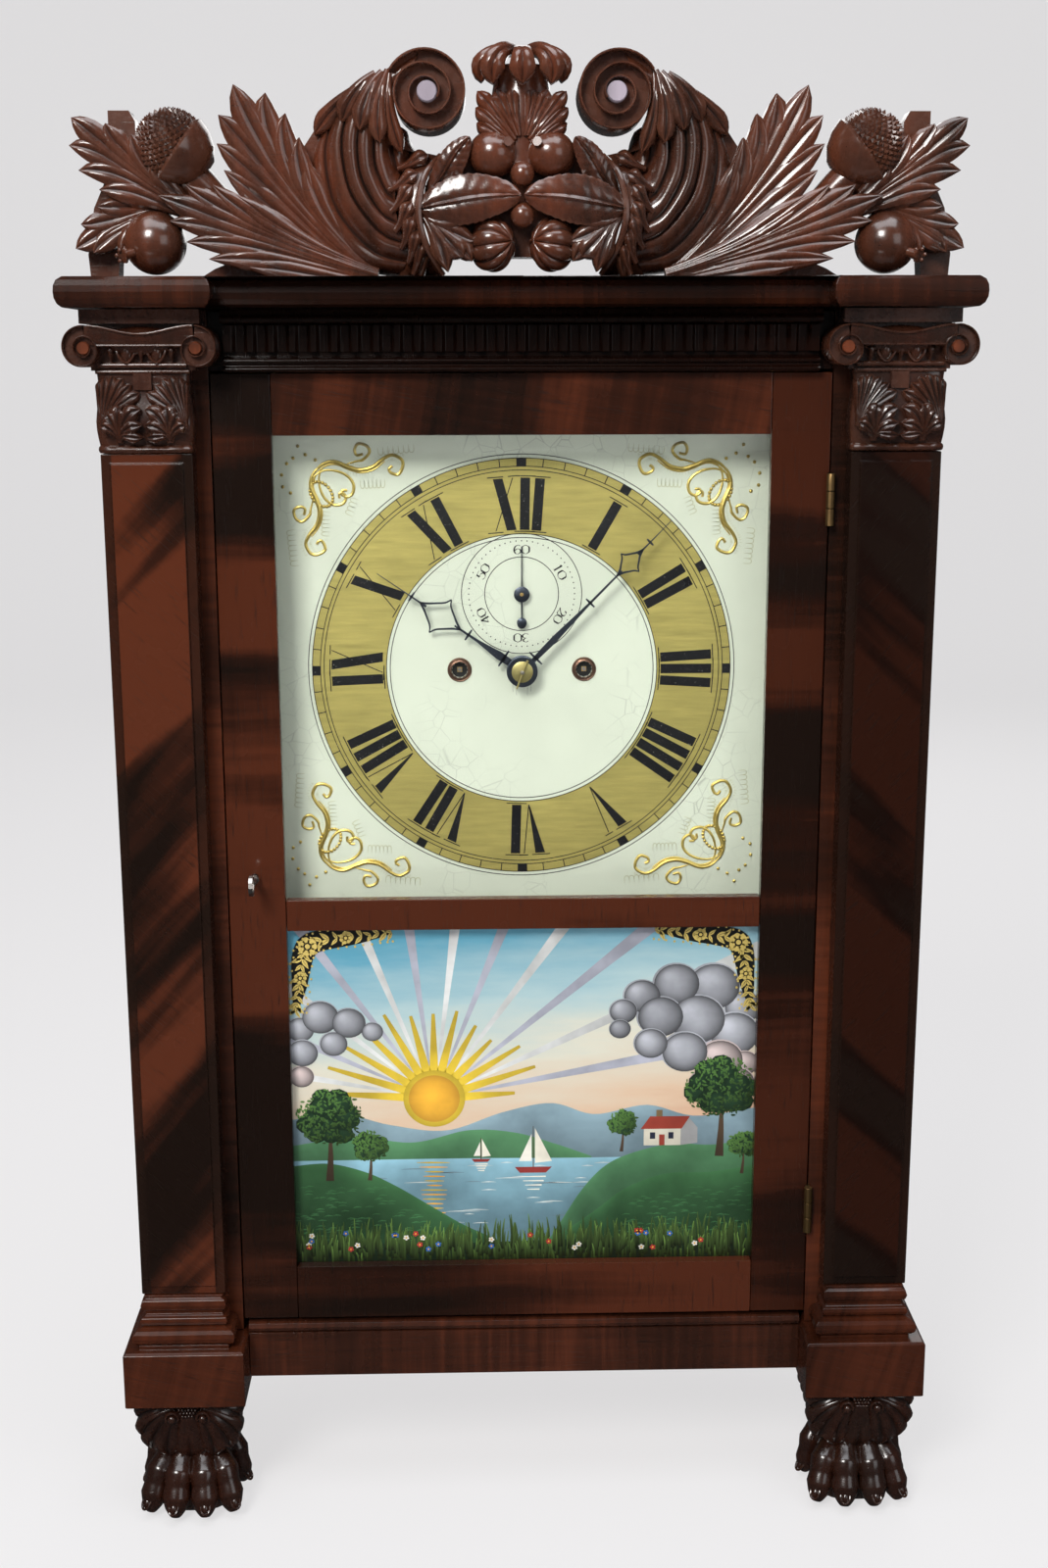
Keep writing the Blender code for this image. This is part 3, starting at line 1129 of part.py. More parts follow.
def make_hands():
    for name, angle, y, length, near, far, half, bars, root, bore in (
        ("hour_hand", HOUR_HAND_ANGLE, HOUR_HAND_Y, HOUR_HAND_LENGTH, HOUR_HAND_LENGTH * 0.465,
         HOUR_HAND_LENGTH * 0.672, 12.0 * MM,
         ((13.9 * MM, 5.8 * MM), (39.6 * MM, 4.0 * MM), (82.9 * MM, 3.0 * MM)), 3.0 * MM,
         PIPE_RADIUS + RUNNING_GAP),
        ("minute_hand", MINUTE_HAND_ANGLE, MINUTE_HAND_Y, MINUTE_HAND_LENGTH, MINUTE_HAND_LENGTH * 0.662,
         MINUTE_HAND_LENGTH * 0.776, 8.0 * MM,
         ((12.0 * MM, 4.6 * MM), (59.8 * MM, 3.8 * MM), (111.2 * MM, 2.7 * MM)), 2.8 * MM,
         CANNON_RADIUS + RUNNING_GAP),
    ):
        shapes = []
        for i, (outline, holes) in enumerate(hand_outline(length, near, far, half, bars, root, 0.6 * MM)):
            trim = 0.05 * MM * i
            shape = plate(outline, y + trim, y + HAND_THICKNESS - trim, "XZ", holes)
            shapes.append(turn_clockwise(shape, angle))
        hub = plate(circle((0.0, DIAL_Z), HUB_RADIUS, 16), y - 0.3 * MM, y + HAND_THICKNESS + 0.2 * MM,
                    "XZ", [circle((0.0, DIAL_Z), bore, 12)])
        hole = rod((0, y - 3 * MM, DIAL_Z), (0, y + 4 * MM, DIAL_Z), bore, 12)
        piece(name, BLUED, [hub, *shapes], [hole], pivot=(0, y, DIAL_Z))
    y = SECONDS_HAND_Y
    centre = (0.0, DIAL_Z + SECONDS_RISE)
    stem = plate([(-0.5 * MM, -SECONDS_HAND_LENGTH * 0.63), (0.5 * MM, -SECONDS_HAND_LENGTH * 0.63),
                  (0.3 * MM, SECONDS_HAND_LENGTH), (-0.3 * MM, SECONDS_HAND_LENGTH)],
                 y, y + HAND_THICKNESS * 0.6)
    disc = plate(circle((0.0, -SECONDS_HAND_LENGTH * 0.63), 2.9 * MM, 12), y - 0.05 * MM,
                 y + HAND_THICKNESS * 0.7)
    hub = rod((0, y - 1.2 * MM, 0), (0, y + 1.5 * MM, 0), 4.6 * MM, 14)
    hole = rod((0, y - 3 * MM, centre[1]), (0, y + 4 * MM, centre[1]), ARBOR_RADIUS + RUNNING_GAP, 10)
    piece("seconds_hand", BLUED, [turn_clockwise(shape, 0.0, centre) for shape in (hub, stem, disc)],
          [hole], pivot=(0, y, centre[1]))


# Movement: places of the arbors in the plane of the dial, from the dial's centre

def meet(first, first_radius, second, second_radius, side):
    """Where two circles cross; side picks the crossing left (+1) or right (-1) of the line."""
    dx, dz = second[0] - first[0], second[1] - first[1]
    span = hypot(dx, dz)
    along = (first_radius ** 2 - second_radius ** 2 + span ** 2) / (2 * span)
    off = sqrt(first_radius ** 2 - along ** 2) * side
    return (first[0] + (dx * along - dz * off) / span, first[1] + (dz * along + dx * off) / span)


def towards(start, distance, angle):
    return (start[0] + distance * cos(radians(angle)), start[1] + distance * sin(radians(angle)))


GREAT_MODULE = WINDING_SPACING / (GREAT_TEETH + PINION_LEAVES)
CENTRE = (0.0, 0.0)
TIME_GREAT = (WINDING_SPACING / 2, 0.0)
STRIKE_GREAT = (-WINDING_SPACING / 2, 0.0)
ESCAPE = (0.0, SECONDS_RISE)
THIRD = meet(CENTRE, CENTRE_MODULE * (CENTRE_TEETH + PINION_LEAVES) / 2,
             ESCAPE, THIRD_MODULE * (THIRD_TEETH + PINION_LEAVES) / 2, -1)
ANCHOR = (0.0, SECONDS_RISE + ANCHOR_RISE)
PIN_WHEEL = towards(STRIKE_GREAT, WINDING_SPACING / 2, 78.2)
WARNING = towards(PIN_WHEEL, PIN_MODULE * (PIN_TEETH + PINION_LEAVES) / 2, 110.4)
FLY = towards(WARNING, WARNING_MODULE * (WARNING_TEETH + PINION_LEAVES) / 2, 43.1)
MINUTE_STUD = towards(CENTRE, MOTION_OFFSET, -45.0)
HAMMER = (HAMMER_X, HAMMER_RISE)
BELL = (BELL_X, -BELL_DROP)

# Planes of the wheels, behind the front plate's inner face
TIME_GREAT_Y = WORKS_Y + 2.0 * MM
CENTRE_WHEEL_Y = WORKS_Y + 7.0 * MM
THIRD_WHEEL_Y = WORKS_Y + 12.0 * MM
ESCAPE_WHEEL_Y = WORKS_Y + 15.6 * MM
PIN_WHEEL_Y = WORKS_Y + 21.0 * MM
WARNING_WHEEL_Y = WORKS_Y + 12.0 * MM
STRIKE_GREAT_Y = REAR_PLATE_Y - 2.0 * MM - WHEEL_THICKNESS
PINION_MARGIN = 1.0 * MM


def on_dial(point):
    return (point[0], point[1] + DIAL_Z)


def gear_outline(centre, teeth, module, phase, leaves=False):
    """Pointed teeth of a wheel (two points each) or the leaves of a pinion (three each)."""
    radius = teeth * module / 2
    pitch = 2 * pi / teeth
    points = []
    for i in range(teeth):
        angle = phase + i * pitch
        if leaves:
            marks = ((-1.25, -0.5), (0.4, -0.12), (0.4, 0.12))
        else:
            marks = ((-1.15, -0.5), (0.85, 0.0))
        for height, share in marks:
            reach = radius + height * module
            turn = angle + share * pitch
            points.append((centre[0] + reach * cos(turn), centre[1] + reach * sin(turn)))
    return points


def spokes(centre, outer, hub, arms=4):
    """Windows between the arms of a wheel, out to its rim."""
    windows = []
    for i in range(arms):
        start = 2 * pi * i / arms + 0.27
        end = 2 * pi * (i + 1) / arms - 0.17
        marks = [(outer, start + (end - start) * k / 2) for k in range(3)]
        marks += [(hub, end - 0.28), (hub, start + 0.28)]
        windows.append([(centre[0] + reach * cos(angle), centre[1] + reach * sin(angle))
                        for reach, angle in marks])
    return windows


def wheel(centre, teeth, module, y, phase=0.0, thickness=WHEEL_THICKNESS, arms=4, hub=4.5 * MM, bore=0.0,
          rim=3.2):
    place = on_dial(centre)
    holes = spokes(place, teeth * module / 2 - rim * module, hub, arms) if arms else []
    if bore:
        holes.append(circle(place, bore, 8, 0.1))
    return plate(gear_outline(place, teeth, module, phase), y, y + thickness, "XZ", holes)


def pinion(centre, teeth, module, low, high, phase, bore=0.0):
    place = on_dial(centre)
    holes = [circle(place, bore, 8, 0.1)] if bore else []
    return plate(gear_outline(place, teeth, module, phase, True), low, high, "XZ", holes)


def arbor(centre, low, high, radius=ARBOR_RADIUS, sides=6):
    x, z = on_dial(centre)
    return rod((x, low, z), (x, high, z), radius, sides)


def collet(centre, low, high, radius=2.6 * MM):
    x, z = on_dial(centre)
    return rod((x, low, z), (x, high, z), radius, 8)


def pivot_at(centre, y):
    x, z = on_dial(centre)
    return (x, y, z)


def follower_phase(centre, teeth, phase, other, other_teeth):
    line = atan2(other[1] - centre[1], other[0] - centre[0])
    turned_by = phase - line
    return line + pi + pi / other_teeth - turned_by * teeth / other_teeth


PLATE_PIVOTS = (CENTRE, TIME_GREAT, STRIKE_GREAT, THIRD, ESCAPE, ANCHOR, PIN_WHEEL, WARNING, FLY, HAMMER)


def pivot_hole(index, centre):
    radius = ARBOR_RADIUS + RUNNING_GAP
    if centre == CENTRE:
        radius = CANNON_RADIUS + RUNNING_GAP
    if centre in (TIME_GREAT, STRIKE_GREAT):
        radius = WINDING_ARBOR_RADIUS + RUNNING_GAP
    return circle(on_dial(centre), radius, 8, 0.07 * (index + 1))


WINDING_ARBOR_RADIUS = 2.2 * MM


def make_plates():
    half = PLATE_WIDTH / 2
    outline = [(-half, DIAL_Z - PLATE_BELOW), (half, DIAL_Z - PLATE_BELOW),
               (half, DIAL_Z + PLATE_ABOVE - 14 * MM), (half - 14 * MM, DIAL_Z + PLATE_ABOVE),
               (-half + 14 * MM, DIAL_Z + PLATE_ABOVE), (-half, DIAL_Z + PLATE_ABOVE - 14 * MM)]
    holes = [pivot_hole(index, centre) for index, centre in enumerate(PLATE_PIVOTS)]
    front = plate(outline, PLATE_Y, PLATE_Y + PLATE_THICKNESS, "XZ", holes)
    stud = arbor(MINUTE_STUD, MOTION_FRONT_Y - 1.2 * MM, PLATE_Y + 0.5 * MM, 1.5 * MM)
    piece("front_plate", BRASS, [front, stud])
    back = plate(outline, REAR_PLATE_Y, REAR_PLATE_Y + PLATE_THICKNESS, "XZ", holes)
    pillars = []
    for x in (-PILLAR_X, PILLAR_X):
        for z in (-PILLAR_BOTTOM, PILLAR_TOP):
            pillars.append(rod((x, WORKS_Y + SEAT, DIAL_Z + z), (x, REAR_PLATE_Y + 0.6 * MM, DIAL_Z + z),
                               PILLAR_RADIUS, 10))
    piece("back_plate", BRASS, [back, *pillars])


MOTION_FRONT_Y = DIAL_BACK_Y + 2.4 * MM
MINUTE_WHEEL_Y = DIAL_BACK_Y + 6.6 * MM
CANNON_LOW_Y = DIAL_BACK_Y + 5.8 * MM
CANNON_HIGH_Y = DIAL_BACK_Y + 9.4 * MM
REAR_PIVOT_Y = REAR_PLATE_Y + PLATE_THICKNESS


def make_time_train():
    great_pinion_phase = follower_phase(TIME_GREAT, GREAT_TEETH, 0.0, CENTRE, PINION_LEAVES)
    great_disc = wheel(TIME_GREAT, GREAT_TEETH, GREAT_MODULE, TIME_GREAT_Y, 0.0, arms=5, hub=9.0 * MM,
                       bore=WINDING_ARBOR_RADIUS + RUNNING_GAP)
    piece("time_great_wheel", BRASS, [great_disc], pivot=pivot_at(TIME_GREAT, TIME_GREAT_Y))
    minute_module = 2 * MOTION_OFFSET / (MOTION_LEAVES + MINUTE_TEETH)
    hour_module = 2 * MOTION_OFFSET / (MOTION_LEAVES + HOUR_TEETH)
    piece("center_wheel", BRASS, [
        wheel(CENTRE, CENTRE_TEETH, CENTRE_MODULE, CENTRE_WHEEL_Y, hub=5.0 * MM),
        arbor(CENTRE, CENTRE_WHEEL_Y, REAR_PIVOT_Y),
        arbor(CENTRE, MINUTE_STEM_Y, CENTRE_WHEEL_Y + 0.8 * MM, CANNON_RADIUS, 10),
        pinion(CENTRE, PINION_LEAVES, GREAT_MODULE, TIME_GREAT_Y - PINION_MARGIN,
               CENTRE_WHEEL_Y + 0.6 * MM, great_pinion_phase),
        pinion(CENTRE, MOTION_LEAVES, minute_module, CANNON_LOW_Y, CANNON_HIGH_Y, 0.0),
    ], pivot=pivot_at(CENTRE, CENTRE_WHEEL_Y))
    piece("third_wheel", BRASS, [
        wheel(THIRD, THIRD_TEETH, THIRD_MODULE, THIRD_WHEEL_Y),
        arbor(THIRD, PLATE_Y, REAR_PIVOT_Y),
        pinion(THIRD, PINION_LEAVES, CENTRE_MODULE, CENTRE_WHEEL_Y - PINION_MARGIN,
               CENTRE_WHEEL_Y + WHEEL_THICKNESS + PINION_MARGIN,
               follower_phase(CENTRE, CENTRE_TEETH, 0.0, THIRD, PINION_LEAVES)),
        collet(THIRD, THIRD_WHEEL_Y - 0.8 * MM, THIRD_WHEEL_Y + 2.4 * MM),
    ], pivot=pivot_at(THIRD, THIRD_WHEEL_Y))
    place = on_dial(ESCAPE)
    saw = []
    for i in range(ESCAPE_TEETH):
        angle = 2 * pi * i / ESCAPE_TEETH
        lean = 2 * pi / ESCAPE_TEETH * 0.35
        for reach, turn in ((ESCAPE_RADIUS - 2.2 * MM, angle), (ESCAPE_RADIUS, angle + lean)):
            saw.append((place[0] + reach * cos(turn), place[1] + reach * sin(turn)))
    piece("escape_wheel", BRASS, [
        plate(saw, ESCAPE_WHEEL_Y, ESCAPE_WHEEL_Y + WHEEL_THICKNESS * 0.8, "XZ",
              spokes(place, ESCAPE_RADIUS - 4.4 * MM, 4.4 * MM)),
        arbor(ESCAPE, SECONDS_HAND_Y - 2.0 * MM, REAR_PIVOT_Y),
        pinion(ESCAPE, PINION_LEAVES, THIRD_MODULE, THIRD_WHEEL_Y - PINION_MARGIN,
               THIRD_WHEEL_Y + WHEEL_THICKNESS + PINION_MARGIN,
               follower_phase(THIRD, THIRD_TEETH, 0.0, ESCAPE, PINION_LEAVES)),
        collet(ESCAPE, ESCAPE_WHEEL_Y - 0.8 * MM, ESCAPE_WHEEL_Y + 2.2 * MM),
    ], pivot=pivot_at(ESCAPE, ESCAPE_WHEEL_Y))
    make_motion_work(minute_module, hour_module)


def make_motion_work(minute_module, hour_module):
    """Cannon pinion to minute wheel, then its pinion to the hour wheel: twelve to one."""
    minute_phase = follower_phase(CENTRE, MOTION_LEAVES, 0.0, MINUTE_STUD, MINUTE_TEETH)
    stud_bore = 1.5 * MM + RUNNING_GAP
    piece("minute_wheel", BRASS, [
        wheel(MINUTE_STUD, MINUTE_TEETH, minute_module, MINUTE_WHEEL_Y, minute_phase, arms=0,
              bore=stud_bore),
        pinion(MINUTE_STUD, MOTION_LEAVES, hour_module, MOTION_FRONT_Y - 0.6 * MM,
               MINUTE_WHEEL_Y + 0.5 * MM, 0.0, stud_bore),
    ], pivot=pivot_at(MINUTE_STUD, MINUTE_WHEEL_Y))
    hour_phase = follower_phase(MINUTE_STUD, MOTION_LEAVES, 0.0, CENTRE, HOUR_TEETH)
    pipe_bore = CANNON_RADIUS + RUNNING_GAP
    place = on_dial(CENTRE)
    pipe = plate(circle(place, PIPE_RADIUS, 14), HOUR_HAND_Y - 1.0 * MM,
                 MOTION_FRONT_Y + WHEEL_THICKNESS + 0.6 * MM, "XZ", [circle(place, pipe_bore, 12)])
    piece("hour_wheel", BRASS, [
        wheel(CENTRE, HOUR_TEETH, hour_module, MOTION_FRONT_Y, hour_phase, arms=0,
              bore=pipe_bore + 0.4 * MM),
        pipe,
    ], pivot=pivot_at(CENTRE, MOTION_FRONT_Y))


def drum_shape(centre, low, high, pivot_rear):
    """A cord drum with two flanges on its winding arbor, which is squared at the dial."""
    x, z = on_dial(centre)
    length = high - low
    flange = 1.2 * MM
    body = turned([
        (0.0, length), (DRUM_FLANGE_RADIUS, length), (DRUM_FLANGE_RADIUS, length - flange),
        (DRUM_RADIUS, length - flange - 1.0 * MM), (DRUM_RADIUS, flange + 1.0 * MM),
        (DRUM_FLANGE_RADIUS, flange), (DRUM_FLANGE_RADIUS, 0.0), (0.0, 0.0),
    ], facing(x, low, z), 12)
    shaft = rod((x, PLATE_Y - 1.0 * MM, z), (x, pivot_rear, z), WINDING_ARBOR_RADIUS, 8)
    square = rod((x, DIAL_Y + 1.0 * MM, z), (x, PLATE_Y + 0.5 * MM, z), WINDING_ARBOR_RADIUS * 0.98, 4,
                 turn=pi / 4)
    return [body, shaft, square]


def make_drums():
    piece("time_drum", BRASS,
          drum_shape(TIME_GREAT, TIME_GREAT_Y + WHEEL_THICKNESS + SEAT, REAR_PLATE_Y - 1.0 * MM, REAR_PIVOT_Y),
          pivot=pivot_at(TIME_GREAT, WEIGHT_Y))
    piece("strike_drum", BRASS,
          drum_shape(STRIKE_GREAT, WORKS_Y + 1.0 * MM, STRIKE_GREAT_Y - SEAT, REAR_PIVOT_Y),
          pivot=pivot_at(STRIKE_GREAT, WEIGHT_Y))


def make_strike_train():
    piece("strike_great_wheel", BRASS, [
        wheel(STRIKE_GREAT, GREAT_TEETH, GREAT_MODULE, STRIKE_GREAT_Y, 0.0, arms=5, hub=9.0 * MM,
              bore=WINDING_ARBOR_RADIUS + RUNNING_GAP),
    ], pivot=pivot_at(STRIKE_GREAT, STRIKE_GREAT_Y))
    place = on_dial(PIN_WHEEL)
    pins = []
    for i in range(PIN_COUNT):
        angle = 2 * pi * i / PIN_COUNT
        pin_circle = PIN_TEETH * PIN_MODULE / 2 - 2.9 * PIN_MODULE
        x = place[0] + pin_circle * cos(angle)
        z = place[1] + pin_circle * sin(angle)
        pins.append(rod((x, PIN_WHEEL_Y - 3.2 * MM, z), (x, PIN_WHEEL_Y + 0.8 * MM, z), 0.8 * MM, 5))
    piece("pin_wheel", BRASS, [
        wheel(PIN_WHEEL, PIN_TEETH, PIN_MODULE, PIN_WHEEL_Y, thickness=1.3 * MM, rim=4.6),
        arbor(PIN_WHEEL, PLATE_Y, REAR_PIVOT_Y),
        pinion(PIN_WHEEL, PINION_LEAVES, GREAT_MODULE, STRIKE_GREAT_Y - PINION_MARGIN,
               STRIKE_GREAT_Y + WHEEL_THICKNESS + PINION_MARGIN,
               follower_phase(STRIKE_GREAT, GREAT_TEETH, 0.0, PIN_WHEEL, PINION_LEAVES)),
        *pins,
    ], pivot=pivot_at(PIN_WHEEL, PIN_WHEEL_Y))
    piece("warning_wheel", BRASS, [
        wheel(WARNING, WARNING_TEETH, WARNING_MODULE, WARNING_WHEEL_Y, thickness=1.3 * MM, hub=3.8 * MM),
        arbor(WARNING, PLATE_Y, REAR_PIVOT_Y),
        pinion(WARNING, PINION_LEAVES, PIN_MODULE, PIN_WHEEL_Y - PINION_MARGIN,
               PIN_WHEEL_Y + 1.3 * MM + PINION_MARGIN,
               follower_phase(PIN_WHEEL, PIN_TEETH, 0.0, WARNING, PINION_LEAVES)),
    ], pivot=pivot_at(WARNING, WARNING_WHEEL_Y))
    x, z = on_dial(FLY)
    vane = box(x - FLY_RADIUS, x + FLY_RADIUS, WORKS_Y + 2.5 * MM, WORKS_Y + 9.5 * MM,
               z - 0.45 * MM, z + 0.45 * MM)
    piece("fly", BRASS, [
        arbor(FLY, PLATE_Y, REAR_PIVOT_Y), vane,
        pinion(FLY, PINION_LEAVES, WARNING_MODULE, WARNING_WHEEL_Y - PINION_MARGIN,
               WARNING_WHEEL_Y + 1.3 * MM + PINION_MARGIN,
               follower_phase(WARNING, WARNING_TEETH, 0.0, FLY, PINION_LEAVES)),
    ], pivot=pivot_at(FLY, WORKS_Y + 6 * MM))


def make_escapement():
    """The anchor spans the escape wheel; its pallets stay clear of the tooth tips."""
    x, z = on_dial(ANCHOR)
    span = radians(52)
    low = ESCAPE_WHEEL_Y - 0.4 * MM
    high = ESCAPE_WHEEL_Y + WHEEL_THICKNESS * 0.8 + 0.4 * MM
    inner = ESCAPE_RADIUS + 1.1 * MM
    outer = ESCAPE_RADIUS + 4.2 * MM
    centre_z = z - ANCHOR_RISE
    outline = []
    for i in range(9):
        angle = pi / 2 - span + 2 * span * i / 8
        outline.append((x + inner * cos(angle), centre_z + inner * sin(angle)))
    for i in range(9):
        angle = pi / 2 + span - 2 * span * i / 8
        outline.append((x + outer * cos(angle), centre_z + outer * sin(angle)))
    arms = plate(outline, low, high)
    hub = collet(ANCHOR, low - 0.6 * MM, high + 0.6 * MM, 2.1 * MM)
    crutch = box(x - 1.0 * MM, x + 1.0 * MM, REAR_PIVOT_Y + 0.8 * MM, REAR_PIVOT_Y + 2.2 * MM,
                 z - 38 * MM, z + 1.0 * MM)
    y = PENDULUM_Y + 1.0 * MM
    loop = rod((x, REAR_PIVOT_Y + 1.5 * MM, z - 36 * MM), (x, y - ROD_RADIUS - SEAT, z - 36 * MM),
               0.9 * MM, 6)
    piece("anchor", STEEL,
          [arms, hub, arbor(ANCHOR, PLATE_Y, REAR_PIVOT_Y + 2.0 * MM), crutch, loop],
          pivot=(x, ESCAPE_WHEEL_Y, z))
    bob_z = z - PENDULUM_LENGTH
    bob = turned([
        (0.0, BOB_THICKNESS), (BOB_RADIUS * 0.55, BOB_THICKNESS * 0.92),
        (BOB_RADIUS * 0.86, BOB_THICKNESS * 0.74),
        (BOB_RADIUS, BOB_THICKNESS * 0.5), (BOB_RADIUS * 0.86, BOB_THICKNESS * 0.26),
        (BOB_RADIUS * 0.55, BOB_THICKNESS * 0.08), (0.0, 0.0),
    ], facing(x, y - BOB_THICKNESS / 2, bob_z), 16)
    stem = rod((x, y, bob_z - BOB_RADIUS - 8 * MM), (x, y, z - 1.0 * MM), ROD_RADIUS, 8)
    nut = rod((x, y, bob_z - BOB_RADIUS - 5 * MM), (x, y, bob_z - BOB_RADIUS - 2 * MM), 3.2 * MM, 10)
    eye = rod((x, y - EYE_HALF, z), (x, y + EYE_HALF, z), 2.8 * MM, 12)
    piece("pendulum", BRASS, [stem, bob, nut, eye], pivot=(x, y, z))


def make_strike_sound():
    x, z = on_dial(BELL)
    dome = []
    wall = 1.4 * MM
    for i in range(5):
        angle = pi / 2 * i / 4
        dome.append((max(BELL_RADIUS * sin(angle), 1.5 * MM + SEAT), BELL_HEIGHT * cos(angle)))
    inside = [(max(radius - wall, 1.5 * MM + SEAT), max(height - wall, 0.0))
              for radius, height in reversed(dome)]
    profile = dome + inside
    place = Matrix.Translation((x, REAR_PLATE_Y - SEAT, z)) @ Matrix.Rotation(pi / 2, 4, "X")
    piece("bell", BELL_METAL, [turned(profile, place, 16)], smooth=True)
    hx, hz = on_dial(HAMMER)
    y = PIN_WHEEL_Y + 1.0 * MM
    head_y = REAR_PLATE_Y - 5.0 * MM
    head_x = x - BELL_RADIUS - 1.3 * MM
    arm_x = head_x - 5.5 * MM
    stem = tube([(hx, y, hz), (hx, y, hz - 20 * MM), (arm_x, y, z + 50 * MM), (arm_x, head_y, z + 22 * MM),
                 (arm_x, head_y, z)], 1.0 * MM, 1)
    head = rod((head_x, head_y, z), (head_x - 11 * MM, head_y, z), 4.5 * MM, 12)
    tail_y = PIN_WHEEL_Y - 2.2 * MM
    tail = rod((hx, tail_y, hz), (hx + 15.0 * MM, tail_y, hz - 9.0 * MM), 0.9 * MM, 6)
    piece("hammer", STEEL, [arbor(HAMMER, PLATE_Y, REAR_PIVOT_Y), stem, head, tail],
          pivot=(hx, y, hz))


# Weights, pulleys and cords

def weight_places(side):
    """x of the inner strand, the weight and the outer strand."""
    return (side * (WEIGHT_X - WEIGHT_PULLEY_RADIUS), side * WEIGHT_X,
            side * (WEIGHT_X + WEIGHT_PULLEY_RADIUS))


WEIGHT_Z = FOOT_HEIGHT + FLOOR_THICKNESS + WEIGHT_FLOOR_GAP
WEIGHT_PULLEY_Z = WEIGHT_Z + WEIGHT_LENGTH + STIRRUP_HEIGHT - WEIGHT_PULLEY_RADIUS
CORD_RADIUS = CORD_DIAMETER / 2
CORD_CLEARANCE = 0.3 * MM


def make_weight(side, label):
    inner, x, outer = weight_places(side)
    body = turned([
        (0.0, WEIGHT_LENGTH), (6.0 * MM, WEIGHT_LENGTH),
        (WEIGHT_RADIUS - 2.0 * MM, WEIGHT_LENGTH - 3.0 * MM),
        (WEIGHT_RADIUS, WEIGHT_LENGTH - 6.0 * MM), (WEIGHT_RADIUS, 3.0 * MM),
        (WEIGHT_RADIUS - 3.0 * MM, 0.0), (0.0, 0.0),
    ], upright(x, WEIGHT_Y, WEIGHT_Z), 14)
    groove = WEIGHT_PULLEY_RADIUS - CORD_RADIUS - CORD_CLEARANCE
    sheave = turned([
        (0.0, 5.0 * MM), (groove + 1.6 * MM, 5.0 * MM), (groove, 3.9 * MM), (groove, 1.1 * MM),
        (groove + 1.6 * MM, 0.0), (0.0, 0.0),
    ], facing(x, WEIGHT_Y - 2.5 * MM, WEIGHT_PULLEY_Z), 12)
    straps = [
        box(x - 2.2 * MM, x + 2.2 * MM, WEIGHT_Y + low * MM, WEIGHT_Y + high * MM,
            WEIGHT_Z + WEIGHT_LENGTH - 4 * MM, WEIGHT_PULLEY_Z + 3 * MM)
        for low, high in ((-3.4, -2.1), (2.1, 3.4))
    ]
    piece(f"{label}_weight", IRON, [body, *straps, sheave])


def make_top_pulley(side, label):
    inner, x, outer = weight_places(side)
    centre = inner - side * TOP_PULLEY_RADIUS
    groove = TOP_PULLEY_RADIUS - CORD_RADIUS - CORD_CLEARANCE
    bore = 2.0 * MM + RUNNING_GAP
    sheave = turned([
        (bore, 5.0 * MM), (groove + 1.6 * MM, 5.0 * MM), (groove, 3.9 * MM), (groove, 1.1 * MM),
        (groove + 1.6 * MM, 0.0), (bore, 0.0),
    ], facing(centre, WEIGHT_Y - 2.5 * MM, TOP_PULLEY_Z), 12)
    piece(f"{label}_pulley", BRASS, [sheave], pivot=(centre, WEIGHT_Y, TOP_PULLEY_Z))


def make_cord(side, label):
    """The two falls, round the weight's pulley."""
    inner, x, outer = weight_places(side)
    points = [(inner, WEIGHT_Y, TOP_PULLEY_Z - SEAT)]
    for i in range(9):
        angle = pi + pi * i / 8
        points.append((x + side * WEIGHT_PULLEY_RADIUS * cos(angle), WEIGHT_Y,
                       WEIGHT_PULLEY_Z + WEIGHT_PULLEY_RADIUS * sin(angle)))
    points.append((outer, WEIGHT_Y, TOP_PULLEY_Z - SEAT))
    piece(f"{label}_cord", CORD, [tube(points, CORD_RADIUS, 1)])


def make_cord_lead(side, label, drum_centre):
    """From the drum's tangent point up to the top pulley and round it to the falls."""
    inner, x, outer = weight_places(side)
    pulley = (inner - side * TOP_PULLEY_RADIUS, TOP_PULLEY_Z)
    drum_x, drum_z = on_dial(drum_centre)
    wrap = DRUM_RADIUS + CORD_RADIUS + CORD_CLEARANCE
    dx = (pulley[0] - drum_x) * side
    dz = pulley[1] - drum_z
    line = atan2(dz, dx) + asin((wrap + TOP_PULLEY_RADIUS) / hypot(dx, dz))
    start = (drum_x + side * wrap * sin(line), drum_z - wrap * cos(line))
    points = [(start[0], WEIGHT_Y, start[1])]
    first = line + pi / 2
    for i in range(7):
        angle = first * (1 - i / 6)
        points.append((pulley[0] + side * TOP_PULLEY_RADIUS * cos(angle), WEIGHT_Y,
                       pulley[1] + TOP_PULLEY_RADIUS * sin(angle)))
    piece(f"{label}_cord_lead", CORD, [tube(points, CORD_RADIUS, 1)])


# Crest, carved in relief and pierced

# The crest is carved at the size of its drawing, 127.5 mm high, with its face in the plane y = 0
# and its foot at z = 0; make_crest then brings it to CREST_HEIGHT and sets it on the cornice.
DRAWN_HEIGHT = 127.5 * MM
BOARD_BACK_Y = 24.0 * MM


def crest_point(x, height, forward=0.0):
    """A point on the drawn crest; height runs from its foot, forward from its face."""
    return Vector((x, -forward, height)) * MM


def crest_leaf(points, widths, lobes, forward=0.0, rise=5.0, depth=14.0, end_forward=0.0):
    count = len(points) - 1
    spine = [crest_point(x, height, forward + (end_forward - forward) * i / count)
             for i, (x, height) in enumerate(points)]
    return leaf(spine, (0, -1, 0), [width * MM for width in widths], depth * MM, rise * MM, lobes)


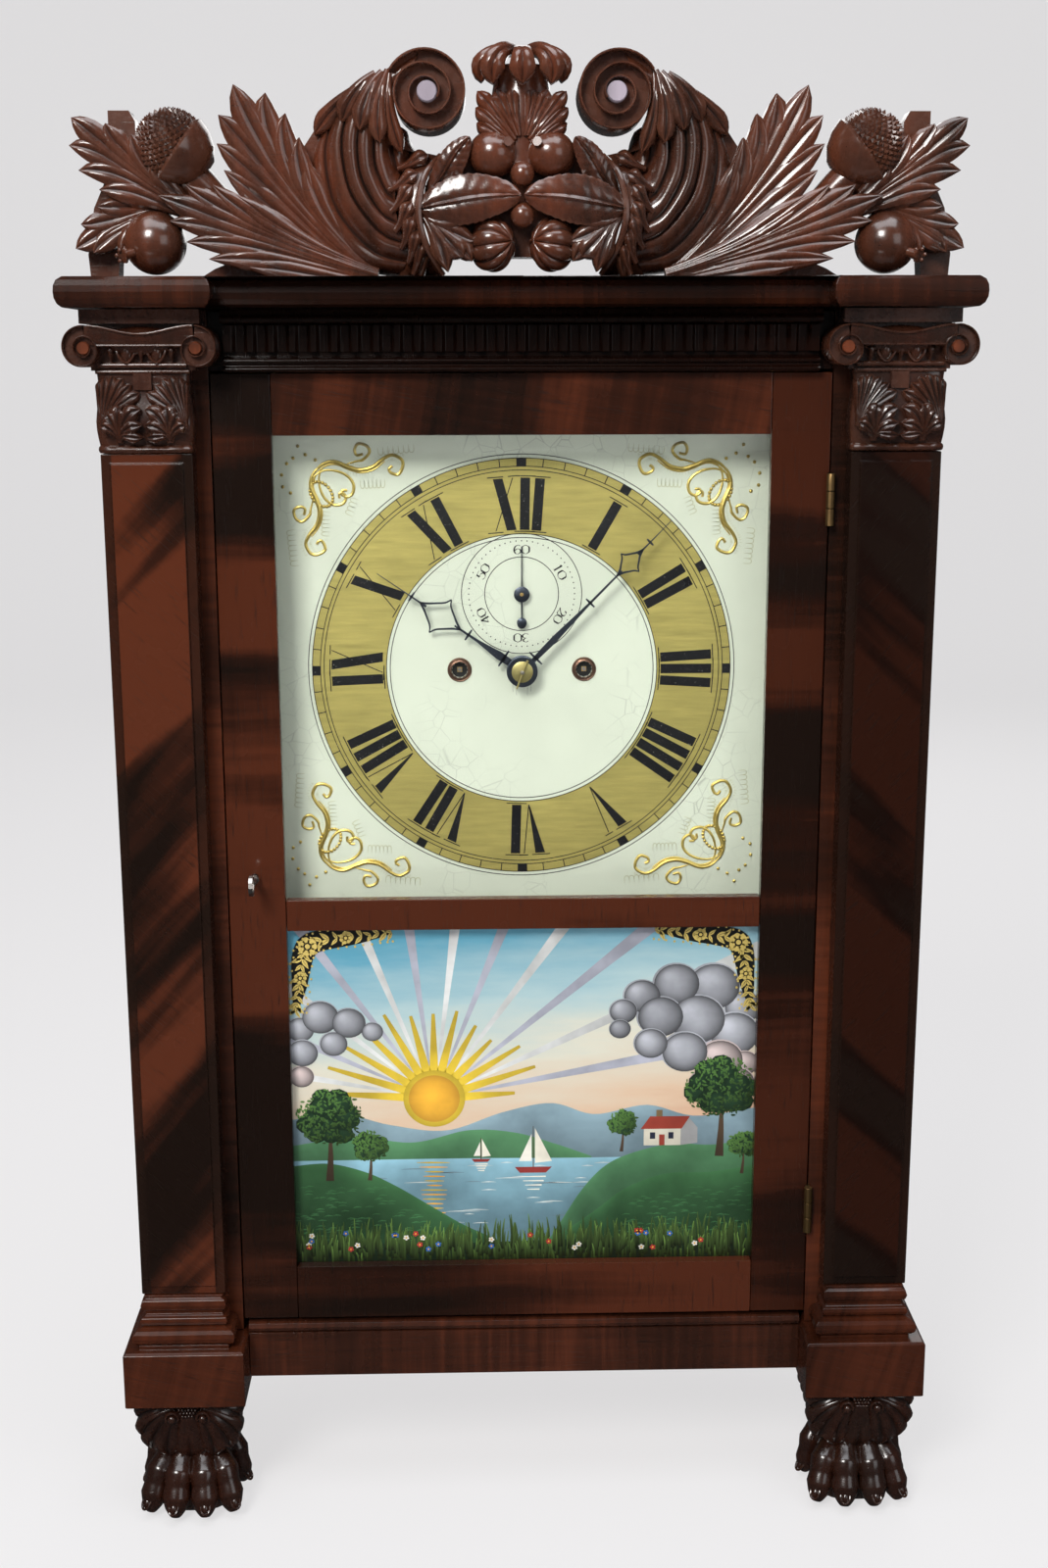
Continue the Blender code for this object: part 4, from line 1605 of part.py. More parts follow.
def ribbed_ball(x, height, radius, forward, ribs=6, rows=4, squash=0.8):
    centre = crest_point(x, height, forward)
    rings = [[centre + Vector((0, 0, radius * MM))]]
    for i in range(1, rows):
        polar_angle = pi * i / rows
        ring = []
        for k in range(ribs * 2):
            around = 2 * pi * k / (ribs * 2)
            reach = radius * MM * sin(polar_angle) * (1.0 if k % 2 else 0.86)
            ring.append(centre + Vector((reach * cos(around), reach * sin(around) * squash,
                                         radius * MM * cos(polar_angle))))
        rings.append(ring)
    rings.append([centre - Vector((0, 0, radius * MM))])
    return loft(rings)


def horn():
    """Horn of plenty: ribbed body that narrows up into the collar and the volute."""
    stations = [
        (-76.0, 6.0, 19.0, 15.0), (-88.0, 14.0, 26.0, 19.0), (-92.5, 30.0, 31.0, 21.0),
        (-96.0, 50.0, 29.0, 20.0), (-95.0, 68.0, 25.0, 18.0), (-88.0, 84.0, 20.5, 16.5),
        (-75.0, 96.0, 17.0, 15.5), (-60.0, 102.0, 14.0, 15.0),
    ]
    rings = []
    count = len(stations)
    for i, (x, height, half, depth) in enumerate(stations):
        before = stations[max(i - 1, 0)]
        after = stations[min(i + 1, count - 1)]
        along = Vector((after[0] - before[0], 0, after[1] - before[1])).normalized()
        across = Vector((along.z, 0, -along.x))
        centre = crest_point(x, height, 3.0)
        ring = []
        for k in range(12):
            angle = 2 * pi * k / 12
            bulge = 1.0 if k % 2 else 0.86
            forward = sin(angle) * depth * bulge
            if forward < 0:
                forward = max(forward, -15.0)
            ring.append(centre + (across * half * cos(angle) * bulge + Vector((0, -forward, 0))) * MM)
        rings.append(ring)
    return loft(rings)


def volute():
    """The horn's rolled end: a drum with a stepped spiral and a boss."""
    place = crest_point(-53.0, 101.5, 0.0)
    turn = Matrix.Translation((place.x, place.y + 14 * MM, place.z)) @ Matrix.Rotation(pi / 2, 4, "X")
    return turned([
        (0.0, 34.8 * MM), (5.5 * MM, 33.0 * MM), (7.5 * MM, 29.4 * MM),
        (10.4 * MM, 31.6 * MM), (14.0 * MM, 28.4 * MM), (17.0 * MM, 30.4 * MM),
        (21.0 * MM, 26.0 * MM), (20.0 * MM, 0.0), (0.0, 0.0),
    ], turn, 16)


def twisted_rim():
    """Rope round the horn's mouth."""
    path = [(-63.0, 72.5), (-70.5, 60.0), (-72.8, 46.0), (-71.0, 30.0), (-64.0, 16.0), (-56.0, 6.0)]
    rings = []
    steps = 11
    places = [crest_point(x, height, 9.0 + 3.0 * sin(pi * i / 5)) for i, (x, height) in enumerate(path)]
    for i in range(steps + 1):
        place, tangent, radius = along_spine(places, [5.4 * MM] * len(places), i / steps)
        across = tangent.cross(Vector((0, -1, 0))).normalized()
        swell = 1.0 if i % 2 else 0.74
        rings.append([
            place + swell * radius * (across * cos(a) + Vector((0, -1.5 * sin(a), 0)))
            for a in (2 * pi * k / 6 + 0.4 * i for k in range(6))
        ])
    return loft(rings)


def mouth_rim():
    """The mouth's inner lip, from the collar down to the cornice."""
    path = [(-50.0, 68.0), (-57.0, 55.0), (-60.0, 38.0), (-56.5, 20.0), (-47.0, 5.0), (-44.0, -2.0)]
    places = [crest_point(x, height, 13.0) for x, height in path]
    return tube(places, 3.6 * MM, 1)


def end_post():
    """The stepped post behind the end leaves, on a wavy base."""
    outline = [
        (-252.0, -1.0), (-252.6, 10.0), (-248.4, 37.0), (-245.1, 46.8), (-245.1, 50.0), (-241.0, 56.0),
        (-241.0, 86.0), (-238.0, 93.8), (-222.5, 93.8), (-219.0, 86.0), (-219.0, 60.0), (-214.0, 40.0),
        (-208.0, 20.0), (-205.0, -1.0),
    ]
    points = [(x * MM, z * MM) for x, z in outline]
    return plate(points, BOARD_BACK_Y - 15.0 * MM, BOARD_BACK_Y - 1.0 * MM)


def backing():
    """The sawn board that the carving stands on, pierced between the sprays."""
    outline = [
        (-258.0, 0.0), (-256.0, 12.0), (-246.0, 22.0), (-226.0, 34.0), (-208.0, 40.0), (-188.0, 38.0),
        (-168.0, 30.0), (-150.0, 36.0), (-142.0, 60.0), (-130.0, 72.0), (-112.0, 78.0), (-96.0, 92.0),
        (-70.0, 104.0), (-48.0, 96.0), (-38.0, 80.0), (-24.0, 92.0), (0.0, 104.0),
    ]
    half = [(x * MM, SEAT + z * MM) for x, z in outline]
    points = half + [(-x, z) for x, z in reversed(half[:-1])]
    return plate(points, BOARD_BACK_Y - 13.0 * MM, BOARD_BACK_Y)


def crest_half():
    """Everything on the left half of the crest."""
    shapes = [horn(), volute(), twisted_rim(), mouth_rim(), end_post()]
    shapes.append(crest_leaf(
        [(-92, 3), (-112.7, 17.9), (-131, 36), (-147, 61.1), (-157.4, 84.1), (-166, 108)],
        [11, 17, 21, 20, 14, 2], 5, 2.0, 6.0, 15.0, 6.0))
    shapes.append(crest_leaf(
        [(-94, 2.4), (-118.6, 8.8), (-146.5, 18.8), (-174.1, 30.6), (-192.5, 38.7), (-209, 46)],
        [9, 12, 15, 15, 12, 2], 5, 3.0, 6.0, 14.4, 3.0))
    shapes.append(crest_leaf(
        [(-196, 40), (-214.1, 54), (-228.4, 66.4), (-242.6, 78.8), (-256, 88.5)],
        [7, 12, 13, 11, 2], 4, 4.0, 5.0, 13.6, 8.0))
    shapes.append(crest_leaf(
        [(-203, 40), (-222.4, 36.1), (-239.6, 28), (-258, 15.5)],
        [6, 9, 9, 2], 3, 5.0, 4.0, 13.0, 6.0))
    shapes.append(crest_leaf(
        [(-178, 40), (-190, 50), (-199, 58)], [7, 11, 7], 1, 0.0, 5.0, 13.2, 0.0))
    shapes.append(ribbed_ball(-201.2, 72.0, 17.5, 0.0))
    shapes.append(ribbed_ball(-212.9, 18.9, 16.5, 5.0))
    shapes.append(crest_leaf(
        [(-108, 70), (-100, 82), (-92, 92), (-82, 100)], [13, 13, 10, 3], 2, 15.0, 4.0, 16.0, 14.0))
    shapes.append(crest_leaf(
        [(-82, 82), (-92, 74), (-100, 63), (-104, 52)], [12, 12, 9, 2], 2, 17.0, 4.0, 14.0, 17.0))
    shapes.append(crest_leaf(
        [(-18, 44), (-30, 46), (-44, 44), (-58, 38)], [6, 11, 9, 2], 3, 8.0, 4.0, 13.8, 10.0))
    shapes.append(crest_leaf(
        [(-22, 20), (-34, 24), (-45, 22), (-56, 34)], [6, 9, 8, 2], 2, 6.0, 4.0, 13.5, 9.0))
    shapes.append(ball(crest_point(-16.0, 68.7, 8.0), 12.8 * MM, segments=8, rings=6))
    shapes.append(ribbed_ball(-17.4, 18.6, 12.8, 8.0, squash=0.95))
    return shapes


def crest_middle():
    """The drooping leaf cap over the centre fruit, its sheath and the berries."""
    shapes = []
    for angle, reach in ((-62, 25.0), (-32, 23.0), (0, 21.5), (32, 23.0), (62, 25.0)):
        lean = sin(radians(angle))
        spine = [(lean * 4, 118), (lean * reach * 0.55, 120), (lean * reach * 0.95, 113),
                 (lean * reach * 1.08, 106.2)]
        shapes.append(crest_leaf(spine, [5, 8, 7.5, 2], 1, 4.0 + 6.0 * cos(radians(angle)), 3.0,
                                 12.0 + 0.2 * lean, 12.0 * cos(radians(angle))))
    shapes.append(ball(crest_point(0.0, 117.0, 2.0), 9.5 * MM, (1.6, 1.2, 1.0), 8, 6))
    shapes.append(rod(crest_point(0, 60, 3), crest_point(0, 116, 3), 11.0 * MM, 8, 9.0 * MM))
    for angle in (-60, -20, 20, 60):
        lean = sin(radians(angle))
        spine = [(lean * 10, 68), (lean * 20, 80), (lean * 27, 92), (lean * 26, 103)]
        shapes.append(crest_leaf(spine, [7, 9, 8, 2], 1, 2.0 + 7.0 * cos(radians(angle)), 4.0,
                                 12.5 + 0.2 * lean, 4.0 + 8.0 * cos(radians(angle))))
    shapes.append(ball(crest_point(0.0, 55.8, 7.0), 6.2 * MM, segments=8, rings=5))
    shapes.append(ball(crest_point(0.0, 34.4, 7.0), 6.2 * MM, segments=8, rings=5))
    shapes.append(box(-26 * MM, 26 * MM, -4 * MM, BOARD_BACK_Y - 2 * MM,
                      1 * MM, 66 * MM))
    return shapes


def make_crest():
    left = crest_half()
    right = [mirrored(shape) for shape in left]
    reach = 285 * MM
    front = -60 * MM
    rear = BOARD_BACK_Y + 60 * MM
    below = box(-reach, reach, front, rear, -30 * MM, SEAT)
    above = box(-reach, reach, front, rear, DRAWN_HEIGHT, DRAWN_HEIGHT + 30 * MM)
    behind = box(-reach - 20 * MM, reach + 20 * MM, BOARD_BACK_Y + 0.4 * MM, rear + 20 * MM,
                 -40 * MM, DRAWN_HEIGHT + 40 * MM)
    crest = piece("crest", MAHOGANY, [backing(), *left, *right, *crest_middle()], [below, above, behind],
                  smooth=True, flat_angle=CARVED_FLAT_ANGLE)
    place = Matrix.Translation((0, FRONT_Y - 2.0 * MM, CREST_Z))
    crest.data.transform(place @ Matrix.Scale(CREST_HEIGHT / DRAWN_HEIGHT, 4))


make_side_boards()
both_sides("pilaster", MAHOGANY, pilaster)
both_sides("plinth", MAHOGANY, plinth)
both_sides("capital", MAHOGANY, capital, CARVED_FLAT_ANGLE)
both_sides("paw_foot", MAHOGANY, paw_foot, CARVED_FLAT_ANGLE)
make_back_board()
make_case_floor()
make_bottom_rail()
make_frieze()
make_cornice()
make_crest()
make_door()
make_hinges()
make_lock()
make_dial()
make_hands()
make_plates()
make_time_train()
make_drums()
make_strike_train()
make_escapement()
make_strike_sound()
for weight_side, train, drum_centre in ((1, "time", TIME_GREAT), (-1, "strike", STRIKE_GREAT)):
    make_weight(weight_side, train)
    make_top_pulley(weight_side, train)
    make_cord(weight_side, train)
    make_cord_lead(weight_side, train, drum_centre)
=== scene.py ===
"""Looks of a carved mahogany shelf clock, built around its packed construction model."""

import json
from math import atan2, cos, exp, pi, radians, sin, sqrt, tau

import bmesh
import bpy
from bpy.props import FloatProperty, FloatVectorProperty, PointerProperty
from mathutils import Matrix, Vector

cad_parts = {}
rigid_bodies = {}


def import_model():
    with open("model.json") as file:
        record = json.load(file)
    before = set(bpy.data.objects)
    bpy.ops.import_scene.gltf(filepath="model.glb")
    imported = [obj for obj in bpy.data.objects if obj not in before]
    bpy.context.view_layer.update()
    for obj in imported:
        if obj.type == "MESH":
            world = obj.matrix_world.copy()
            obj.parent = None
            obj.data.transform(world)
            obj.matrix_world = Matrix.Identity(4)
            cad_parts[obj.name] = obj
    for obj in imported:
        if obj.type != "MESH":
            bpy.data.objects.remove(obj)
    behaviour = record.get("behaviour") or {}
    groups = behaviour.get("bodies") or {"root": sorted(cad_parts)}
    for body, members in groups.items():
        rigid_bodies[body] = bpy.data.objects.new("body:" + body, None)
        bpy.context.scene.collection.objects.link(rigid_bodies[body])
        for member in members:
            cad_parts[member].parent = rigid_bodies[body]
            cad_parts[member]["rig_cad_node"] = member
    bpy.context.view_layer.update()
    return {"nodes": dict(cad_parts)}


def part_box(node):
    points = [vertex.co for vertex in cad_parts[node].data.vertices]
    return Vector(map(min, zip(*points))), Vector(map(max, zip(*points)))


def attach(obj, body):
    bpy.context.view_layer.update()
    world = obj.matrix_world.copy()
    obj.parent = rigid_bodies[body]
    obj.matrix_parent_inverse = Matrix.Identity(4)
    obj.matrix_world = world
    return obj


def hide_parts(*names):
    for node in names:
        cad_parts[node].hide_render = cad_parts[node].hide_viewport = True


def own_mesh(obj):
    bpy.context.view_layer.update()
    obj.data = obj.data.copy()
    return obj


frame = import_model()

bl_info = {
    "name": "Carved Shelf Clock",
    "version": (1, 0, 0),
    "blender": (4, 5, 0),
    "location": "View3D > Sidebar > Clock",
    "description": "Finishes, carving, painted dial and fittings of a carved shelf clock",
    "category": "Object",
}

MM = 0.001
QUARTER = radians(90)
GLASS_TO_GROUND = 25.3 * MM
NODES = frame["nodes"]

# Places read from the construction model


def low(node):
    """The lower corner of a node's box, in metres."""
    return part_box(node)[0]


def high(node):
    """The upper corner of a node's box, in metres."""
    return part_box(node)[1]


DOOR_FRONT = low("door_left_stile").y
SHELF_TOP = high("cornice").z
GROUND_Y = low("dial_glass").y + GLASS_TO_GROUND
DIAL_CENTRE = Vector((0, 0, (low("center_wheel").z + high("center_wheel").z) / 2))
SECONDS_CENTRE = Vector((0, 0, (low("escape_wheel").z + high("escape_wheel").z) / 2))
COLUMN_X = (low("right_pilaster").x + high("right_pilaster").x) / 2


class ClockFinishes(bpy.types.PropertyGroup):
    """Colours of the finishes, in linear RGB."""

    polish_dark: FloatVectorProperty(
        name="Mahogany, dark", description="Darkest stripe of the polished mahogany",
        subtype="COLOR", default=(0.0090, 0.0042, 0.0026), min=0, max=1)
    polish_mid: FloatVectorProperty(
        name="Mahogany, middle", description="Middle tone of the polished mahogany",
        subtype="COLOR", default=(0.040, 0.0115, 0.0056), min=0, max=1)
    polish_light: FloatVectorProperty(
        name="Mahogany, light", description="Flame of the polished mahogany",
        subtype="COLOR", default=(0.118, 0.0285, 0.0115), min=0, max=1)
    dial_ground: FloatVectorProperty(
        name="Dial ground", description="Pale paint of the dial board",
        subtype="COLOR", default=(0.735, 0.790, 0.640), min=0, max=1)
    dial_gold: FloatVectorProperty(
        name="Dial gold", description="Gold leaf of the hour ring",
        subtype="COLOR", default=(0.53, 0.45, 0.135), min=0, max=1)
    backdrop: FloatVectorProperty(
        name="Backdrop", description="Paper behind the clock",
        subtype="COLOR", default=(0.80, 0.81, 0.85), min=0, max=1)
    floor: FloatVectorProperty(
        name="Floor", description="Surface that the clock stands on",
        subtype="COLOR", default=(0.76, 0.75, 0.755), min=0, max=1)


class ClockSizes(bpy.types.PropertyGroup):
    """The camera's place, the wear of the edges and the hour ring: sizes that a user may change."""

    camera_distance: FloatProperty(
        name="Camera distance", description="Camera to the door's front",
        default=1.1482, min=0.3, subtype="DISTANCE", unit="LENGTH")
    camera_height: FloatProperty(
        name="Camera height", description="Camera above the floor",
        default=0.7404, min=0.1, subtype="DISTANCE", unit="LENGTH")
    arris: FloatProperty(
        name="Arris", description="Worn rounding of the case's edges",
        default=0.6 * MM, min=0, max=3 * MM, subtype="DISTANCE", unit="LENGTH")
    ring_outer: FloatProperty(
        name="Hour ring, outer radius", description="Outer edge of the gold ring",
        default=131.25 * MM, min=0.05, subtype="DISTANCE", unit="LENGTH")
    ring_inner: FloatProperty(
        name="Hour ring, inner radius", description="Inner edge of the gold ring",
        default=84.9 * MM, min=0.02, subtype="DISTANCE", unit="LENGTH")


def finishes():
    return bpy.context.scene.clock_finishes


def sizes():
    return bpy.context.scene.clock_sizes


# Mesh building

MERGE_DISTANCE = 0.002 * MM


def link_new(name, data):
    """A new object in the scene that shows the data."""
    made = bpy.data.objects.new(name, data)
    bpy.context.scene.collection.objects.link(made)
    return made


class Carver:
    """Collects closed shells, given in millimetres from an origin, and makes one object of them."""

    def __init__(self, origin=(0, 0, 0)):
        self.origin = Vector(origin)
        self.points = []
        self.faces = []
        self.marks = []
        self.tints = []

    def add(self, points, faces, mark=0, tints=None):
        start = len(self.points)
        self.tints.extend(tints or [0.5] * len(points))
        self.points.extend(Vector(p) * MM + self.origin for p in points)
        self.faces.extend(tuple(start + i for i in face) for face in faces)
        self.marks.extend([mark] * len(faces))

    def loft(self, rings, mark=0, closed=False, tints=None):
        """Skin rings of equal count; both ends get a fan unless the rings close on themselves.

        Tints, one for each ring, shade a painted shape from dark (0) to light (1)."""
        size = len(rings[0])
        points = [p for ring in rings for p in ring]
        shades = [tint for tint in tints for _ in range(size)] if tints else None
        faces = []
        count = len(rings)
        for i in range(count if closed else count - 1):
            here = i * size
            there = ((i + 1) % count) * size
            for k in range(size):
                n = (k + 1) % size
                faces.append((here + k, here + n, there + n, there + k))
        if not closed:
            for index, ring, turn in ((0, rings[0], 1), (count - 1, rings[-1], -1)):
                centre = sum((Vector(p) for p in ring), Vector()) / size
                points.append(centre)
                if shades:
                    shades.append(tints[index])
                hub = len(points) - 1
                base = index * size
                for k in range(size):
                    n = (k + 1) % size
                    face = (base + n, base + k, hub)
                    faces.append(face if turn > 0 else face[::-1])
        self.add(points, faces, mark, shades)

    def patch(self, rows, thickness, mark=0, tints=None):
        """A relief surface of rows of points, closed by a back that lies flat behind it."""
        count = len(rows)
        size = len(rows[0])
        front = [Vector(p) for row in rows for p in row]
        back = [Vector((p.x, thickness(p), p.z)) for p in front]
        points = front + back
        shift = len(front)
        faces = []
        for i in range(count - 1):
            for k in range(size - 1):
                a = i * size + k
                b = a + 1
                c = a + size + 1
                d = a + size
                faces.append((a, b, c, d))
                faces.append((shift + d, shift + c, shift + b, shift + a))
        rim = list(range(size))
        rim += [i * size + size - 1 for i in range(1, count)]
        rim += [(count - 1) * size + k for k in range(size - 2, -1, -1)]
        rim += [i * size for i in range(count - 2, 0, -1)]
        for a, b in zip(rim, rim[1:] + rim[:1]):
            faces.append((b, a, shift + a, shift + b))
        shades = [tint for tint in tints for _ in range(size)] * 2 if tints else None
        self.add(points, faces, mark, shades)

    def mirror(self):
        """Add the other half, mirrored in the YZ plane."""
        start = len(self.points)
        self.points += [Vector((-p.x, p.y, p.z)) for p in self.points]
        self.faces += [tuple(start + i for i in reversed(face)) for face in self.faces]
        self.marks += self.marks
        self.tints += self.tints

    def make(self, name, materials, smooth_angle=40.0):
        mesh = bpy.data.meshes.new(name)
        mesh.from_pydata([tuple(p) for p in self.points], [], self.faces)
        mesh.validate()
        for material in materials:
            mesh.materials.append(material)
        if len(mesh.vertices) == len(self.tints) and set(self.tints) != {0.5}:
            mesh.attributes.new("tint", "FLOAT", "POINT").data.foreach_set("value", self.tints)
        if len(mesh.polygons) == len(self.marks):
            mesh.polygons.foreach_set("material_index", self.marks)
        made = link_new(name, mesh)
        outward(made)
        smooth(made, smooth_angle)
        return made


def outward(made):
    """Weld points that meet and turn every shell's faces outwards."""
    work = bmesh.new()
    work.from_mesh(made.data)
    bmesh.ops.remove_doubles(work, verts=work.verts, dist=MERGE_DISTANCE)
    bmesh.ops.recalc_face_normals(work, faces=work.faces)
    work.to_mesh(made.data)
    work.free()


def smooth(made, angle=40.0):
    """Shade a mesh smooth, but keep the edges that turn by more than the angle."""
    made.data.shade_smooth()
    made.data.set_sharp_from_angle(angle=radians(angle))


def dress(made, body, slot, *replaced):
    """Hand a finished piece to its body, in place of the nodes it stands for; the slot is not used."""
    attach(made, body)
    if replaced:
        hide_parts(*replaced)
    return made


def bezier(points, t):
    """Point and direction on a Bezier curve of any degree."""
    level = [Vector(p) for p in points]
    while len(level) > 2:
        level = [a.lerp(b, t) for a, b in zip(level, level[1:])]
    return level[0].lerp(level[1], t), (level[1] - level[0]).normalized()


def smooth_path(points, t):
    """Point and direction on a curve that passes through all the points."""
    last = len(points) - 1
    at = min(max(t, 0.0), 0.99999) * last
    i = int(at)
    f = at - i
    p0 = Vector(points[max(i - 1, 0)])
    p1 = Vector(points[i])
    p2 = Vector(points[i + 1])
    p3 = Vector(points[min(i + 2, last)])
    place = 0.5 * (2 * p1 + (p2 - p0) * f + (2 * p0 - 5 * p1 + 4 * p2 - p3) * f * f
                   + (3 * p1 - p0 - 3 * p2 + p3) * f ** 3)
    tangent = 0.5 * ((p2 - p0) + 2 * (2 * p0 - 5 * p1 + 4 * p2 - p3) * f
                     + 3 * (3 * p1 - p0 - 3 * p2 + p3) * f * f)
    return place, tangent.normalized()


def between(values, t):
    """Value of a list of equally spaced values at t, 0 to 1."""
    at = min(max(t, 0.0), 0.99999) * (len(values) - 1)
    i = int(at)
    return values[i] * (1 - at + i) + values[i + 1] * (at - i)


def ring_round(centre, side, up, half_side, half_up, count):
    """A closed ring of points about a centre in the plane of two directions."""
    ring = []
    for k in range(count):
        angle = tau * k / count
        ring.append(centre + side * half_side * cos(angle) + up * half_up * sin(angle))
    return ring


# Shader building

def new_group(name, inputs, outputs):
    """A shader node group with named sockets; returns the tree and its two end nodes."""
    tree = bpy.data.node_groups.new(name, "ShaderNodeTree")
    for label, kind, default in inputs:
        socket = tree.interface.new_socket(label, in_out="INPUT", socket_type=kind)
        if default is not None:
            socket.default_value = default
    for label, kind in outputs:
        tree.interface.new_socket(label, in_out="OUTPUT", socket_type=kind)
    return tree, tree.nodes.new("NodeGroupInput"), tree.nodes.new("NodeGroupOutput")


def node(tree, kind, links=None, **values):
    """Add a node, set its properties or input defaults, and link its inputs."""
    made = tree.nodes.new(kind)
    for key, value in values.items():
        if hasattr(made, key):
            setattr(made, key, value)
        else:
            made.inputs[key.replace("_", " ")].default_value = value
    for label, source in (links or {}).items():
        tree.links.new(source, made.inputs[label])
    return made


def ramp(tree, source, stops, interpolation="LINEAR"):
    """A colour ramp through stops of position and colour."""
    made = tree.nodes.new("ShaderNodeValToRGB")
    made.color_ramp.interpolation = interpolation
    elements = made.color_ramp.elements
    while len(elements) < len(stops):
        elements.new(0.5)
    for element, (position, colour) in zip(elements, stops):
        element.position = position
        element.color = (*colour, 1.0) if len(colour) == 3 else colour
    tree.links.new(source, made.inputs[0])
    return made.outputs[0]


def grey(value):
    return (value, value, value)


def mix(tree, factor, first, second, blend="MIX"):
    """Mix two colours; each input is a socket or a colour."""
    made = tree.nodes.new("ShaderNodeMix")
    made.data_type = "RGBA"
    made.blend_type = blend
    for socket, value in ((made.inputs[0], factor), (made.inputs[6], first), (made.inputs[7], second)):
        if hasattr(value, "is_linked"):
            tree.links.new(value, socket)
        elif isinstance(value, (int, float)):
            socket.default_value = value
        else:
            socket.default_value = (*value, 1.0) if len(value) == 3 else value
    return made.outputs[2]


def sums(tree, operation, first, second=None, third=None, clamp=False):
    """A math node; each operand is a socket or a number."""
    made = tree.nodes.new("ShaderNodeMath")
    made.operation = operation
    made.use_clamp = clamp
    for socket, value in zip(made.inputs, (first, second, third)):
        if value is None:
            continue
        if hasattr(value, "is_linked"):
            tree.links.new(value, socket)
        else:
            socket.default_value = value
    return made.outputs[0]


def scaled(tree, source, factor, offset):
    """The source times a factor, plus an offset."""
    return sums(tree, "ADD", sums(tree, "MULTIPLY", source, factor), offset)


def object_place(tree):
    """Places on the object, in metres."""
    return node(tree, "ShaderNodeTexCoord").outputs["Object"]


def stretched(tree, source, scale, rotation=(0, 0, 0), location=(0, 0, 0)):
    """A vector scaled, turned and moved."""
    made = tree.nodes.new("ShaderNodeMapping")
    made.inputs["Scale"].default_value = scale
    made.inputs["Rotation"].default_value = rotation
    made.inputs["Location"].default_value = location
    tree.links.new(source, made.inputs["Vector"])
    return made.outputs[0]


def noise_at(tree, vector, scale, detail=4.0, roughness=0.55, distortion=0.0):
    """Noise over a vector, as a value of about a half."""
    made = tree.nodes.new("ShaderNodeTexNoise")
    made.inputs["Scale"].default_value = scale
    made.inputs["Detail"].default_value = detail
    made.inputs["Roughness"].default_value = roughness
    made.inputs["Distortion"].default_value = distortion
    tree.links.new(vector, made.inputs["Vector"])
    return made.outputs[0]


# The mahogany figure's noise scales, to the metre, and how far its slow warp bends the grain
WARP_SCALE = 5.0
WARP_REACH = 0.014
FINE_BAND_SCALE = 190.0
STREAK_SCALE = 260.0
PORE_SCALE = 900.0
DULL_SCALE = 30.0


def figure_group():
    """Polished mahogany: long grain, short pores and broad flame bands across the grain."""
    tree, enter, leave = new_group(
        "mahogany_figure",
        [("Vector", "NodeSocketVector", None), ("Dark", "NodeSocketColor", None),
         ("Middle", "NodeSocketColor", None), ("Light", "NodeSocketColor", None),
         ("Flame", "NodeSocketFloat", 1.0), ("Flame Scale", "NodeSocketFloat", 14.0)],
        [("Color", "NodeSocketColor"), ("Roughness", "NodeSocketFloat"), ("Height", "NodeSocketFloat")])
    vector = enter.outputs["Vector"]
    warp = node(tree, "ShaderNodeTexNoise", {"Vector": vector}, Scale=WARP_SCALE, Detail=3.0)
    bent = node(tree, "ShaderNodeVectorMath", {0: warp.outputs["Color"]}, operation="SCALE")
    bent.inputs["Scale"].default_value = WARP_REACH
    moved = node(tree, "ShaderNodeVectorMath", {0: vector, 1: bent.outputs[0]}, operation="ADD").outputs[0]
    bands = node(tree, "ShaderNodeTexNoise", {
        "Vector": stretched(tree, moved, (0.15, 0.30, 1.0)), "Scale": enter.outputs["Flame Scale"]},
        Detail=2.5, Roughness=0.45)
    fine_bands = noise_at(tree, stretched(tree, moved, (0.045, 0.22, 1.0)), FINE_BAND_SCALE, 4.0, 0.6)
    streaks = noise_at(tree, stretched(tree, moved, (1.0, 1.0, 0.035)), STREAK_SCALE, 4.0, 0.6)
    pores = noise_at(tree, stretched(tree, vector, (1.0, 1.0, 0.06)), PORE_SCALE, 2.0, 0.6)
    flame = ramp(tree, bands.outputs[0], [(0.38, grey(0)), (0.47, grey(0.5)), (0.58, grey(1))])
    lift = sums(tree, "MULTIPLY", sums(tree, "SUBTRACT", flame, 0.5), enter.outputs["Flame"])
    ripple = sums(tree, "MULTIPLY", sums(tree, "SUBTRACT", fine_bands, 0.5), 0.8)
    grain = sums(tree, "MULTIPLY", sums(tree, "SUBTRACT", streaks, 0.5), 0.35)
    tone = sums(tree, "ADD", sums(tree, "ADD", sums(tree, "ADD", lift, 0.46), ripple), grain, clamp=True)
    under = mix(tree, ramp(tree, tone, [(0.0, grey(0)), (0.5, grey(1))]),
                enter.outputs["Dark"], enter.outputs["Middle"])
    colour = mix(tree, ramp(tree, tone, [(0.5, grey(0)), (1.0, grey(1))]), under, enter.outputs["Light"])
    pore_mask = ramp(tree, pores, [(0.30, grey(1)), (0.38, grey(0))])
    colour = mix(tree, sums(tree, "MULTIPLY", pore_mask, 0.55), colour, enter.outputs["Dark"])
    tree.links.new(colour, leave.inputs["Color"])
    dull = noise_at(tree, vector, DULL_SCALE, 3.0)
    rough = sums(tree, "ADD", scaled(tree, dull, 0.12, 0.20), sums(tree, "MULTIPLY", pore_mask, 0.12))
    tree.links.new(rough, leave.inputs["Roughness"])
    height = sums(tree, "SUBTRACT", sums(tree, "MULTIPLY", streaks, 0.25), pore_mask)
    tree.links.new(height, leave.inputs["Height"])
    return tree


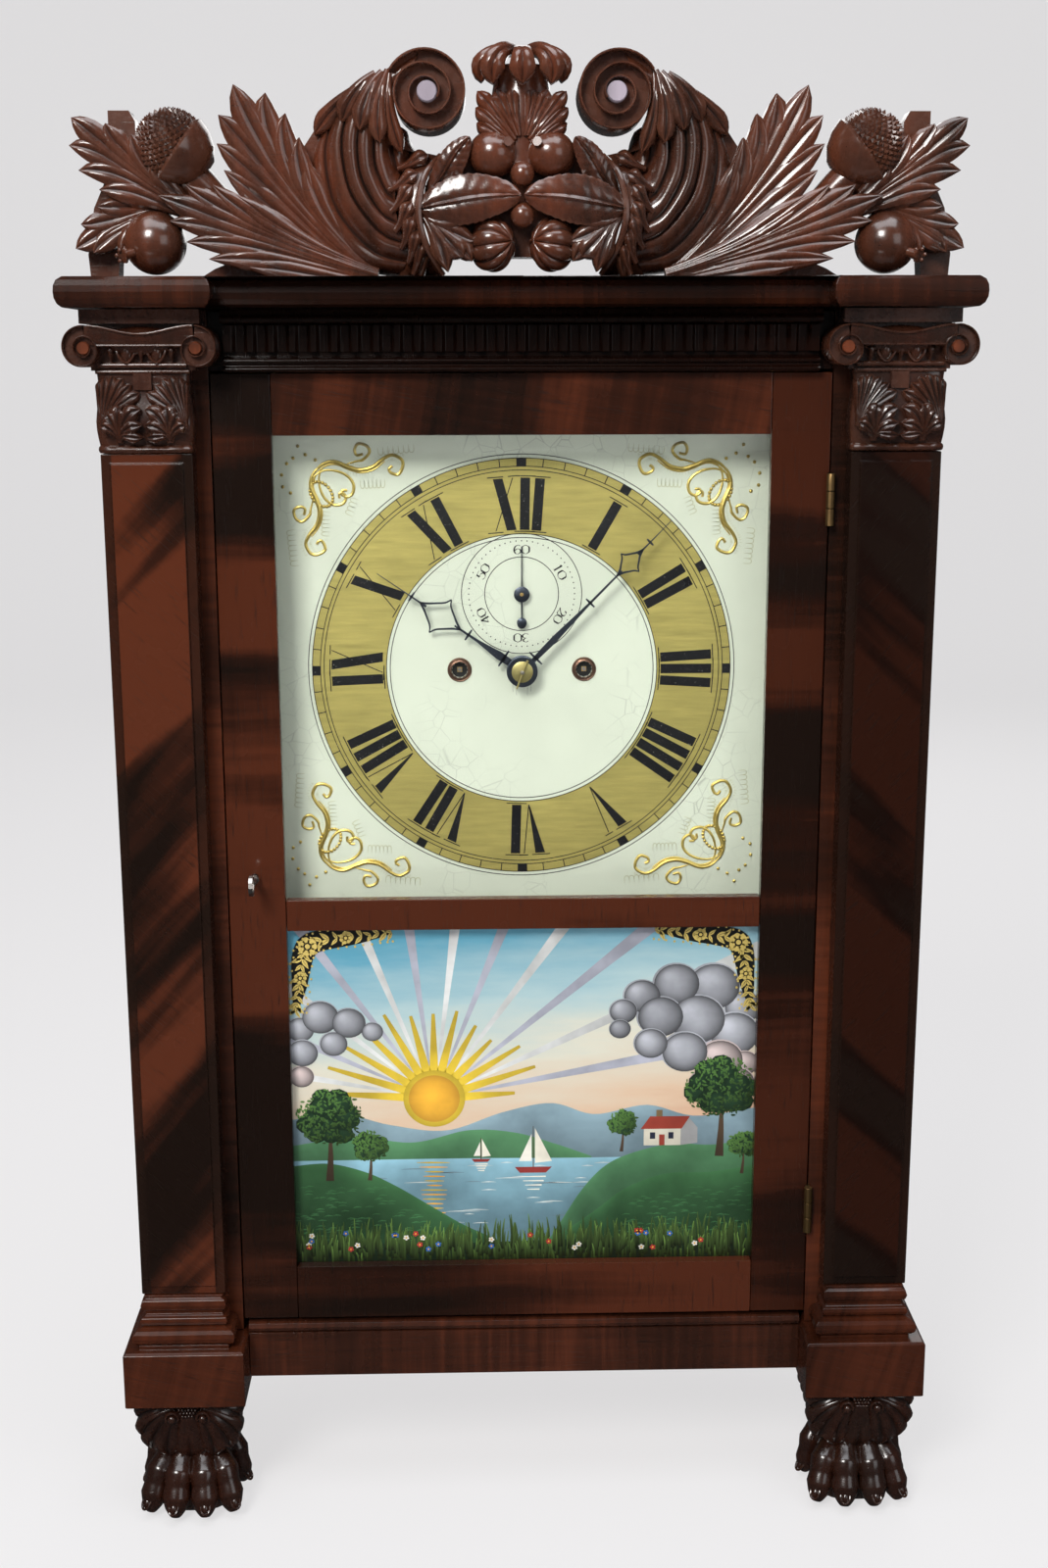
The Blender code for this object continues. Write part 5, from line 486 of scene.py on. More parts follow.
def wear_group():
    """Rubbed arrises and darkened hollows, from the curve of the surface; on wood the darkening is painted
    shade.
    """
    tree, enter, leave = new_group(
        "rub_and_dark_hollows",
        [("Color", "NodeSocketColor", None), ("Rubbed", "NodeSocketColor", None),
         ("Dust", "NodeSocketColor", None),
         ("Rub", "NodeSocketFloat", 0.6), ("Soil", "NodeSocketFloat", 0.5)],
        [("Color", "NodeSocketColor"), ("Hollow", "NodeSocketFloat")])
    point = node(tree, "ShaderNodeNewGeometry").outputs["Pointiness"]
    place = object_place(tree)
    patchy = ramp(tree, noise_at(tree, place, 55.0, 4.0), [(0.38, grey(0.15)), (0.62, grey(1))])
    edge = ramp(tree, point, [(0.505, grey(0)), (0.56, grey(1))])
    hollow = ramp(tree, point, [(0.44, grey(1)), (0.495, grey(0))])
    rub = sums(tree, "MULTIPLY", sums(tree, "MULTIPLY", edge, patchy), enter.outputs["Rub"])
    # Hollows darkened towards the hollow colour: painted shade on the wood, darker tarnish on the metal.
    hollow_darkening = sums(tree, "MULTIPLY", hollow, enter.outputs["Soil"])
    colour = mix(tree, rub, enter.outputs["Color"], enter.outputs["Rubbed"])
    tree.links.new(mix(tree, hollow_darkening, colour, enter.outputs["Dust"]), leave.inputs["Color"])
    tree.links.new(hollow_darkening, leave.inputs["Hollow"])
    return tree


GROUPS = {}


def shared(name):
    """The shared shader group of that name, built once."""
    makers = {"mahogany_figure": figure_group, "rub_and_dark_hollows": wear_group}
    if name not in GROUPS:
        GROUPS[name] = makers[name]()
    return GROUPS[name]


def place_group(tree, name, links, **values):
    """Add a shared group, set its values and link its inputs."""
    made = tree.nodes.new("ShaderNodeGroup")
    made.node_tree = shared(name)
    for key, value in values.items():
        made.inputs[key.replace("_", " ")].default_value = value
    for label, source in links.items():
        tree.links.new(source, made.inputs[label])
    return made


def choose(tree, factor, first, second):
    """One of two shaders, or a share of each."""
    return node(tree, "ShaderNodeMixShader", {0: factor, 1: first, 2: second}).outputs[0]


def show(tree, surface, end="Material Output"):
    """Lead a shader to the surface of its material or world."""
    tree.links.new(surface, tree.nodes[end].inputs["Surface"])


def new_material(name, **values):
    """A Principled material; values are set on the shader's own sockets."""
    material = bpy.data.materials.new(name)
    material.use_nodes = True
    shader = material.node_tree.nodes["Principled BSDF"]
    for key, value in values.items():
        shader.inputs[key.replace("_", " ")].default_value = value
    return material, material.node_tree, shader


def bump(tree, shader, height, distance, strength=1.0):
    """Let a height tilt the shader's normal."""
    made = node(tree, "ShaderNodeBump", {"Height": height})
    made.inputs["Strength"].default_value = strength
    made.inputs["Distance"].default_value = distance
    tree.links.new(made.outputs[0], shader.inputs["Normal"])


def opaque(colour):
    return (*colour, 1.0)


def mahogany(name, turn, flame, flame_scale, light, shift, polish=0.4, border=None):
    """Polished mahogany with its grain turned as the piece was cut, with painted shade in the corners.

    A border, the middle and half width of a panel across the case, leaves its frame dark and plain."""
    material, tree, shader = new_material(name, Coat_Weight=polish, Coat_Roughness=0.09,
                                          Specular_IOR_Level=0.16)
    colours = finishes()
    place = object_place(tree)
    grain = stretched(tree, place, (1, 1, 1), turn, shift)
    figure = place_group(tree, "mahogany_figure", {"Vector": grain}, Flame=flame, Flame_Scale=flame_scale,
                         Dark=opaque(colours.polish_dark),
                         Middle=opaque([c * light for c in colours.polish_mid]),
                         Light=opaque([c * light for c in colours.polish_light]))
    # Near-black hollow colour: painted shade in the corners and recesses.
    rubbed_and_darkened = place_group(tree, "rub_and_dark_hollows", {"Color": figure.outputs["Color"]}, Rub=0.0, Soil=0.45,
                       Rubbed=opaque([c * 1.5 for c in colours.polish_light]), Dust=(0.010, 0.005, 0.003, 1))
    tone = rubbed_and_darkened.outputs["Color"]
    if border:
        across = node(tree, "ShaderNodeSeparateXYZ", {0: place}).outputs[0]
        away = sums(tree, "ABSOLUTE", sums(tree, "SUBTRACT", across, border[0]))
        tone = mix(tree, sums(tree, "GREATER_THAN", away, border[1]), tone,
                   mix(tree, 0.75, tone, opaque([c * 1.5 for c in colours.polish_dark])))
    tree.links.new(tone, shader.inputs["Base Color"])
    tree.links.new(figure.outputs["Roughness"], shader.inputs["Roughness"])
    bump(tree, shader, figure.outputs["Height"], 0.05 * MM, 0.12)
    return material


def carved_mahogany(name, light=1.0, rub=0.8):
    """Carved, polished solid mahogany with gouge ripples, and painted shade in its hollows."""
    material, tree, shader = new_material(name, Coat_Weight=0.8, Coat_Roughness=0.16,
                                          Specular_IOR_Level=0.4)
    colours = finishes()
    place = object_place(tree)
    grain = stretched(tree, place, (1, 1, 1), (0, QUARTER, 0))
    figure = place_group(tree, "mahogany_figure", {"Vector": grain}, Flame=0.45, Flame_Scale=22.0,
                         Dark=opaque([c * 1.6 for c in colours.polish_dark]),
                         Middle=opaque([c * light * 1.15 for c in colours.polish_mid]),
                         Light=opaque([c * light * 0.8 for c in colours.polish_light]))
    # Near-black hollow colour: painted shade in the carving's deep hollows and gaps.
    rubbed_and_darkened = place_group(tree, "rub_and_dark_hollows", {"Color": figure.outputs["Color"]}, Rub=rub, Soil=0.85,
                       Rubbed=(0.10, 0.036, 0.020, 1), Dust=(0.006, 0.003, 0.002, 1))
    tree.links.new(rubbed_and_darkened.outputs["Color"], shader.inputs["Base Color"])
    ripple = noise_at(tree, place, 220.0, 3.0)
    rough = scaled(tree, ripple, 0.20, 0.17)
    rough = sums(tree, "ADD", rough, sums(tree, "MULTIPLY", rubbed_and_darkened.outputs["Hollow"], 0.3))
    tree.links.new(rough, shader.inputs["Roughness"])
    height = sums(tree, "ADD", sums(tree, "MULTIPLY", ripple, 0.6), figure.outputs["Height"])
    bump(tree, shader, height, 0.12 * MM, 0.30)
    return material


def bare_wood(name, colour=(0.30, 0.19, 0.10), turn=(0, 0, 0)):
    """Planed softwood that has never been polished, darkened with age."""
    material, tree, shader = new_material(name, Specular_IOR_Level=0.25)
    place = object_place(tree)
    grain = stretched(tree, place, (1, 1, 0.05), turn)
    years = noise_at(tree, grain, 45.0, 3.0, 0.5, 0.6)
    fibres = noise_at(tree, stretched(tree, place, (1, 1, 0.02), turn), 420.0, 3.0)
    tone = ramp(tree, years, [(0.35, [c * 0.62 for c in colour]), (0.5, colour),
                              (0.66, [min(1, c * 1.28) for c in colour])])
    aged = mix(tree, ramp(tree, noise_at(tree, place, 7.0, 4.0), [(0.4, grey(0)), (0.75, grey(0.55))]),
               tone, [c * 0.42 for c in colour])
    lines = ramp(tree, fibres, [(0.3, grey(0.05)), (0.7, grey(0.5))])
    tree.links.new(mix(tree, 0.25, aged, lines, "MULTIPLY"), shader.inputs["Base Color"])
    tree.links.new(scaled(tree, fibres, 0.25, 0.6), shader.inputs["Roughness"])
    bump(tree, shader, fibres, 0.10 * MM, 0.7)
    return material


def metal(name, colour, roughness, tarnish, amount, metallic=1.0, scratch=900.0, bump_depth=0.02 * MM):
    """Metal with fine scratches and patches of tarnish."""
    material, tree, shader = new_material(name, Metallic=metallic)
    place = object_place(tree)
    scratches = noise_at(tree, stretched(tree, place, (1, 1, 0.08)), scratch, 2.0)
    patches = ramp(tree, noise_at(tree, place, 60.0, 5.0), [(0.42, grey(0)), (0.72, grey(1))])
    spread = sums(tree, "MULTIPLY", patches, amount)
    rubbed_and_darkened = place_group(tree, "rub_and_dark_hollows", {"Color": mix(tree, spread, colour, tarnish)}, Rub=0.5, Soil=0.7,
                       Rubbed=opaque([min(1, c * 1.25) for c in colour]),
                       Dust=opaque([c * 0.5 for c in tarnish]))
    tree.links.new(rubbed_and_darkened.outputs["Color"], shader.inputs["Base Color"])
    rough = scaled(tree, scratches, 0.16, roughness - 0.08)
    rough = sums(tree, "ADD", rough, sums(tree, "MULTIPLY", spread, 0.25))
    tree.links.new(rough, shader.inputs["Roughness"])
    bump(tree, shader, scratches, bump_depth, 0.4)
    return material


def old_glass(name):
    """Clear window glass; the light that falls through it is kept."""
    material, tree, shader = new_material(name, Base_Color=(0.97, 0.99, 0.98, 1), Transmission_Weight=1.0,
                                          IOR=1.45, Metallic=0.0)
    place = object_place(tree)
    waves = noise_at(tree, place, 14.0, 2.0)
    dust = ramp(tree, noise_at(tree, place, 90.0, 5.0), [(0.5, grey(0.015)), (0.85, grey(0.06))])
    tree.links.new(dust, shader.inputs["Roughness"])
    bump(tree, shader, waves, 0.15 * MM, 0.25)
    clear = node(tree, "ShaderNodeBsdfTransparent")
    path = node(tree, "ShaderNodeLightPath")
    soft_light = sums(tree, "MAXIMUM", path.outputs["Is Shadow Ray"], path.outputs["Is Diffuse Ray"])
    show(tree, choose(tree, soft_light, shader.outputs[0], clear.outputs[0]))
    return material


def paint(name, colour, roughness=0.4, vary=0.18, brush=120.0, coat=0.0, crackle=0.0, bump_depth=0.04 * MM,
          chips=0.0, shaded=False):
    """Oil paint with brush marks and slight colour drift.

    Where asked it has fine crackle, pale chips, or light and shade from the shape's tints."""
    material, tree, shader = new_material(name, Coat_Weight=coat, Coat_Roughness=0.1, Specular_IOR_Level=0.4)
    place = object_place(tree)
    strokes = noise_at(tree, stretched(tree, place, (0.12, 1, 1)), brush * 4, 3.0)
    drift = noise_at(tree, place, 22.0, 4.0)
    tone = mix(tree, ramp(tree, drift, [(0.35, grey(0)), (0.65, grey(1))]),
               [c * (1 - vary) for c in colour], [min(1, c * (1 + vary)) for c in colour])
    tone = mix(tree, sums(tree, "MULTIPLY", strokes, vary), tone, [c * 0.7 for c in colour])
    height = strokes
    if crackle:
        cells = node(tree, "ShaderNodeTexVoronoi", {"Vector": place}, feature="DISTANCE_TO_EDGE", Scale=90.0)
        lines = ramp(tree, cells.outputs["Distance"], [(0.0, grey(1)), (0.022, grey(0))])
        fade = ramp(tree, noise_at(tree, place, 12.0, 3.0), [(0.48, grey(0)), (0.62, grey(1))])
        cracks = sums(tree, "MULTIPLY", sums(tree, "MULTIPLY", lines, fade), crackle)
        tone = mix(tree, cracks, tone, [c * 0.35 for c in colour])
        height = sums(tree, "SUBTRACT", strokes, cracks)
    if chips:
        specks = ramp(tree, noise_at(tree, place, 900.0, 2.0, 0.7), [(0.70, grey(0)), (0.73, grey(1))])
        tone = mix(tree, sums(tree, "MULTIPLY", specks, chips), tone, (0.5, 0.5, 0.46))
    if shaded:
        tint = node(tree, "ShaderNodeAttribute", attribute_name="tint").outputs["Fac"]
        strength = scaled(tree, tint, 1.4, 0.3)
        lit = node(tree, "ShaderNodeVectorMath", {0: tone, "Scale": strength}, operation="SCALE")
        tone = lit.outputs[0]
    tree.links.new(tone, shader.inputs["Base Color"])
    tree.links.new(scaled(tree, drift, 0.15, roughness - 0.07), shader.inputs["Roughness"])
    bump(tree, shader, height, bump_depth, 0.5)
    return material


def gilding(name, colour, rough=0.42, streak=(0.10, 1, 1), metallic=0.55):
    """Gold leaf or bronze powder laid in faint level strokes."""
    material, tree, shader = new_material(name, Metallic=metallic, Specular_IOR_Level=0.5)
    place = object_place(tree)
    lines = noise_at(tree, stretched(tree, place, streak), 330.0, 4.0, 0.65)
    cloud = noise_at(tree, place, 16.0, 3.0)
    tone = mix(tree, ramp(tree, lines, [(0.3, grey(0)), (0.7, grey(1))]),
               [c * 0.84 for c in colour], [min(1, c * 1.12) for c in colour])
    thin = ramp(tree, cloud, [(0.35, grey(0)), (0.7, grey(0.35))])
    tone = mix(tree, thin, tone, [c * 0.72 for c in colour])
    tree.links.new(tone, shader.inputs["Base Color"])
    tree.links.new(scaled(tree, lines, 0.2, rough - 0.1), shader.inputs["Roughness"])
    bump(tree, shader, lines, 0.03 * MM, 0.6)
    return material


MATERIALS = {}


def material(name):
    """The named finish, built when first asked for: its maker, then the maker's values."""
    level = (0, QUARTER, 0)
    border = 20.6 * MM
    makers = {
        "stile": (mahogany, (0, 0, 0), 1.5, 15.0, 0.6, (0.3, 0, 0.2)),
        # A darker copy of the stile: painted shade on the right side, away from the key lamp.
        "right_stile": (mahogany, (0, 0, 0), 1.2, 15.0, 0.4, (0.5, 0, 0.1)),
        "rail": (mahogany, (0, radians(80), 0), 0.7, 14.0, 0.8, (0.1, 0.2, 0.5)),
        # Kept very dark: painted shade of the recessed fluted band under the cornice.
        "frieze": (mahogany, (0, 0, 0), 0.4, 14.0, 0.15, (0.1, 0.2, 0.5), 0.6),
        "left_flame": (mahogany, (0, radians(47), 0), 1.7, 22.0, 0.72, (0.2, 0, 0), 0.4,
                       (-COLUMN_X, border)),
        # A darker copy of the left flame: painted shade on the right pilaster, away from the key lamp.
        "right_flame": (mahogany, (0, radians(-42), 0), 1.5, 20.0, 0.18, (0.7, 0, 0.4), 0.4,
                        (COLUMN_X, border)),
        "moulding": (mahogany, level, 0.35, 12.0, 0.95, (0, 0, 0), 0.75),
        "cornice": (mahogany, level, 0.35, 12.0, 0.6, (0, 0, 0), 0.8),
        "side": (mahogany, (0, 0, 0), 0.7, 7.0, 1.0, (0.4, 0.1, 0)),
        "block": (mahogany, (0, radians(75), 0), 0.8, 11.0, 0.55, (0.5, 0.3, 0.2)),
        "eye": (mahogany, level, 0.4, 20.0, 2.2, (0.2, 0, 0)),
        # Lighter than the capitals and paws: painted light, standing for the crest's brightly lit horn and
        # leaves.
        "carving": (carved_mahogany, 1.5),
        "paw": (carved_mahogany, 0.30, 0.2),
        "capital": (carved_mahogany, 0.62, 0.5),
        "end_grain": (bare_wood, (0.42, 0.36, 0.42)),
        "pine": (bare_wood,),
        "poplar": (bare_wood, (0.26, 0.17, 0.09), level),
        "glass": (old_glass,),
        "brass": (metal, (0.62, 0.42, 0.15), 0.30, (0.22, 0.13, 0.05), 0.6),
        "dull_brass": (metal, (0.30, 0.19, 0.08), 0.45, (0.08, 0.05, 0.03), 0.8),
        "old_brass": (metal, (0.42, 0.36, 0.14), 0.38, (0.16, 0.11, 0.05), 0.5, 0.8),
        "copper": (metal, (0.17, 0.095, 0.065), 0.4, (0.06, 0.035, 0.03), 0.7),
        "steel": (metal, (0.42, 0.40, 0.38), 0.30, (0.12, 0.08, 0.06), 0.5),
        "blued": (metal, (0.055, 0.065, 0.085), 0.32, (0.03, 0.03, 0.035), 0.5, 0.9),
        "iron": (metal, (0.07, 0.065, 0.06), 0.62, (0.10, 0.045, 0.025), 0.7, 0.6, 300.0, 0.3 * MM),
        "bell": (metal, (0.23, 0.19, 0.14), 0.42, (0.08, 0.05, 0.03), 0.7),
        "line": (paint, (0.33, 0.25, 0.14), 0.8, 0.3, 400.0),
        "dial_ground": (paint, tuple(finishes().dial_ground), 0.33, 0.035, 90.0, 0.15, 0.5),
        "dial_gold": (gilding, tuple(finishes().dial_gold)),
        "gilt": (gilding, (0.62, 0.47, 0.13), 0.36, (1, 1, 1), 0.8),
        "black": (paint, (0.006, 0.006, 0.007), 0.35, 0.2, 200.0, 0.2),
        "dial_black": (paint, (0.008, 0.008, 0.010), 0.3, 0.2, 200.0, 0.15, 0.0, 0.04 * MM, 0.9),
        "tracery": (paint, (0.50, 0.51, 0.30), 0.4, 0.1),
        # Black for the depth of the winding holes: painted shadow.
        "hole": (paint, (0.004, 0.004, 0.004), 0.8, 0.2),
    }
    if name not in MATERIALS:
        maker, *values = makers[name]
        MATERIALS[name] = maker(name, *values)
    return MATERIALS[name]


# Stage

# The camera's place and angles in radians, fitted to the photograph, and its focal length in pixels
CAMERA_X = -28.1 * MM
CAMERA_PITCH = 0.2161
CAMERA_YAW = 0.02477
CAMERA_ROLL = -0.00263
FOCAL_PIXELS = 1937.5

# How bright the floor and the room look in polished wood, the backdrop to the camera, and the room's light
MIRRORED_FLOOR = 0.06
MIRRORED_ROOM = 0.05
SHOWN_GLOW = 1.15
ROOM_LIGHT = 0.16

PHOTO_LONG_SIDE = 1600
SENSOR_LONG_SIDE = 36.0
NEAR_CLIP = 0.01
FAR_CLIP = 50.0

# Metres: the floor's half width and front edge, where its bend starts, and the backdrop's top
FLOOR_HALF_WIDTH = 16.0
FLOOR_FRONT = -16.0
BEND_START = 3.2
BEND_RADIUS = 1.2
BEND_STEPS = 12
BACKDROP_TOP = 6.0
FLOOR_DROP = 0.3 * MM
SHADOW_SHARE = 0.26

# Each lamp's name, place, target, width and height, watts and colour
LAMPS = (
    ("key", (-0.95, -2.15, 2.15), (0, 0, 0.42), (0.9, 0.9), 68, (1.0, 0.985, 0.96)),
    ("fill", (1.5, -2.0, 1.2), (0, 0, 0.5), (1.2, 1.4), 8, (0.96, 0.98, 1.0)),
    ("top", (0.0, -0.5, 2.5), (0, 0, 0.6), (2.2, 1.2), 34, (0.93, 0.96, 1.0)),
    ("back", (0.6, 2.3, 1.7), (0, 0, 0.5), (1.6, 1.6), 16, (1, 1, 1)),
)


def make_camera():
    """The camera, at the photograph's place and angles."""
    lens = bpy.data.cameras.new("camera")
    lens.sensor_width = SENSOR_LONG_SIDE
    lens.lens = FOCAL_PIXELS / PHOTO_LONG_SIDE * SENSOR_LONG_SIDE
    lens.clip_start = NEAR_CLIP
    lens.clip_end = FAR_CLIP
    camera = link_new("camera", lens)
    level = cos(CAMERA_PITCH)
    ahead = Vector((sin(CAMERA_YAW) * level, cos(CAMERA_YAW) * level, -sin(CAMERA_PITCH)))
    right = Vector((cos(CAMERA_YAW), -sin(CAMERA_YAW), 0))
    up = right.cross(ahead)
    right_rolled = right * cos(CAMERA_ROLL) + up * sin(CAMERA_ROLL)
    up_rolled = up * cos(CAMERA_ROLL) - right * sin(CAMERA_ROLL)
    turn = Matrix((right_rolled, up_rolled, -ahead)).transposed()
    camera.matrix_world = Matrix.Translation(
        (CAMERA_X, DOOR_FRONT - sizes().camera_distance, sizes().camera_height)) @ turn.to_4x4()
    bpy.context.scene.camera = camera


def area_light(name, place, target, size, power, colour):
    """A rectangular lamp that faces its target and stays out of the picture."""
    lamp = bpy.data.lights.new(name, "AREA")
    lamp.shape = "RECTANGLE"
    lamp.size, lamp.size_y = size
    lamp.energy = power
    lamp.color = colour
    made = link_new(name, lamp)
    made.location = place
    made.visible_camera = False
    made.rotation_euler = (Vector(target) - Vector(place)).to_track_quat("-Z", "Y").to_euler()


def stage_material(name, colour, shadow_share):
    """A pale surface that shows its own colour to the camera but still takes soft shadows."""
    made, tree, shader = new_material(name, Base_Color=opaque(colour), Roughness=0.75,
                                      Specular_IOR_Level=0.2)
    glow = node(tree, "ShaderNodeEmission", Color=opaque(colour), Strength=SHOWN_GLOW)
    path = node(tree, "ShaderNodeLightPath")
    seen = sums(tree, "MULTIPLY", path.outputs["Is Camera Ray"], 1.0 - shadow_share)
    chosen = choose(tree, seen, shader.outputs[0], glow.outputs[0])
    dim = node(tree, "ShaderNodeEmission", Color=opaque(colour), Strength=MIRRORED_FLOOR)
    show(tree, choose(tree, path.outputs["Is Glossy Ray"], chosen, dim.outputs[0]))
    return made


def make_world(colour):
    """A dim cool room for the light, and the backdrop's colour where the camera looks past the floor."""
    world = bpy.data.worlds.new("studio")
    bpy.context.scene.world = world
    world.use_nodes = True
    tree = world.node_tree
    plain = tree.nodes["Background"]
    plain.inputs["Color"].default_value = (0.93, 0.95, 1.0, 1.0)
    shown = node(tree, "ShaderNodeBackground", Color=opaque(colour), Strength=1.0)
    path = node(tree, "ShaderNodeLightPath")
    strength = scaled(tree, path.outputs["Is Glossy Ray"], MIRRORED_ROOM - ROOM_LIGHT, ROOM_LIGHT)
    tree.links.new(strength, plain.inputs["Strength"])
    direct = sums(tree, "MAXIMUM", path.outputs["Is Camera Ray"], path.outputs["Is Transmission Ray"])
    show(tree, choose(tree, direct, plain.outputs[0], shown.outputs[0]), "World Output")


def make_stage():
    """Pale floor that sweeps up into a backdrop, soft lights and the camera."""
    colours = finishes()
    section = [(FLOOR_FRONT, 0.0), (BEND_START, 0.0)]
    for i in range(1, BEND_STEPS + 1):
        angle = pi / 2 * i / BEND_STEPS
        section.append((BEND_START + BEND_RADIUS * sin(angle), BEND_RADIUS * (1 - cos(angle))))
    section.append((BEND_START + BEND_RADIUS, BACKDROP_TOP))
    mesh = bpy.data.meshes.new("studio_floor")
    points = [(x, y, z - FLOOR_DROP) for y, z in section for x in (-FLOOR_HALF_WIDTH, FLOOR_HALF_WIDTH)]
    faces = [(2 * i, 2 * i + 1, 2 * i + 3, 2 * i + 2) for i in range(len(section) - 1)]
    mesh.from_pydata(points, [], faces)
    floor = link_new("studio_floor", mesh)
    mesh.shade_smooth()
    mesh.materials.append(stage_material("studio_floor", colours.floor, SHADOW_SHARE))
    make_world(tuple(colours.backdrop))
    for lamp in LAMPS:
        area_light(*lamp)
    make_camera()
    bpy.context.scene.view_settings.view_transform = "Standard"


# Case joinery from the construction model

PLAIN_NODES = {
    "side": ["left_side_board", "right_side_board"],
    "left_flame": ["left_pilaster"],
    "right_flame": ["right_pilaster"],
    "block": ["left_plinth", "right_plinth"],
    "rail": ["door_top_rail"],
    "frieze": ["frieze"],
    "moulding": ["bottom_rail"],
    "cornice": ["cornice"],
    "stile": ["door_left_stile", "door_middle_rail", "door_bottom_rail"],
    "right_stile": ["door_right_stile"],
    "pine": ["back_board"],
    "poplar": ["case_floor"],
    "carving": ["crest"],
    "capital": ["left_capital", "right_capital"],
    "paw": ["left_paw_foot", "right_paw_foot"],
    "glass": ["dial_glass"],
    "dial_ground": ["dial_board"],
    "dull_brass": ["upper_hinge_case_leaf", "lower_hinge_case_leaf", "upper_hinge_door_leaf",
                   "lower_hinge_door_leaf"],
    "brass": ["front_plate", "back_plate", "time_great_wheel", "time_drum", "center_wheel", "third_wheel",
              "escape_wheel", "minute_wheel", "hour_wheel", "strike_great_wheel", "strike_drum", "pin_wheel",
              "warning_wheel", "fly", "pendulum", "time_pulley", "strike_pulley"],
    "steel": ["door_lock", "lock_bolt", "door_key", "anchor", "hammer"],
    "blued": ["hour_hand", "minute_hand", "seconds_hand"],
    "bell": ["bell"],
    "iron": ["time_weight", "strike_weight"],
    "line": ["time_cord", "strike_cord", "time_cord_lead", "strike_cord_lead"],
    "black": ["picture_tablet"],
}
SHARP_NODES = sum((PLAIN_NODES[finish] for finish in ("glass", "line", "carving", "capital")), [])
FINE_FINISHES = ("brass", "steel", "blued", "bell", "dull_brass")
FINE_ARRIS = 0.15 * MM
WELD_DISTANCE = 0.01 * MM
ARRIS_SEGMENTS = 2
ARRIS_ANGLE = radians(32)


def soften(part, width):
    """Weld a node's loose triangles and round its arrises as use has."""
    weld = part.modifiers.new("weld", "WELD")
    weld.merge_threshold = WELD_DISTANCE
    edge = part.modifiers.new("arris", "BEVEL")
    edge.width = width
    edge.segments = ARRIS_SEGMENTS
    edge.limit_method = "ANGLE"
    edge.angle_limit = ARRIS_ANGLE
    edge.use_clamp_overlap = True
    edge.harden_normals = True


def finish_nodes():
    """Give every node its finish, and round the edges of all but the sharp ones."""
    for finish, names in PLAIN_NODES.items():
        for name in names:
            part = NODES[name]
            part.data.materials.clear()
            part.data.materials.append(material(finish))
            if name not in SHARP_NODES:
                soften(part, FINE_ARRIS if finish in FINE_FINISHES else sizes().arris)


class OBJECT_OT_clock_stage(bpy.types.Operator):
    """Lay the pale floor and set the soft lights and the camera"""

    bl_idname = "object.clock_stage"
    bl_label = "Stage"

    def execute(self, context):
        make_stage()
        return {"FINISHED"}


class OBJECT_OT_clock_case(bpy.types.Operator):
    """Finish the case, door, movement and fittings that the construction model holds"""

    bl_idname = "object.clock_case"
    bl_label = "Case and Fittings"

    def execute(self, context):
        finish_nodes()
        return {"FINISHED"}


# Crest: sizes in millimetres above the cornice, x from the middle, y from the case's middle

CREST_BACK_Y = -12.0
FINGER_ROWS = 16
FINGER_COLUMNS = 11
LOBE_LAG = 0.12
LEAF_THICK = 9.0
WIDEST = 0.74
STRAIGHT_ON = 0.05


def steps(count):
    """Equal steps from 0 to 1."""
    return [i / (count - 1) for i in range(count)]


def deep(point, y):
    """A place of the face view, (across, up), set at a depth."""
    return Vector((point[0], y, point[1]))


def flat(points, y=0):
    """Places of the face view, all set at one depth."""
    return [deep(p, y) for p in points]


def in_depth(y):
    """A step in depth alone."""
    return Vector((0, y, 0))


def right_of(tangent):
    """The direction in the face view to the right of a tangent."""
    return Vector((tangent.z, 0, -tangent.x))


def circle_spot(centre, radius, angle, y):
    """A place on a circle of the face view, at a depth."""
    return Vector((centre[0] + radius * cos(angle), y, centre[1] + radius * sin(angle)))


def arched(first, last, lift, late=0.7, fade=1.0):
    """Four points of a lobe that rises between its ends."""
    return [first, first.lerp(last, 0.35) + lift, first.lerp(last, late) + lift * fade, last]


def finger_width(t, root):
    """Half width of one lobe of a leaf: narrow in the stem, widest near the tip, then a blunt point."""
    if t < WIDEST:
        return root + (1 - root) * (t / WIDEST) ** 1.25
    return max(0.03, (1 - ((t - WIDEST) / (1 - WIDEST)) ** 1.7) ** 0.8)


def finger(carver, path, width, rise, thick, root=0.2, vein=0.55, back=CREST_BACK_Y):
    """One lobe of a leaf: a crowned strip with a gouged vein that ends in a blunt point."""
    rows = []
    for t in steps(FINGER_ROWS):
        place, tangent = bezier(path, t)
        across = right_of(tangent)
        if across.length < STRAIGHT_ON:
            across = Vector((1, 0, 0))
        across.normalize()
        half = width * finger_width(t, root)
        groove = vein * rise * min(1.0, max(0.0, (t - 0.1) * 2.2)) * min(1.0, (1.04 - t) * 6)
        row = []
        for k in range(FINGER_COLUMNS):
            u = 2 * k / (FINGER_COLUMNS - 1) - 1
            crown = rise * (0.35 + 0.65 * min(1.0, half / width)) * (1 - abs(u) ** 2.6)
            front = -crown + groove * exp(-(u / 0.24) ** 2)
            row.append(place + across * half * u + in_depth(front))
        rows.append(row)
    carver.patch(rows, lambda p: min(p.y + thick, back))


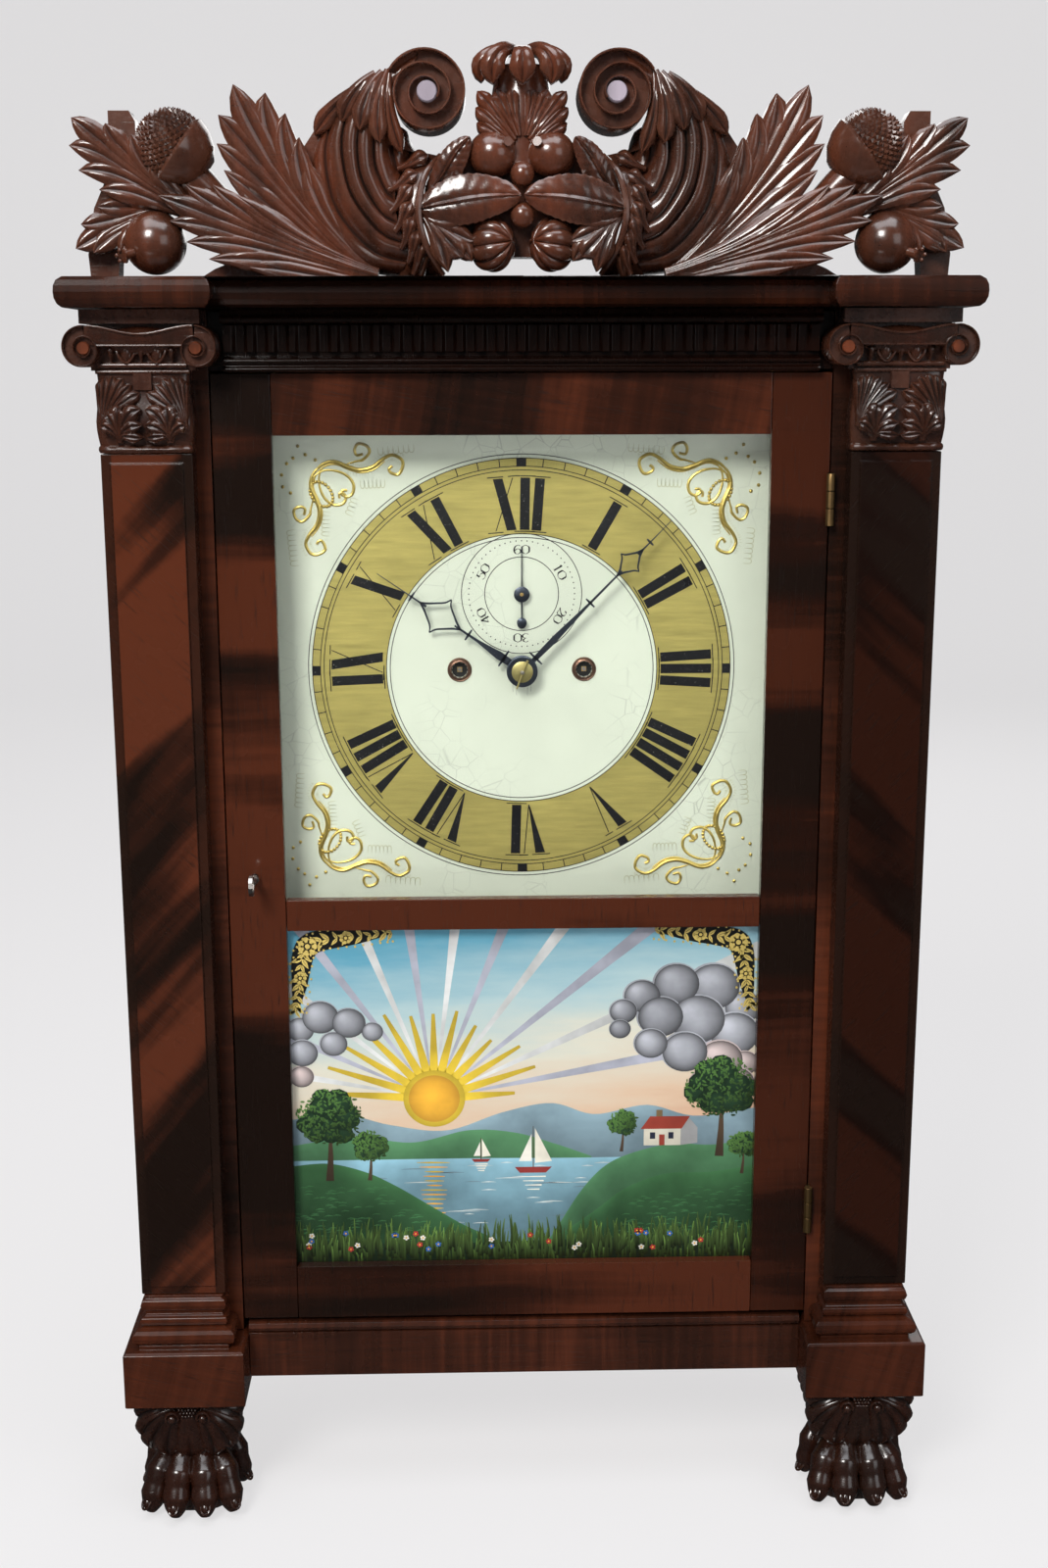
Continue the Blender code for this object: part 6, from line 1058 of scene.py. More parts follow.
def leaf(carver, spine, tips, width, depths, rise, pitch):
    """A carved leaf: lobes that share one stem and part to their tips.

    Each tip is (across, up, where it leaves the spine); depths are y at stem, middle and tip.
    The pitch parts the lobes of one side, and each lies a little behind the one before it."""
    path = flat(spine)
    ranks = {-1: 0, 1: 0}
    lobes = [(spine[-1][0], spine[-1][1], 0.8, 0, 0)]
    for across, up, leave in tips:
        place, tangent = smooth_path(path, leave)
        side = 1 if (across - place.x) * tangent.z - (up - place.z) * tangent.x > 0 else -1
        ranks[side] += 1
        lobes.append((across, up, leave, side, ranks[side]))
    for across, up, leave, side, rank in sorted(lobes, key=lambda lobe: -lobe[4]):
        stations = []
        for share, spread in ((0.0, 0.5), (0.5, 0.9), (1.0, 1.2)):
            place, tangent = smooth_path(path, leave * share)
            stations.append(place + right_of(tangent).normalized() * side * rank * pitch * spread)
        set_back = rank * LOBE_LAG * rise * 2
        lobe = [stations[0] + in_depth(depths[0] + set_back),
                stations[1] + in_depth((depths[0] + depths[1]) / 2 + set_back),
                stations[2] + in_depth(depths[1] + set_back),
                Vector((across, depths[2] + set_back, up))]
        narrow = 1.0 if rank == 0 else 0.96 - 0.03 * rank
        finger(carver, lobe, width * narrow, rise, LEAF_THICK)


def ball(carver, centre, radii, rings, sides, swell=None):
    """A closed round body; swell, where given, scales the radius at each turn about its axis."""
    points = []
    faces = []
    for i in range(rings + 1):
        height = pi * i / rings
        for k in range(sides):
            turn = tau * k / sides
            scale = swell(turn) if swell else 1.0
            points.append(Vector((centre[0] + radii[0] * scale * sin(height) * cos(turn),
                                  centre[1] + radii[1] * scale * sin(height) * sin(turn),
                                  centre[2] + radii[2] * scale * cos(height))))
    for i in range(rings):
        for k in range(sides):
            n = (k + 1) % sides
            faces.append((i * sides + k, i * sides + n, (i + 1) * sides + n, (i + 1) * sides + k))
    carver.add(points, faces)


def rod(carver, path, radii, sides, mark=0, count=24, pressed=1.0):
    """A round bar along a smooth path, tapering through the radii; pressed below 1 makes it oval."""
    rings = []
    for t in steps(count):
        place, tangent = smooth_path(path, t)
        side = tangent.cross(Vector((0, 1, 0)))
        if side.length < STRAIGHT_ON:
            side = Vector((1, 0, 0))
        side.normalize()
        up = side.cross(tangent).normalized()
        radius = between(radii, t)
        rings.append(ring_round(place, side, up, radius, radius * pressed, sides))
    carver.loft(rings, mark)


def slab(carver, outline, front, back, mark=0):
    """A flat board between two depths, cut to an outline seen from the front."""
    count = len(outline)
    points = flat(outline, front) + flat(outline, back)
    faces = [tuple(range(count)), tuple(range(2 * count - 1, count - 1, -1))]
    faces += [(k, (k + 1) % count, (k + 1) % count + count, k + count) for k in range(count)]
    carver.add(points, faces, mark)


HORN_COLLAR = [(-66, 83), (-76, 87), (-90, 92), (-104, 91), (-117, 82.7)]
HORN_OUTER = [(-117, 82.7), (-122.7, 66.7), (-123, 50.7), (-118, 31), (-105, 14.6), (-90, 4.5), (-72, 2)]
HORN_INNER = [(-66, 83), (-64, 78), (-63, 72)]
HORN_BAND = [(-63, 72), (-72.5, 51), (-71.5, 30), (-66, 14), (-72, 2)]
HORN_MOUTH = [(-47, 68.5), (-55.8, 56), (-59.5, 36), (-55.5, 18), (-46, 2)]
HORN_RIBS = 6
HORN_DEPTH = 27.0
RIB_RISE = 4.2
ROPE_TURNS = 8
NECK_LEFT = [(-115, 84), (-108, 93), (-98, 102), (-85, 111), (-71, 118), (-58, 123)]
NECK_RIGHT = [(-60, 70), (-66, 78), (-71, 87), (-74, 96), (-73, 104), (-66, 110)]

# Each strand that falls from the neck over the horn: its tip, its start, its width and its tip's depth
HORN_STRANDS = (
    ((-119, 80), (-86, 108), 5.6, -34),
    ((-103, 86), (-83, 112), 6.2, -41),
    ((-92.5, 81), (-79, 113), 6.0, -47),
    ((-81, 74), (-76, 114), 5.4, -48),
    ((-68.5, 69), (-75, 112), 4.6, -44),
)


def horn(carver):
    """The ribbed body of the horn of plenty, its rope band, its mouth and its neck."""
    collar, outer, inner, band, mouth = [
        flat(line) for line in (HORN_COLLAR, HORN_OUTER, HORN_INNER, HORN_BAND, HORN_MOUTH)]
    rows = []
    for s in steps(26):
        row = []
        for q in steps(8 * HORN_RIBS + 1):
            along = smooth_path(inner, s)[0].lerp(smooth_path(outer, s)[0], q)
            over = smooth_path(collar, q)[0].lerp(smooth_path(band, q)[0], s)
            corner = collar[0].lerp(collar[-1], q).lerp(band[0].lerp(band[-1], q), s)
            body = HORN_DEPTH * max(0.0, sin(pi * min(max(q, 0.015), 0.985))) ** 0.55
            ribs = RIB_RISE * sqrt(abs(sin(HORN_RIBS * pi * q))) * (0.55 + 0.45 * sin(pi * (0.12 + 0.8 * s)))
            row.append(along + over - corner + in_depth(CREST_BACK_Y - 3 - body - ribs))
        rows.append(row)
    carver.patch(rows, lambda p: CREST_BACK_Y)
    rows = []
    for s in steps(20):
        left = smooth_path(band, s)[0]
        right = smooth_path(mouth, s)[0]
        bulge = sin(pi * min(max(s, 0.03), 0.97)) ** 0.5
        row = []
        for q in steps(8):
            full = (16 + 12 * q + 5 * sin(pi * q)) * bulge
            row.append(left.lerp(right, q) + in_depth(CREST_BACK_Y - 10 - full))
        rows.append(row)
    carver.patch(rows, lambda p: CREST_BACK_Y)
    band_line = flat(HORN_BAND[:4] + [(-62, 5)])
    for k in range(ROPE_TURNS):
        t = (k + 0.6) / ROPE_TURNS
        place, tangent = smooth_path(band_line, t)
        side = right_of(tangent).normalized()
        if side.x < 0:
            side = -side
        bulge = sin(pi * (0.08 + 0.84 * t)) ** 0.5
        y = CREST_BACK_Y - 8 - 25 * bulge
        start = place - side * 2.5 + tangent * 8.5
        end = place + side * 10.0 - tangent * 6.5
        path = [start + in_depth(y), start.lerp(end, 0.4) + side * 2.5 + in_depth(y - 5),
                start.lerp(end, 0.7) - side * 1.5 + in_depth(y - 7), end + in_depth(y - 4)]
        finger(carver, path, 4.8, 4.0, 8.0, 0.35, 0.35)
    rim = [deep(p, y) for p, y in zip(HORN_MOUTH, (-38, -47, -51, -48, -38))]
    rod(carver, rim, [1.3, 1.9, 2.1, 2.0, 1.6], 8)
    rows = []
    for s in steps(20):
        first = smooth_path(flat(NECK_LEFT), s)[0]
        last = smooth_path(flat(NECK_RIGHT), s)[0]
        full = 28 * (1 - s) + 33 * s
        edge = 0.45 + 0.5 * s
        row = []
        for q in steps(13):
            depth = full * (edge + (1 - edge) * sin(pi * q) ** 0.6)
            row.append(first.lerp(last, q) + in_depth(CREST_BACK_Y - depth))
        rows.append(row)
    carver.patch(rows, lambda p: CREST_BACK_Y)
    for tip, start, width, y in HORN_STRANDS:
        sag = Vector((-3.0, -3.0, 3.0)) if tip[0] < -90 else Vector((-4.5, -3.5, -1))
        path = arched(deep(start, -43), deep(tip, y), sag, 0.7, 0.8)
        finger(carver, path, width, 3.0, 7.0, 0.35, 0.6)


SCALE_ROWS = 15
SCALE_DEGREES = 8.4
MELON_RIBS = 4.5
DRUM_SIDES = 48
LIP_SECTIONS = 110
BOSS_SIDES = 32
VOLUTE_CENTRE = (-54.0, 102.0)
VOLUTE_REACHES = [24.5, 22.6, 21.4, 20.4, 18.6, 14.6, 13.4, 12.2, 10.4, 8.4, 7.0]
BOSS_RADIUS = 5.8


def scroll(carver, centre, reaches, turns, start, sense, lip, floor, back, boss, width):
    """A rolled end: a drum with a spiral lip round a pale boss.

    The reaches are the lip's radii at equal steps of its turns; sense 1 winds anticlockwise."""
    def spot(turn, radius, y):
        return circle_spot(centre, radius, start + sense * tau * turn, y)

    def reach(turn):
        return between(reaches, turn / turns)

    drum = []
    for y, shrink in ((floor, 1.0), (floor + 1.0, 0.4), (back, 1.6)):
        drum.append([spot(k / DRUM_SIDES, reach(k / DRUM_SIDES) - shrink, y) for k in range(DRUM_SIDES)])
    carver.loft(drum)
    sections = []
    for t in steps(LIP_SECTIONS):
        turn = turns * t
        outer = reach(turn)
        inner = max(outer - width, 0.5)
        foot = back if turn < 1.0 else floor + 2
        edge = lip + max(0.0, turn - 1.0)
        profile = ((outer, foot), (outer, edge + 0.5), (outer - 0.3, edge),
                   (inner + 0.3, edge), (inner, edge + 0.5), (inner, floor + 2))
        sections.append([spot(turn, radius, y) for radius, y in profile])
    carver.loft(sections)
    stub = []
    for y, radius in ((floor + 1, boss), (lip + 2, boss), (lip + 1.2, boss - 0.6)):
        stub.append([spot(k / BOSS_SIDES, radius, y) for k in range(BOSS_SIDES)])
    carver.loft(stub, 1)


def scaled_fruit(carver, centre, radius):
    """A fruit covered with rows of small pyramids, held in a smooth cup."""
    ball(carver, centre, (radius, radius * 0.9, radius), 14, 24)
    axis = Vector((-0.35, -0.40, 0.85)).normalized()
    side = axis.cross(Vector((0, 1, 0))).normalized()
    other = axis.cross(side)
    for row in range(SCALE_ROWS):
        low_angle = radians(12 + SCALE_DEGREES * row)
        high_angle = low_angle + radians(SCALE_DEGREES)
        cells = max(6, int(38 * sin((low_angle + high_angle) / 2)))
        for cell in range(cells):
            turn = tau * cell / cells
            next_turn = tau * (cell + 1) / cells
            corners = []
            for tilt, spin in ((low_angle, turn), (low_angle, next_turn), (high_angle, next_turn),
                               (high_angle, turn)):
                corners.append(axis * cos(tilt) + (side * cos(spin) + other * sin(spin)) * sin(tilt))
            middle = sum(corners, Vector()).normalized()
            if middle.y > 0.3:
                continue
            base = [Vector(centre) + c * radius * 0.985 for c in corners]
            top = Vector(centre) + middle * (radius + 2.0)
            carver.add(base + [top], [(0, 1, 4), (1, 2, 4), (2, 3, 4), (3, 0, 4), (3, 2, 1, 0)])
    cup_axis = Vector((0.80, 0.12, -0.60)).normalized()
    side = cup_axis.cross(Vector((0, 1, 0))).normalized()
    other = cup_axis.cross(side)
    rings = []
    for tilt in (82, 79, 76, 60, 40, 20):
        reach = radius + (1.2 if tilt == 82 else 3.2)
        angle = radians(tilt)
        middle = Vector(centre) + cup_axis * reach * cos(angle) * 1.15
        rings.append(ring_round(middle, side, other, reach * sin(angle), reach * sin(angle), 28))
    carver.loft(rings)


def fluted_fruit(carver, centre, radii):
    """A melon whose ribs meet at a point that faces inwards."""
    def ribs(turn):
        return 0.87 + 0.15 * sqrt(abs(sin(MELON_RIBS * turn)))

    inner = Carver()
    ball(inner, (0, 0, 0), (1, 1, 1), 20, 72, ribs)
    pole = Vector((0.80, -0.55, 0.1)).normalized()
    turn = Vector((0, 0, 1)).rotation_difference(pole).to_matrix()
    moved = []
    for p in inner.points:
        spun = turn @ (p / MM)
        moved.append(Vector((centre[0] + spun.x * radii[0], centre[1] + spun.y * radii[1],
                             centre[2] + spun.z * radii[2])))
    carver.add(moved, inner.faces)


def broad_leaf(carver, spine, half_widths, depths, teeth, rise=2.0, thick=6.0):
    """A plain leaf with a raised midrib, slanted veins and a toothed edge."""
    rows = []
    path = flat(spine)
    for t in steps(41):
        place, tangent = smooth_path(path, t)
        normal = right_of(tangent).normalized()
        row = []
        for k in range(17):
            u = 2 * k / 16 - 1
            shape = max(0.02, sin(pi * min(1.0, t * 0.96 + 0.03)) ** 0.7)
            half = half_widths[0 if u < 0 else 1] * shape
            notch = 1.0 - (0.07 * ((t * teeth) % 1.0) if abs(u) > 0.97 else 0.0)
            vein = 0.5 * max(0.0, sin(tau * (t * 9 - abs(u) * 1.3))) ** 6 * (abs(u) > 0.1) * (abs(u) < 0.95)
            rib = 1.5 * exp(-(u / 0.07) ** 2) * (1 - t * 0.6)
            trench = 1.1 * exp(-((abs(u) - 0.16) / 0.07) ** 2) * (1 - t * 0.6)
            y = between(depths, t) - rise * (1 - u * u) - rib + trench + vein
            row.append(place + normal * half * u * notch + in_depth(y))
        rows.append(row)
    carver.patch(rows, lambda p: min(p.y + thick, CREST_BACK_Y))


# Each husk under the finial: its tip, its start and its width
HUSKS = (
    ((-25.5, 103), (-4, 76), 4.6),
    ((-26.5, 94), (-5, 74), 4.6),
    ((-26, 85.5), (-6, 72), 4.4),
    ((-24, 78.5), (-6, 70), 4.0),
    ((-15, 104), (-3, 78), 4.4),
    ((-5.5, 105), (-1.5, 78), 4.0),
)


def crest_half(carver):
    """The crest's left half: horn, volute, leaf sprays, fruit, and the husks beside the finial."""
    horn(carver)
    scroll(carver, VOLUTE_CENTRE, VOLUTE_REACHES, 2.5, radians(150), -1, -50.0, -43.0, CREST_BACK_Y,
           BOSS_RADIUS, 1.3)
    leaf(carver, [(-88, 3), (-106, 12), (-128, 33), (-145, 58), (-156, 82), (-164, 106.4)],
         [(-146, 102, 0.78), (-173, 90, 0.74), (-135, 91, 0.66), (-174.5, 74.5, 0.62), (-127.5, 78, 0.54),
          (-171, 60, 0.48), (-123.5, 66, 0.42), (-164, 46, 0.36), (-150, 31, 0.22)],
         9.3, (-30, -38, -40), 2.9, 1.9)
    slab(carver, [(-128, 6), (-86, 3), (-100, 60), (-119, 84), (-126, 74), (-128, 40)], -27, CREST_BACK_Y)
    leaf(carver, [(-84, 2), (-104, 5), (-128, 13), (-152, 24), (-178, 35), (-208, 45.5)],
         [(-192, 51.5, 0.78), (-202, 31.5, 0.76), (-177, 51.5, 0.66), (-193, 20, 0.64), (-164, 46, 0.56),
          (-180.5, 10.5, 0.50), (-164, 8, 0.34)],
         7.6, (-36, -45, -46), 2.9, 1.7)
    leaf(carver, [(-186, 34), (-200, 42), (-216, 55), (-230, 68), (-243, 79), (-255.5, 88)],
         [(-236.5, 85, 0.70), (-257.6, 73, 0.72), (-222, 79, 0.52), (-253, 59.5, 0.56), (-242, 49, 0.40),
          (-212, 64, 0.34)],
         7.6, (-38, -44, -44), 2.7, 1.6)
    leaf(carver, [(-198, 42), (-212, 40), (-228, 34), (-242, 26), (-257, 16.5)],
         [(-253.5, 30, 0.70), (-247, 14, 0.74), (-244, 40, 0.48), (-232, 12, 0.5), (-230, 44, 0.28)],
         7.2, (-34, -38, -42), 2.7, 1.6)
    slab(carver, [(-253, 14), (-252, 0), (-236, 0), (-234, 24), (-222.5, 48), (-222.5, 88), (-226, 94),
                  (-238, 94), (-238, 62), (-248.4, 40), (-251, 24)], -27, CREST_BACK_Y)
    slab(carver, [(-190, 0), (-150, 0), (-112, 0), (-130, 18), (-160, 14), (-180, 6)], -24, CREST_BACK_Y)
    rod(carver, [(-206, -30, 66), (-188, -30, 54), (-168, -28, 34)], [13, 11, 8], 14)
    scaled_fruit(carver, (-201.5, -33.0, 74.0), 19.5)
    ball(carver, (-212.5, -35.0, 20.0), (18, 18, 18), 20, 32)
    rod(carver, [(-222, -46, 14.5), (-227, -50, 12.5), (-229, -52, 11.8)], [2.5, 3.2, 4.2], 12, 0, 5)
    for k in range(6):
        turn = tau * k / 6
        spot = Vector((-228.6 + 3.2 * cos(turn), -52.0 + 1.5 * cos(turn), 12.0 + 3.4 * sin(turn)))
        ball(carver, spot, (1.3, 1.6, 1.3), 6, 8)
    broad_leaf(carver, [(-55, 44), (-46, 56), (-38, 68), (-30, 77)], (7.5, 9), (-42, -48, -50), 12)
    broad_leaf(carver, [(-59, 38), (-42, 41), (-22, 44), (-1.0, 45)], (14.5, 14.0), (-49, -53, -54), 13, 2.6)
    leaf(carver, [(-58, 36), (-50, 28), (-42, 20), (-34, 11)],
         [(-30, 33, 0.3), (-27, 20, 0.6), (-43, 3, 0.5), (-29, 9, 0.8)],
         7.0, (-48, -52, -50), 2.6, 1.2)
    ball(carver, (-16.5, -40.0, 68.5), (14.5, 15, 13.5), 20, 32)
    rod(carver, [(-9.5, -51, 73.5), (-8.2, -55, 74.2)], [2.0, 2.7], 12, 0, 4)
    fluted_fruit(carver, (-17.5, -42.0, 18.5), (13.5, 14, 15.5))
    for tip, start, width in HUSKS:
        path = arched(deep(start, -47), deep(tip, -40), Vector((-1.5, -4.0, 2.5)))
        finger(carver, path, width, 2.6, 9.0, 0.3, 0.6)
    for tip, width, reach in (((-23, 108.5), 6.6, -36), ((-16.5, 105.5), 7.2, -52)):
        path = [(-1.5, -30, 125), (-9.5, reach - 6, 128.5), (tip[0] - 3.5, reach - 7, tip[1] + 13),
                deep(tip, reach)]
        finger(carver, path, width, 3.2, 7.0, 0.35, 0.7)


def make_crest():
    """The carved crest: two horns of plenty, leaf sprays and fruit about a leafy finial."""
    carver = Carver((0, 0, SHELF_TOP))
    crest_half(carver)
    carver.mirror()
    for height in (57, 34.5):
        ball(carver, (0, -49, height), (7.0, 7.0, 7.2), 14, 20)
    finger(carver, [(0, -32, 125), (0, -62, 131), (0, -62, 116), (0, -55, 105)], 7.6, 3.2, 7.0, 0.35, 0.7)
    rod(carver, [(0, -27, 60), (0, -27, 90), (0, -27, 118)], [20, 19, 14], 20)
    slab(carver, [(-52, 22), (-14, 12), (14, 12), (52, 22), (56, 52), (30, 72), (-30, 72), (-56, 52)], -32,
         CREST_BACK_Y)
    made = carver.make("carved_crest", [material("carving"), material("end_grain")])
    dress(made, "case", "mahogany", "crest")


class OBJECT_OT_clock_crest(bpy.types.Operator):
    """Carve the crest with its horns, leaves and fruit"""

    bl_idname = "object.clock_crest"
    bl_label = "Crest"

    def execute(self, context):
        make_crest()
        return {"FINISHED"}


# Painted dial: sizes in millimetres from the dial's centre

PAINT_LAYER = 0.05
LINE_WIDTH = 0.5
NUMERAL_LOW = 87.3
NUMERAL_HIGH = 119.3
SERIF_HIGH = NUMERAL_HIGH + 1.0
SERIF_LOW = NUMERAL_LOW - 0.9
STROKE_WIDTH = 6.0
HAIRLINE = 0.62
HOURS = ("XII", "I", "II", "III", "IIII", "V", "VI", "VII", "VIII", "IX", "X", "XI")
V_LEAN = 1.5
STROKE_PITCH = {"II": 8.2, "IV": 11.0, "VI": 11.0, "IX": 12.0, "XI": 12.6}


def clockwise(angle, radius, along=0.0):
    """A place on the dial: an angle from the top in radians, a radius and a step sideways."""
    return Vector((radius * sin(angle) + along * cos(angle), radius * cos(angle) - along * sin(angle)))


def strap(carver, points, width, front, back, mark=0, count=None, tints=None):
    """A flat strip along points seen from the front; width gives its breadth at (t, direction).

    A count draws it through the points; without one the points steer a single curve."""
    line = flat(points)
    rows = []
    for t in steps(count or len(line)):
        place, run = smooth_path(line, t) if count else bezier(line, t)
        side = right_of(run) * width(t, run) / 2
        rows.append([place - side + in_depth(front), place + side + in_depth(front)])
    shades = [between(tints, t) for t in steps(len(rows))] if tints else None
    carver.patch(rows, lambda p: back, mark, shades)


class Painter(Carver):
    """Paints thin flat shapes on a face of the clock, across and up from a centre."""

    def __init__(self, centre, face):
        super().__init__((centre[0], face, centre[2]))

    def shape(self, outline, layer=1, mark=0):
        slab(self, outline, -layer * PAINT_LAYER, 0, mark)

    def disc(self, centre, radius, layer, mark, sides):
        turns = [tau * k / sides for k in range(sides)]
        self.shape([(centre[0] + radius * cos(turn), centre[1] + radius * sin(turn)) for turn in turns],
                   layer, mark)

    def rectangle(self, x, z, wide, high, layer=1, mark=0):
        """A level rectangle from its lower left corner."""
        self.shape([(x, z), (x + wide, z), (x + wide, z + high), (x, z + high)], layer, mark)

    def band(self, inner, outer, layer=1, mark=0, centre=(0, 0), sides=160):
        """A painted ring between two radii."""
        rings = []
        for k in range(sides):
            way = clockwise(tau * k / sides, 1.0)
            near = Vector(centre) + way * inner
            far = Vector(centre) + way * outer
            top = -layer * PAINT_LAYER
            rings.append([deep(near, top), deep(far, top), deep(far, 0), deep(near, 0)])
        self.loft(rings, mark, True)

    def circle(self, radius, layer=1, mark=0, centre=(0, 0)):
        self.band(radius - LINE_WIDTH / 2, radius + LINE_WIDTH / 2, layer, mark, centre)

    def ribbon(self, points, widths, layer=1, mark=0, count=None, tints=None):
        strap(self, points, lambda t, run: between(widths, t), -layer * PAINT_LAYER, 0, mark, count, tints)

    def rounded(self, centre, radius, layer, mark, lit, tints, tall=0.9, sides=26):
        """A spot shaded from its rim to its lit side."""
        rings = []
        shades = []
        count = 8
        y = -layer * PAINT_LAYER
        for k in range(-1, count):
            share = max(0, k) / count
            x = centre[0] + lit[0] * radius * share
            z = centre[1] + lit[1] * radius * share
            reach = radius * (1 - share)
            turns = [tau * n / sides for n in range(sides)]
            rings.append([(x + reach * cos(turn), y if k >= 0 else 0, z + reach * tall * sin(turn))
                          for turn in turns])
            shades.append(tints[0] + (tints[1] - tints[0]) * share ** 0.8)
        self.loft(rings, mark, False, shades)

    def bank(self, ridge, foot, layer=1, mark=0, tints=(0.8, 0.2), count=60):
        """Land or water from its upper edge down to a foot, shaded downwards."""
        line = flat(ridge)
        y = -layer * PAINT_LAYER
        rows = []
        for share in (0.0, 0.06, 0.2, 0.5, 1.0):
            row = []
            for t in steps(count):
                top = smooth_path(line, t)[0]
                row.append(Vector((top.x, y, top.z + (min(foot, top.z - 0.2) - top.z) * share)))
            rows.append(row)
        shades = [tints[0] + (tints[1] - tints[0]) * share for share in (0.0, 0.25, 0.55, 0.85, 1.0)]
        self.patch(rows, lambda p: 0, mark, shades)


def paint_numeral(painter, text, hour):
    """A Roman numeral that stands on the inner edge of the ring, with its top outwards."""
    places = [0.0]
    for pair in zip(text, text[1:]):
        places.append(places[-1] + STROKE_PITCH["".join(pair)])
    middle = (places[0] + places[-1]) / 2
    shift = V_LEAN * (text[0] == "V") - V_LEAN * (text[-1] == "V" and len(text) > 1)
    facing = tau * hour / 12
    mean = (NUMERAL_LOW + NUMERAL_HIGH) / 2

    def bar(low, high, width, layer=2):
        painter.shape([at(low[0] - width / 2, low[1]), at(low[0] + width / 2, low[1]),
                       at(high[0] + width / 2, high[1]), at(high[0] - width / 2, high[1])], layer)

    for letter, along in zip(text, places):
        across = along - middle - shift

        def at(side, radius):
            return clockwise(facing + across / mean * 0.75, radius, side + across * 0.25)

        if letter == "I":
            bar((0, NUMERAL_LOW), (0, NUMERAL_HIGH), STROKE_WIDTH)
            feet = [(-6.4, 6.4, SERIF_HIGH), (-6.4, 6.4, SERIF_LOW)]
        elif letter == "X":
            bar((3.2, NUMERAL_LOW), (-3.0, NUMERAL_HIGH), STROKE_WIDTH)
            bar((-6.6, NUMERAL_LOW), (6.2, NUMERAL_HIGH), HAIRLINE)
            feet = [(-9.5, 0.5, SERIF_HIGH), (3.4, 9.4, SERIF_HIGH), (-11.5, -2.0, SERIF_LOW)]
        else:
            painter.shape([at(1.6, NUMERAL_LOW), at(2.2, NUMERAL_LOW), at(-0.6, NUMERAL_HIGH),
                           at(-6.8, NUMERAL_HIGH)], 2)
            bar((2.0, NUMERAL_LOW), (6.6, NUMERAL_HIGH), HAIRLINE)
            feet = [(-10, 1.5, SERIF_HIGH), (4.0, 9.6, SERIF_HIGH)]
        for start, stop, radius in feet:
            bar(((start + stop) / 2, radius - HAIRLINE / 2), ((start + stop) / 2, radius + HAIRLINE / 2),
                stop - start)


DIGITS = {
    "0": [[(0, 1), (-0.33, 0.8), (-0.37, 0.5), (-0.33, 0.2), (0, 0), (0.33, 0.2), (0.37, 0.5), (0.33, 0.8),
           (0, 1)]],
    "1": [[(-0.12, 0.84), (0, 1), (0, 0.6), (0, 0.3), (0, 0)], [(-0.16, 0), (0, 0), (0.16, 0)]],
    "2": [[(-0.26, 0.76), (-0.12, 0.97), (0.14, 0.95), (0.27, 0.72), (0.1, 0.42), (-0.2, 0.14),
           (-0.32, 0.02)],
          [(-0.32, 0.02), (-0.05, 0.10), (0.2, 0.0), (0.36, 0.16)]],
    "3": [[(-0.26, 0.88), (0.02, 1), (0.25, 0.8), (0.08, 0.56), (-0.06, 0.53)],
          [(-0.06, 0.53), (0.22, 0.46), (0.32, 0.22), (0.05, 0), (-0.28, 0.1)]],
    "4": [[(0.12, 0), (0.12, 0.5), (0.12, 1)], [(0.12, 1), (-0.1, 0.66), (-0.36, 0.3)],
          [(-0.36, 0.3), (0, 0.3), (0.36, 0.3)]],
    "5": [[(0.28, 1), (0.06, 0.97), (-0.18, 0.97)], [(-0.18, 0.97), (-0.2, 0.76), (-0.22, 0.56)],
          [(-0.22, 0.56), (0.08, 0.63), (0.32, 0.4), (0.26, 0.12), (0, 0), (-0.28, 0.12)]],
    "6": [[(0.26, 0.92), (0.04, 1), (-0.24, 0.8), (-0.34, 0.4), (-0.2, 0.06), (0.08, 0), (0.32, 0.22),
           (0.26, 0.48), (0.02, 0.58), (-0.24, 0.42), (-0.32, 0.3)]],
}
DIGIT_HEIGHT = 5.4
DIGIT_PITCH = 5.0
SECONDS_RADIUS = 27.6
SECONDS_CIRCLES = (37.5, 23.0)
SECONDS_DOTS = 33.0
MINUTE_TRACK = 2.4


def paint_seconds(painter):
    """The small dial: two circles and its tens, radial like the hours."""
    centre = Vector((0, (SECONDS_CENTRE - DIAL_CENTRE).z / MM))
    for radius in SECONDS_CIRCLES:
        painter.circle(radius, 1, 0, centre)
    for tens in range(6):
        facing = tau * tens / 6
        for place, digit in enumerate(f"{tens or 6}0"):
            for stroke in DIGITS[digit]:
                points = [centre + clockwise(facing, SECONDS_RADIUS + (v - 0.5) * DIGIT_HEIGHT,
                                             (place - 0.5) * DIGIT_PITCH + u * DIGIT_HEIGHT * 1.15)
                          for u, v in stroke]
                upright = deep(clockwise(facing, 1), 0)

                def pen(t, run):
                    return 0.2 + 0.8 * abs(run.dot(upright)) ** 1.5

                strap(painter, points, pen, -PAINT_LAYER, 0, 0, 6 * len(stroke))


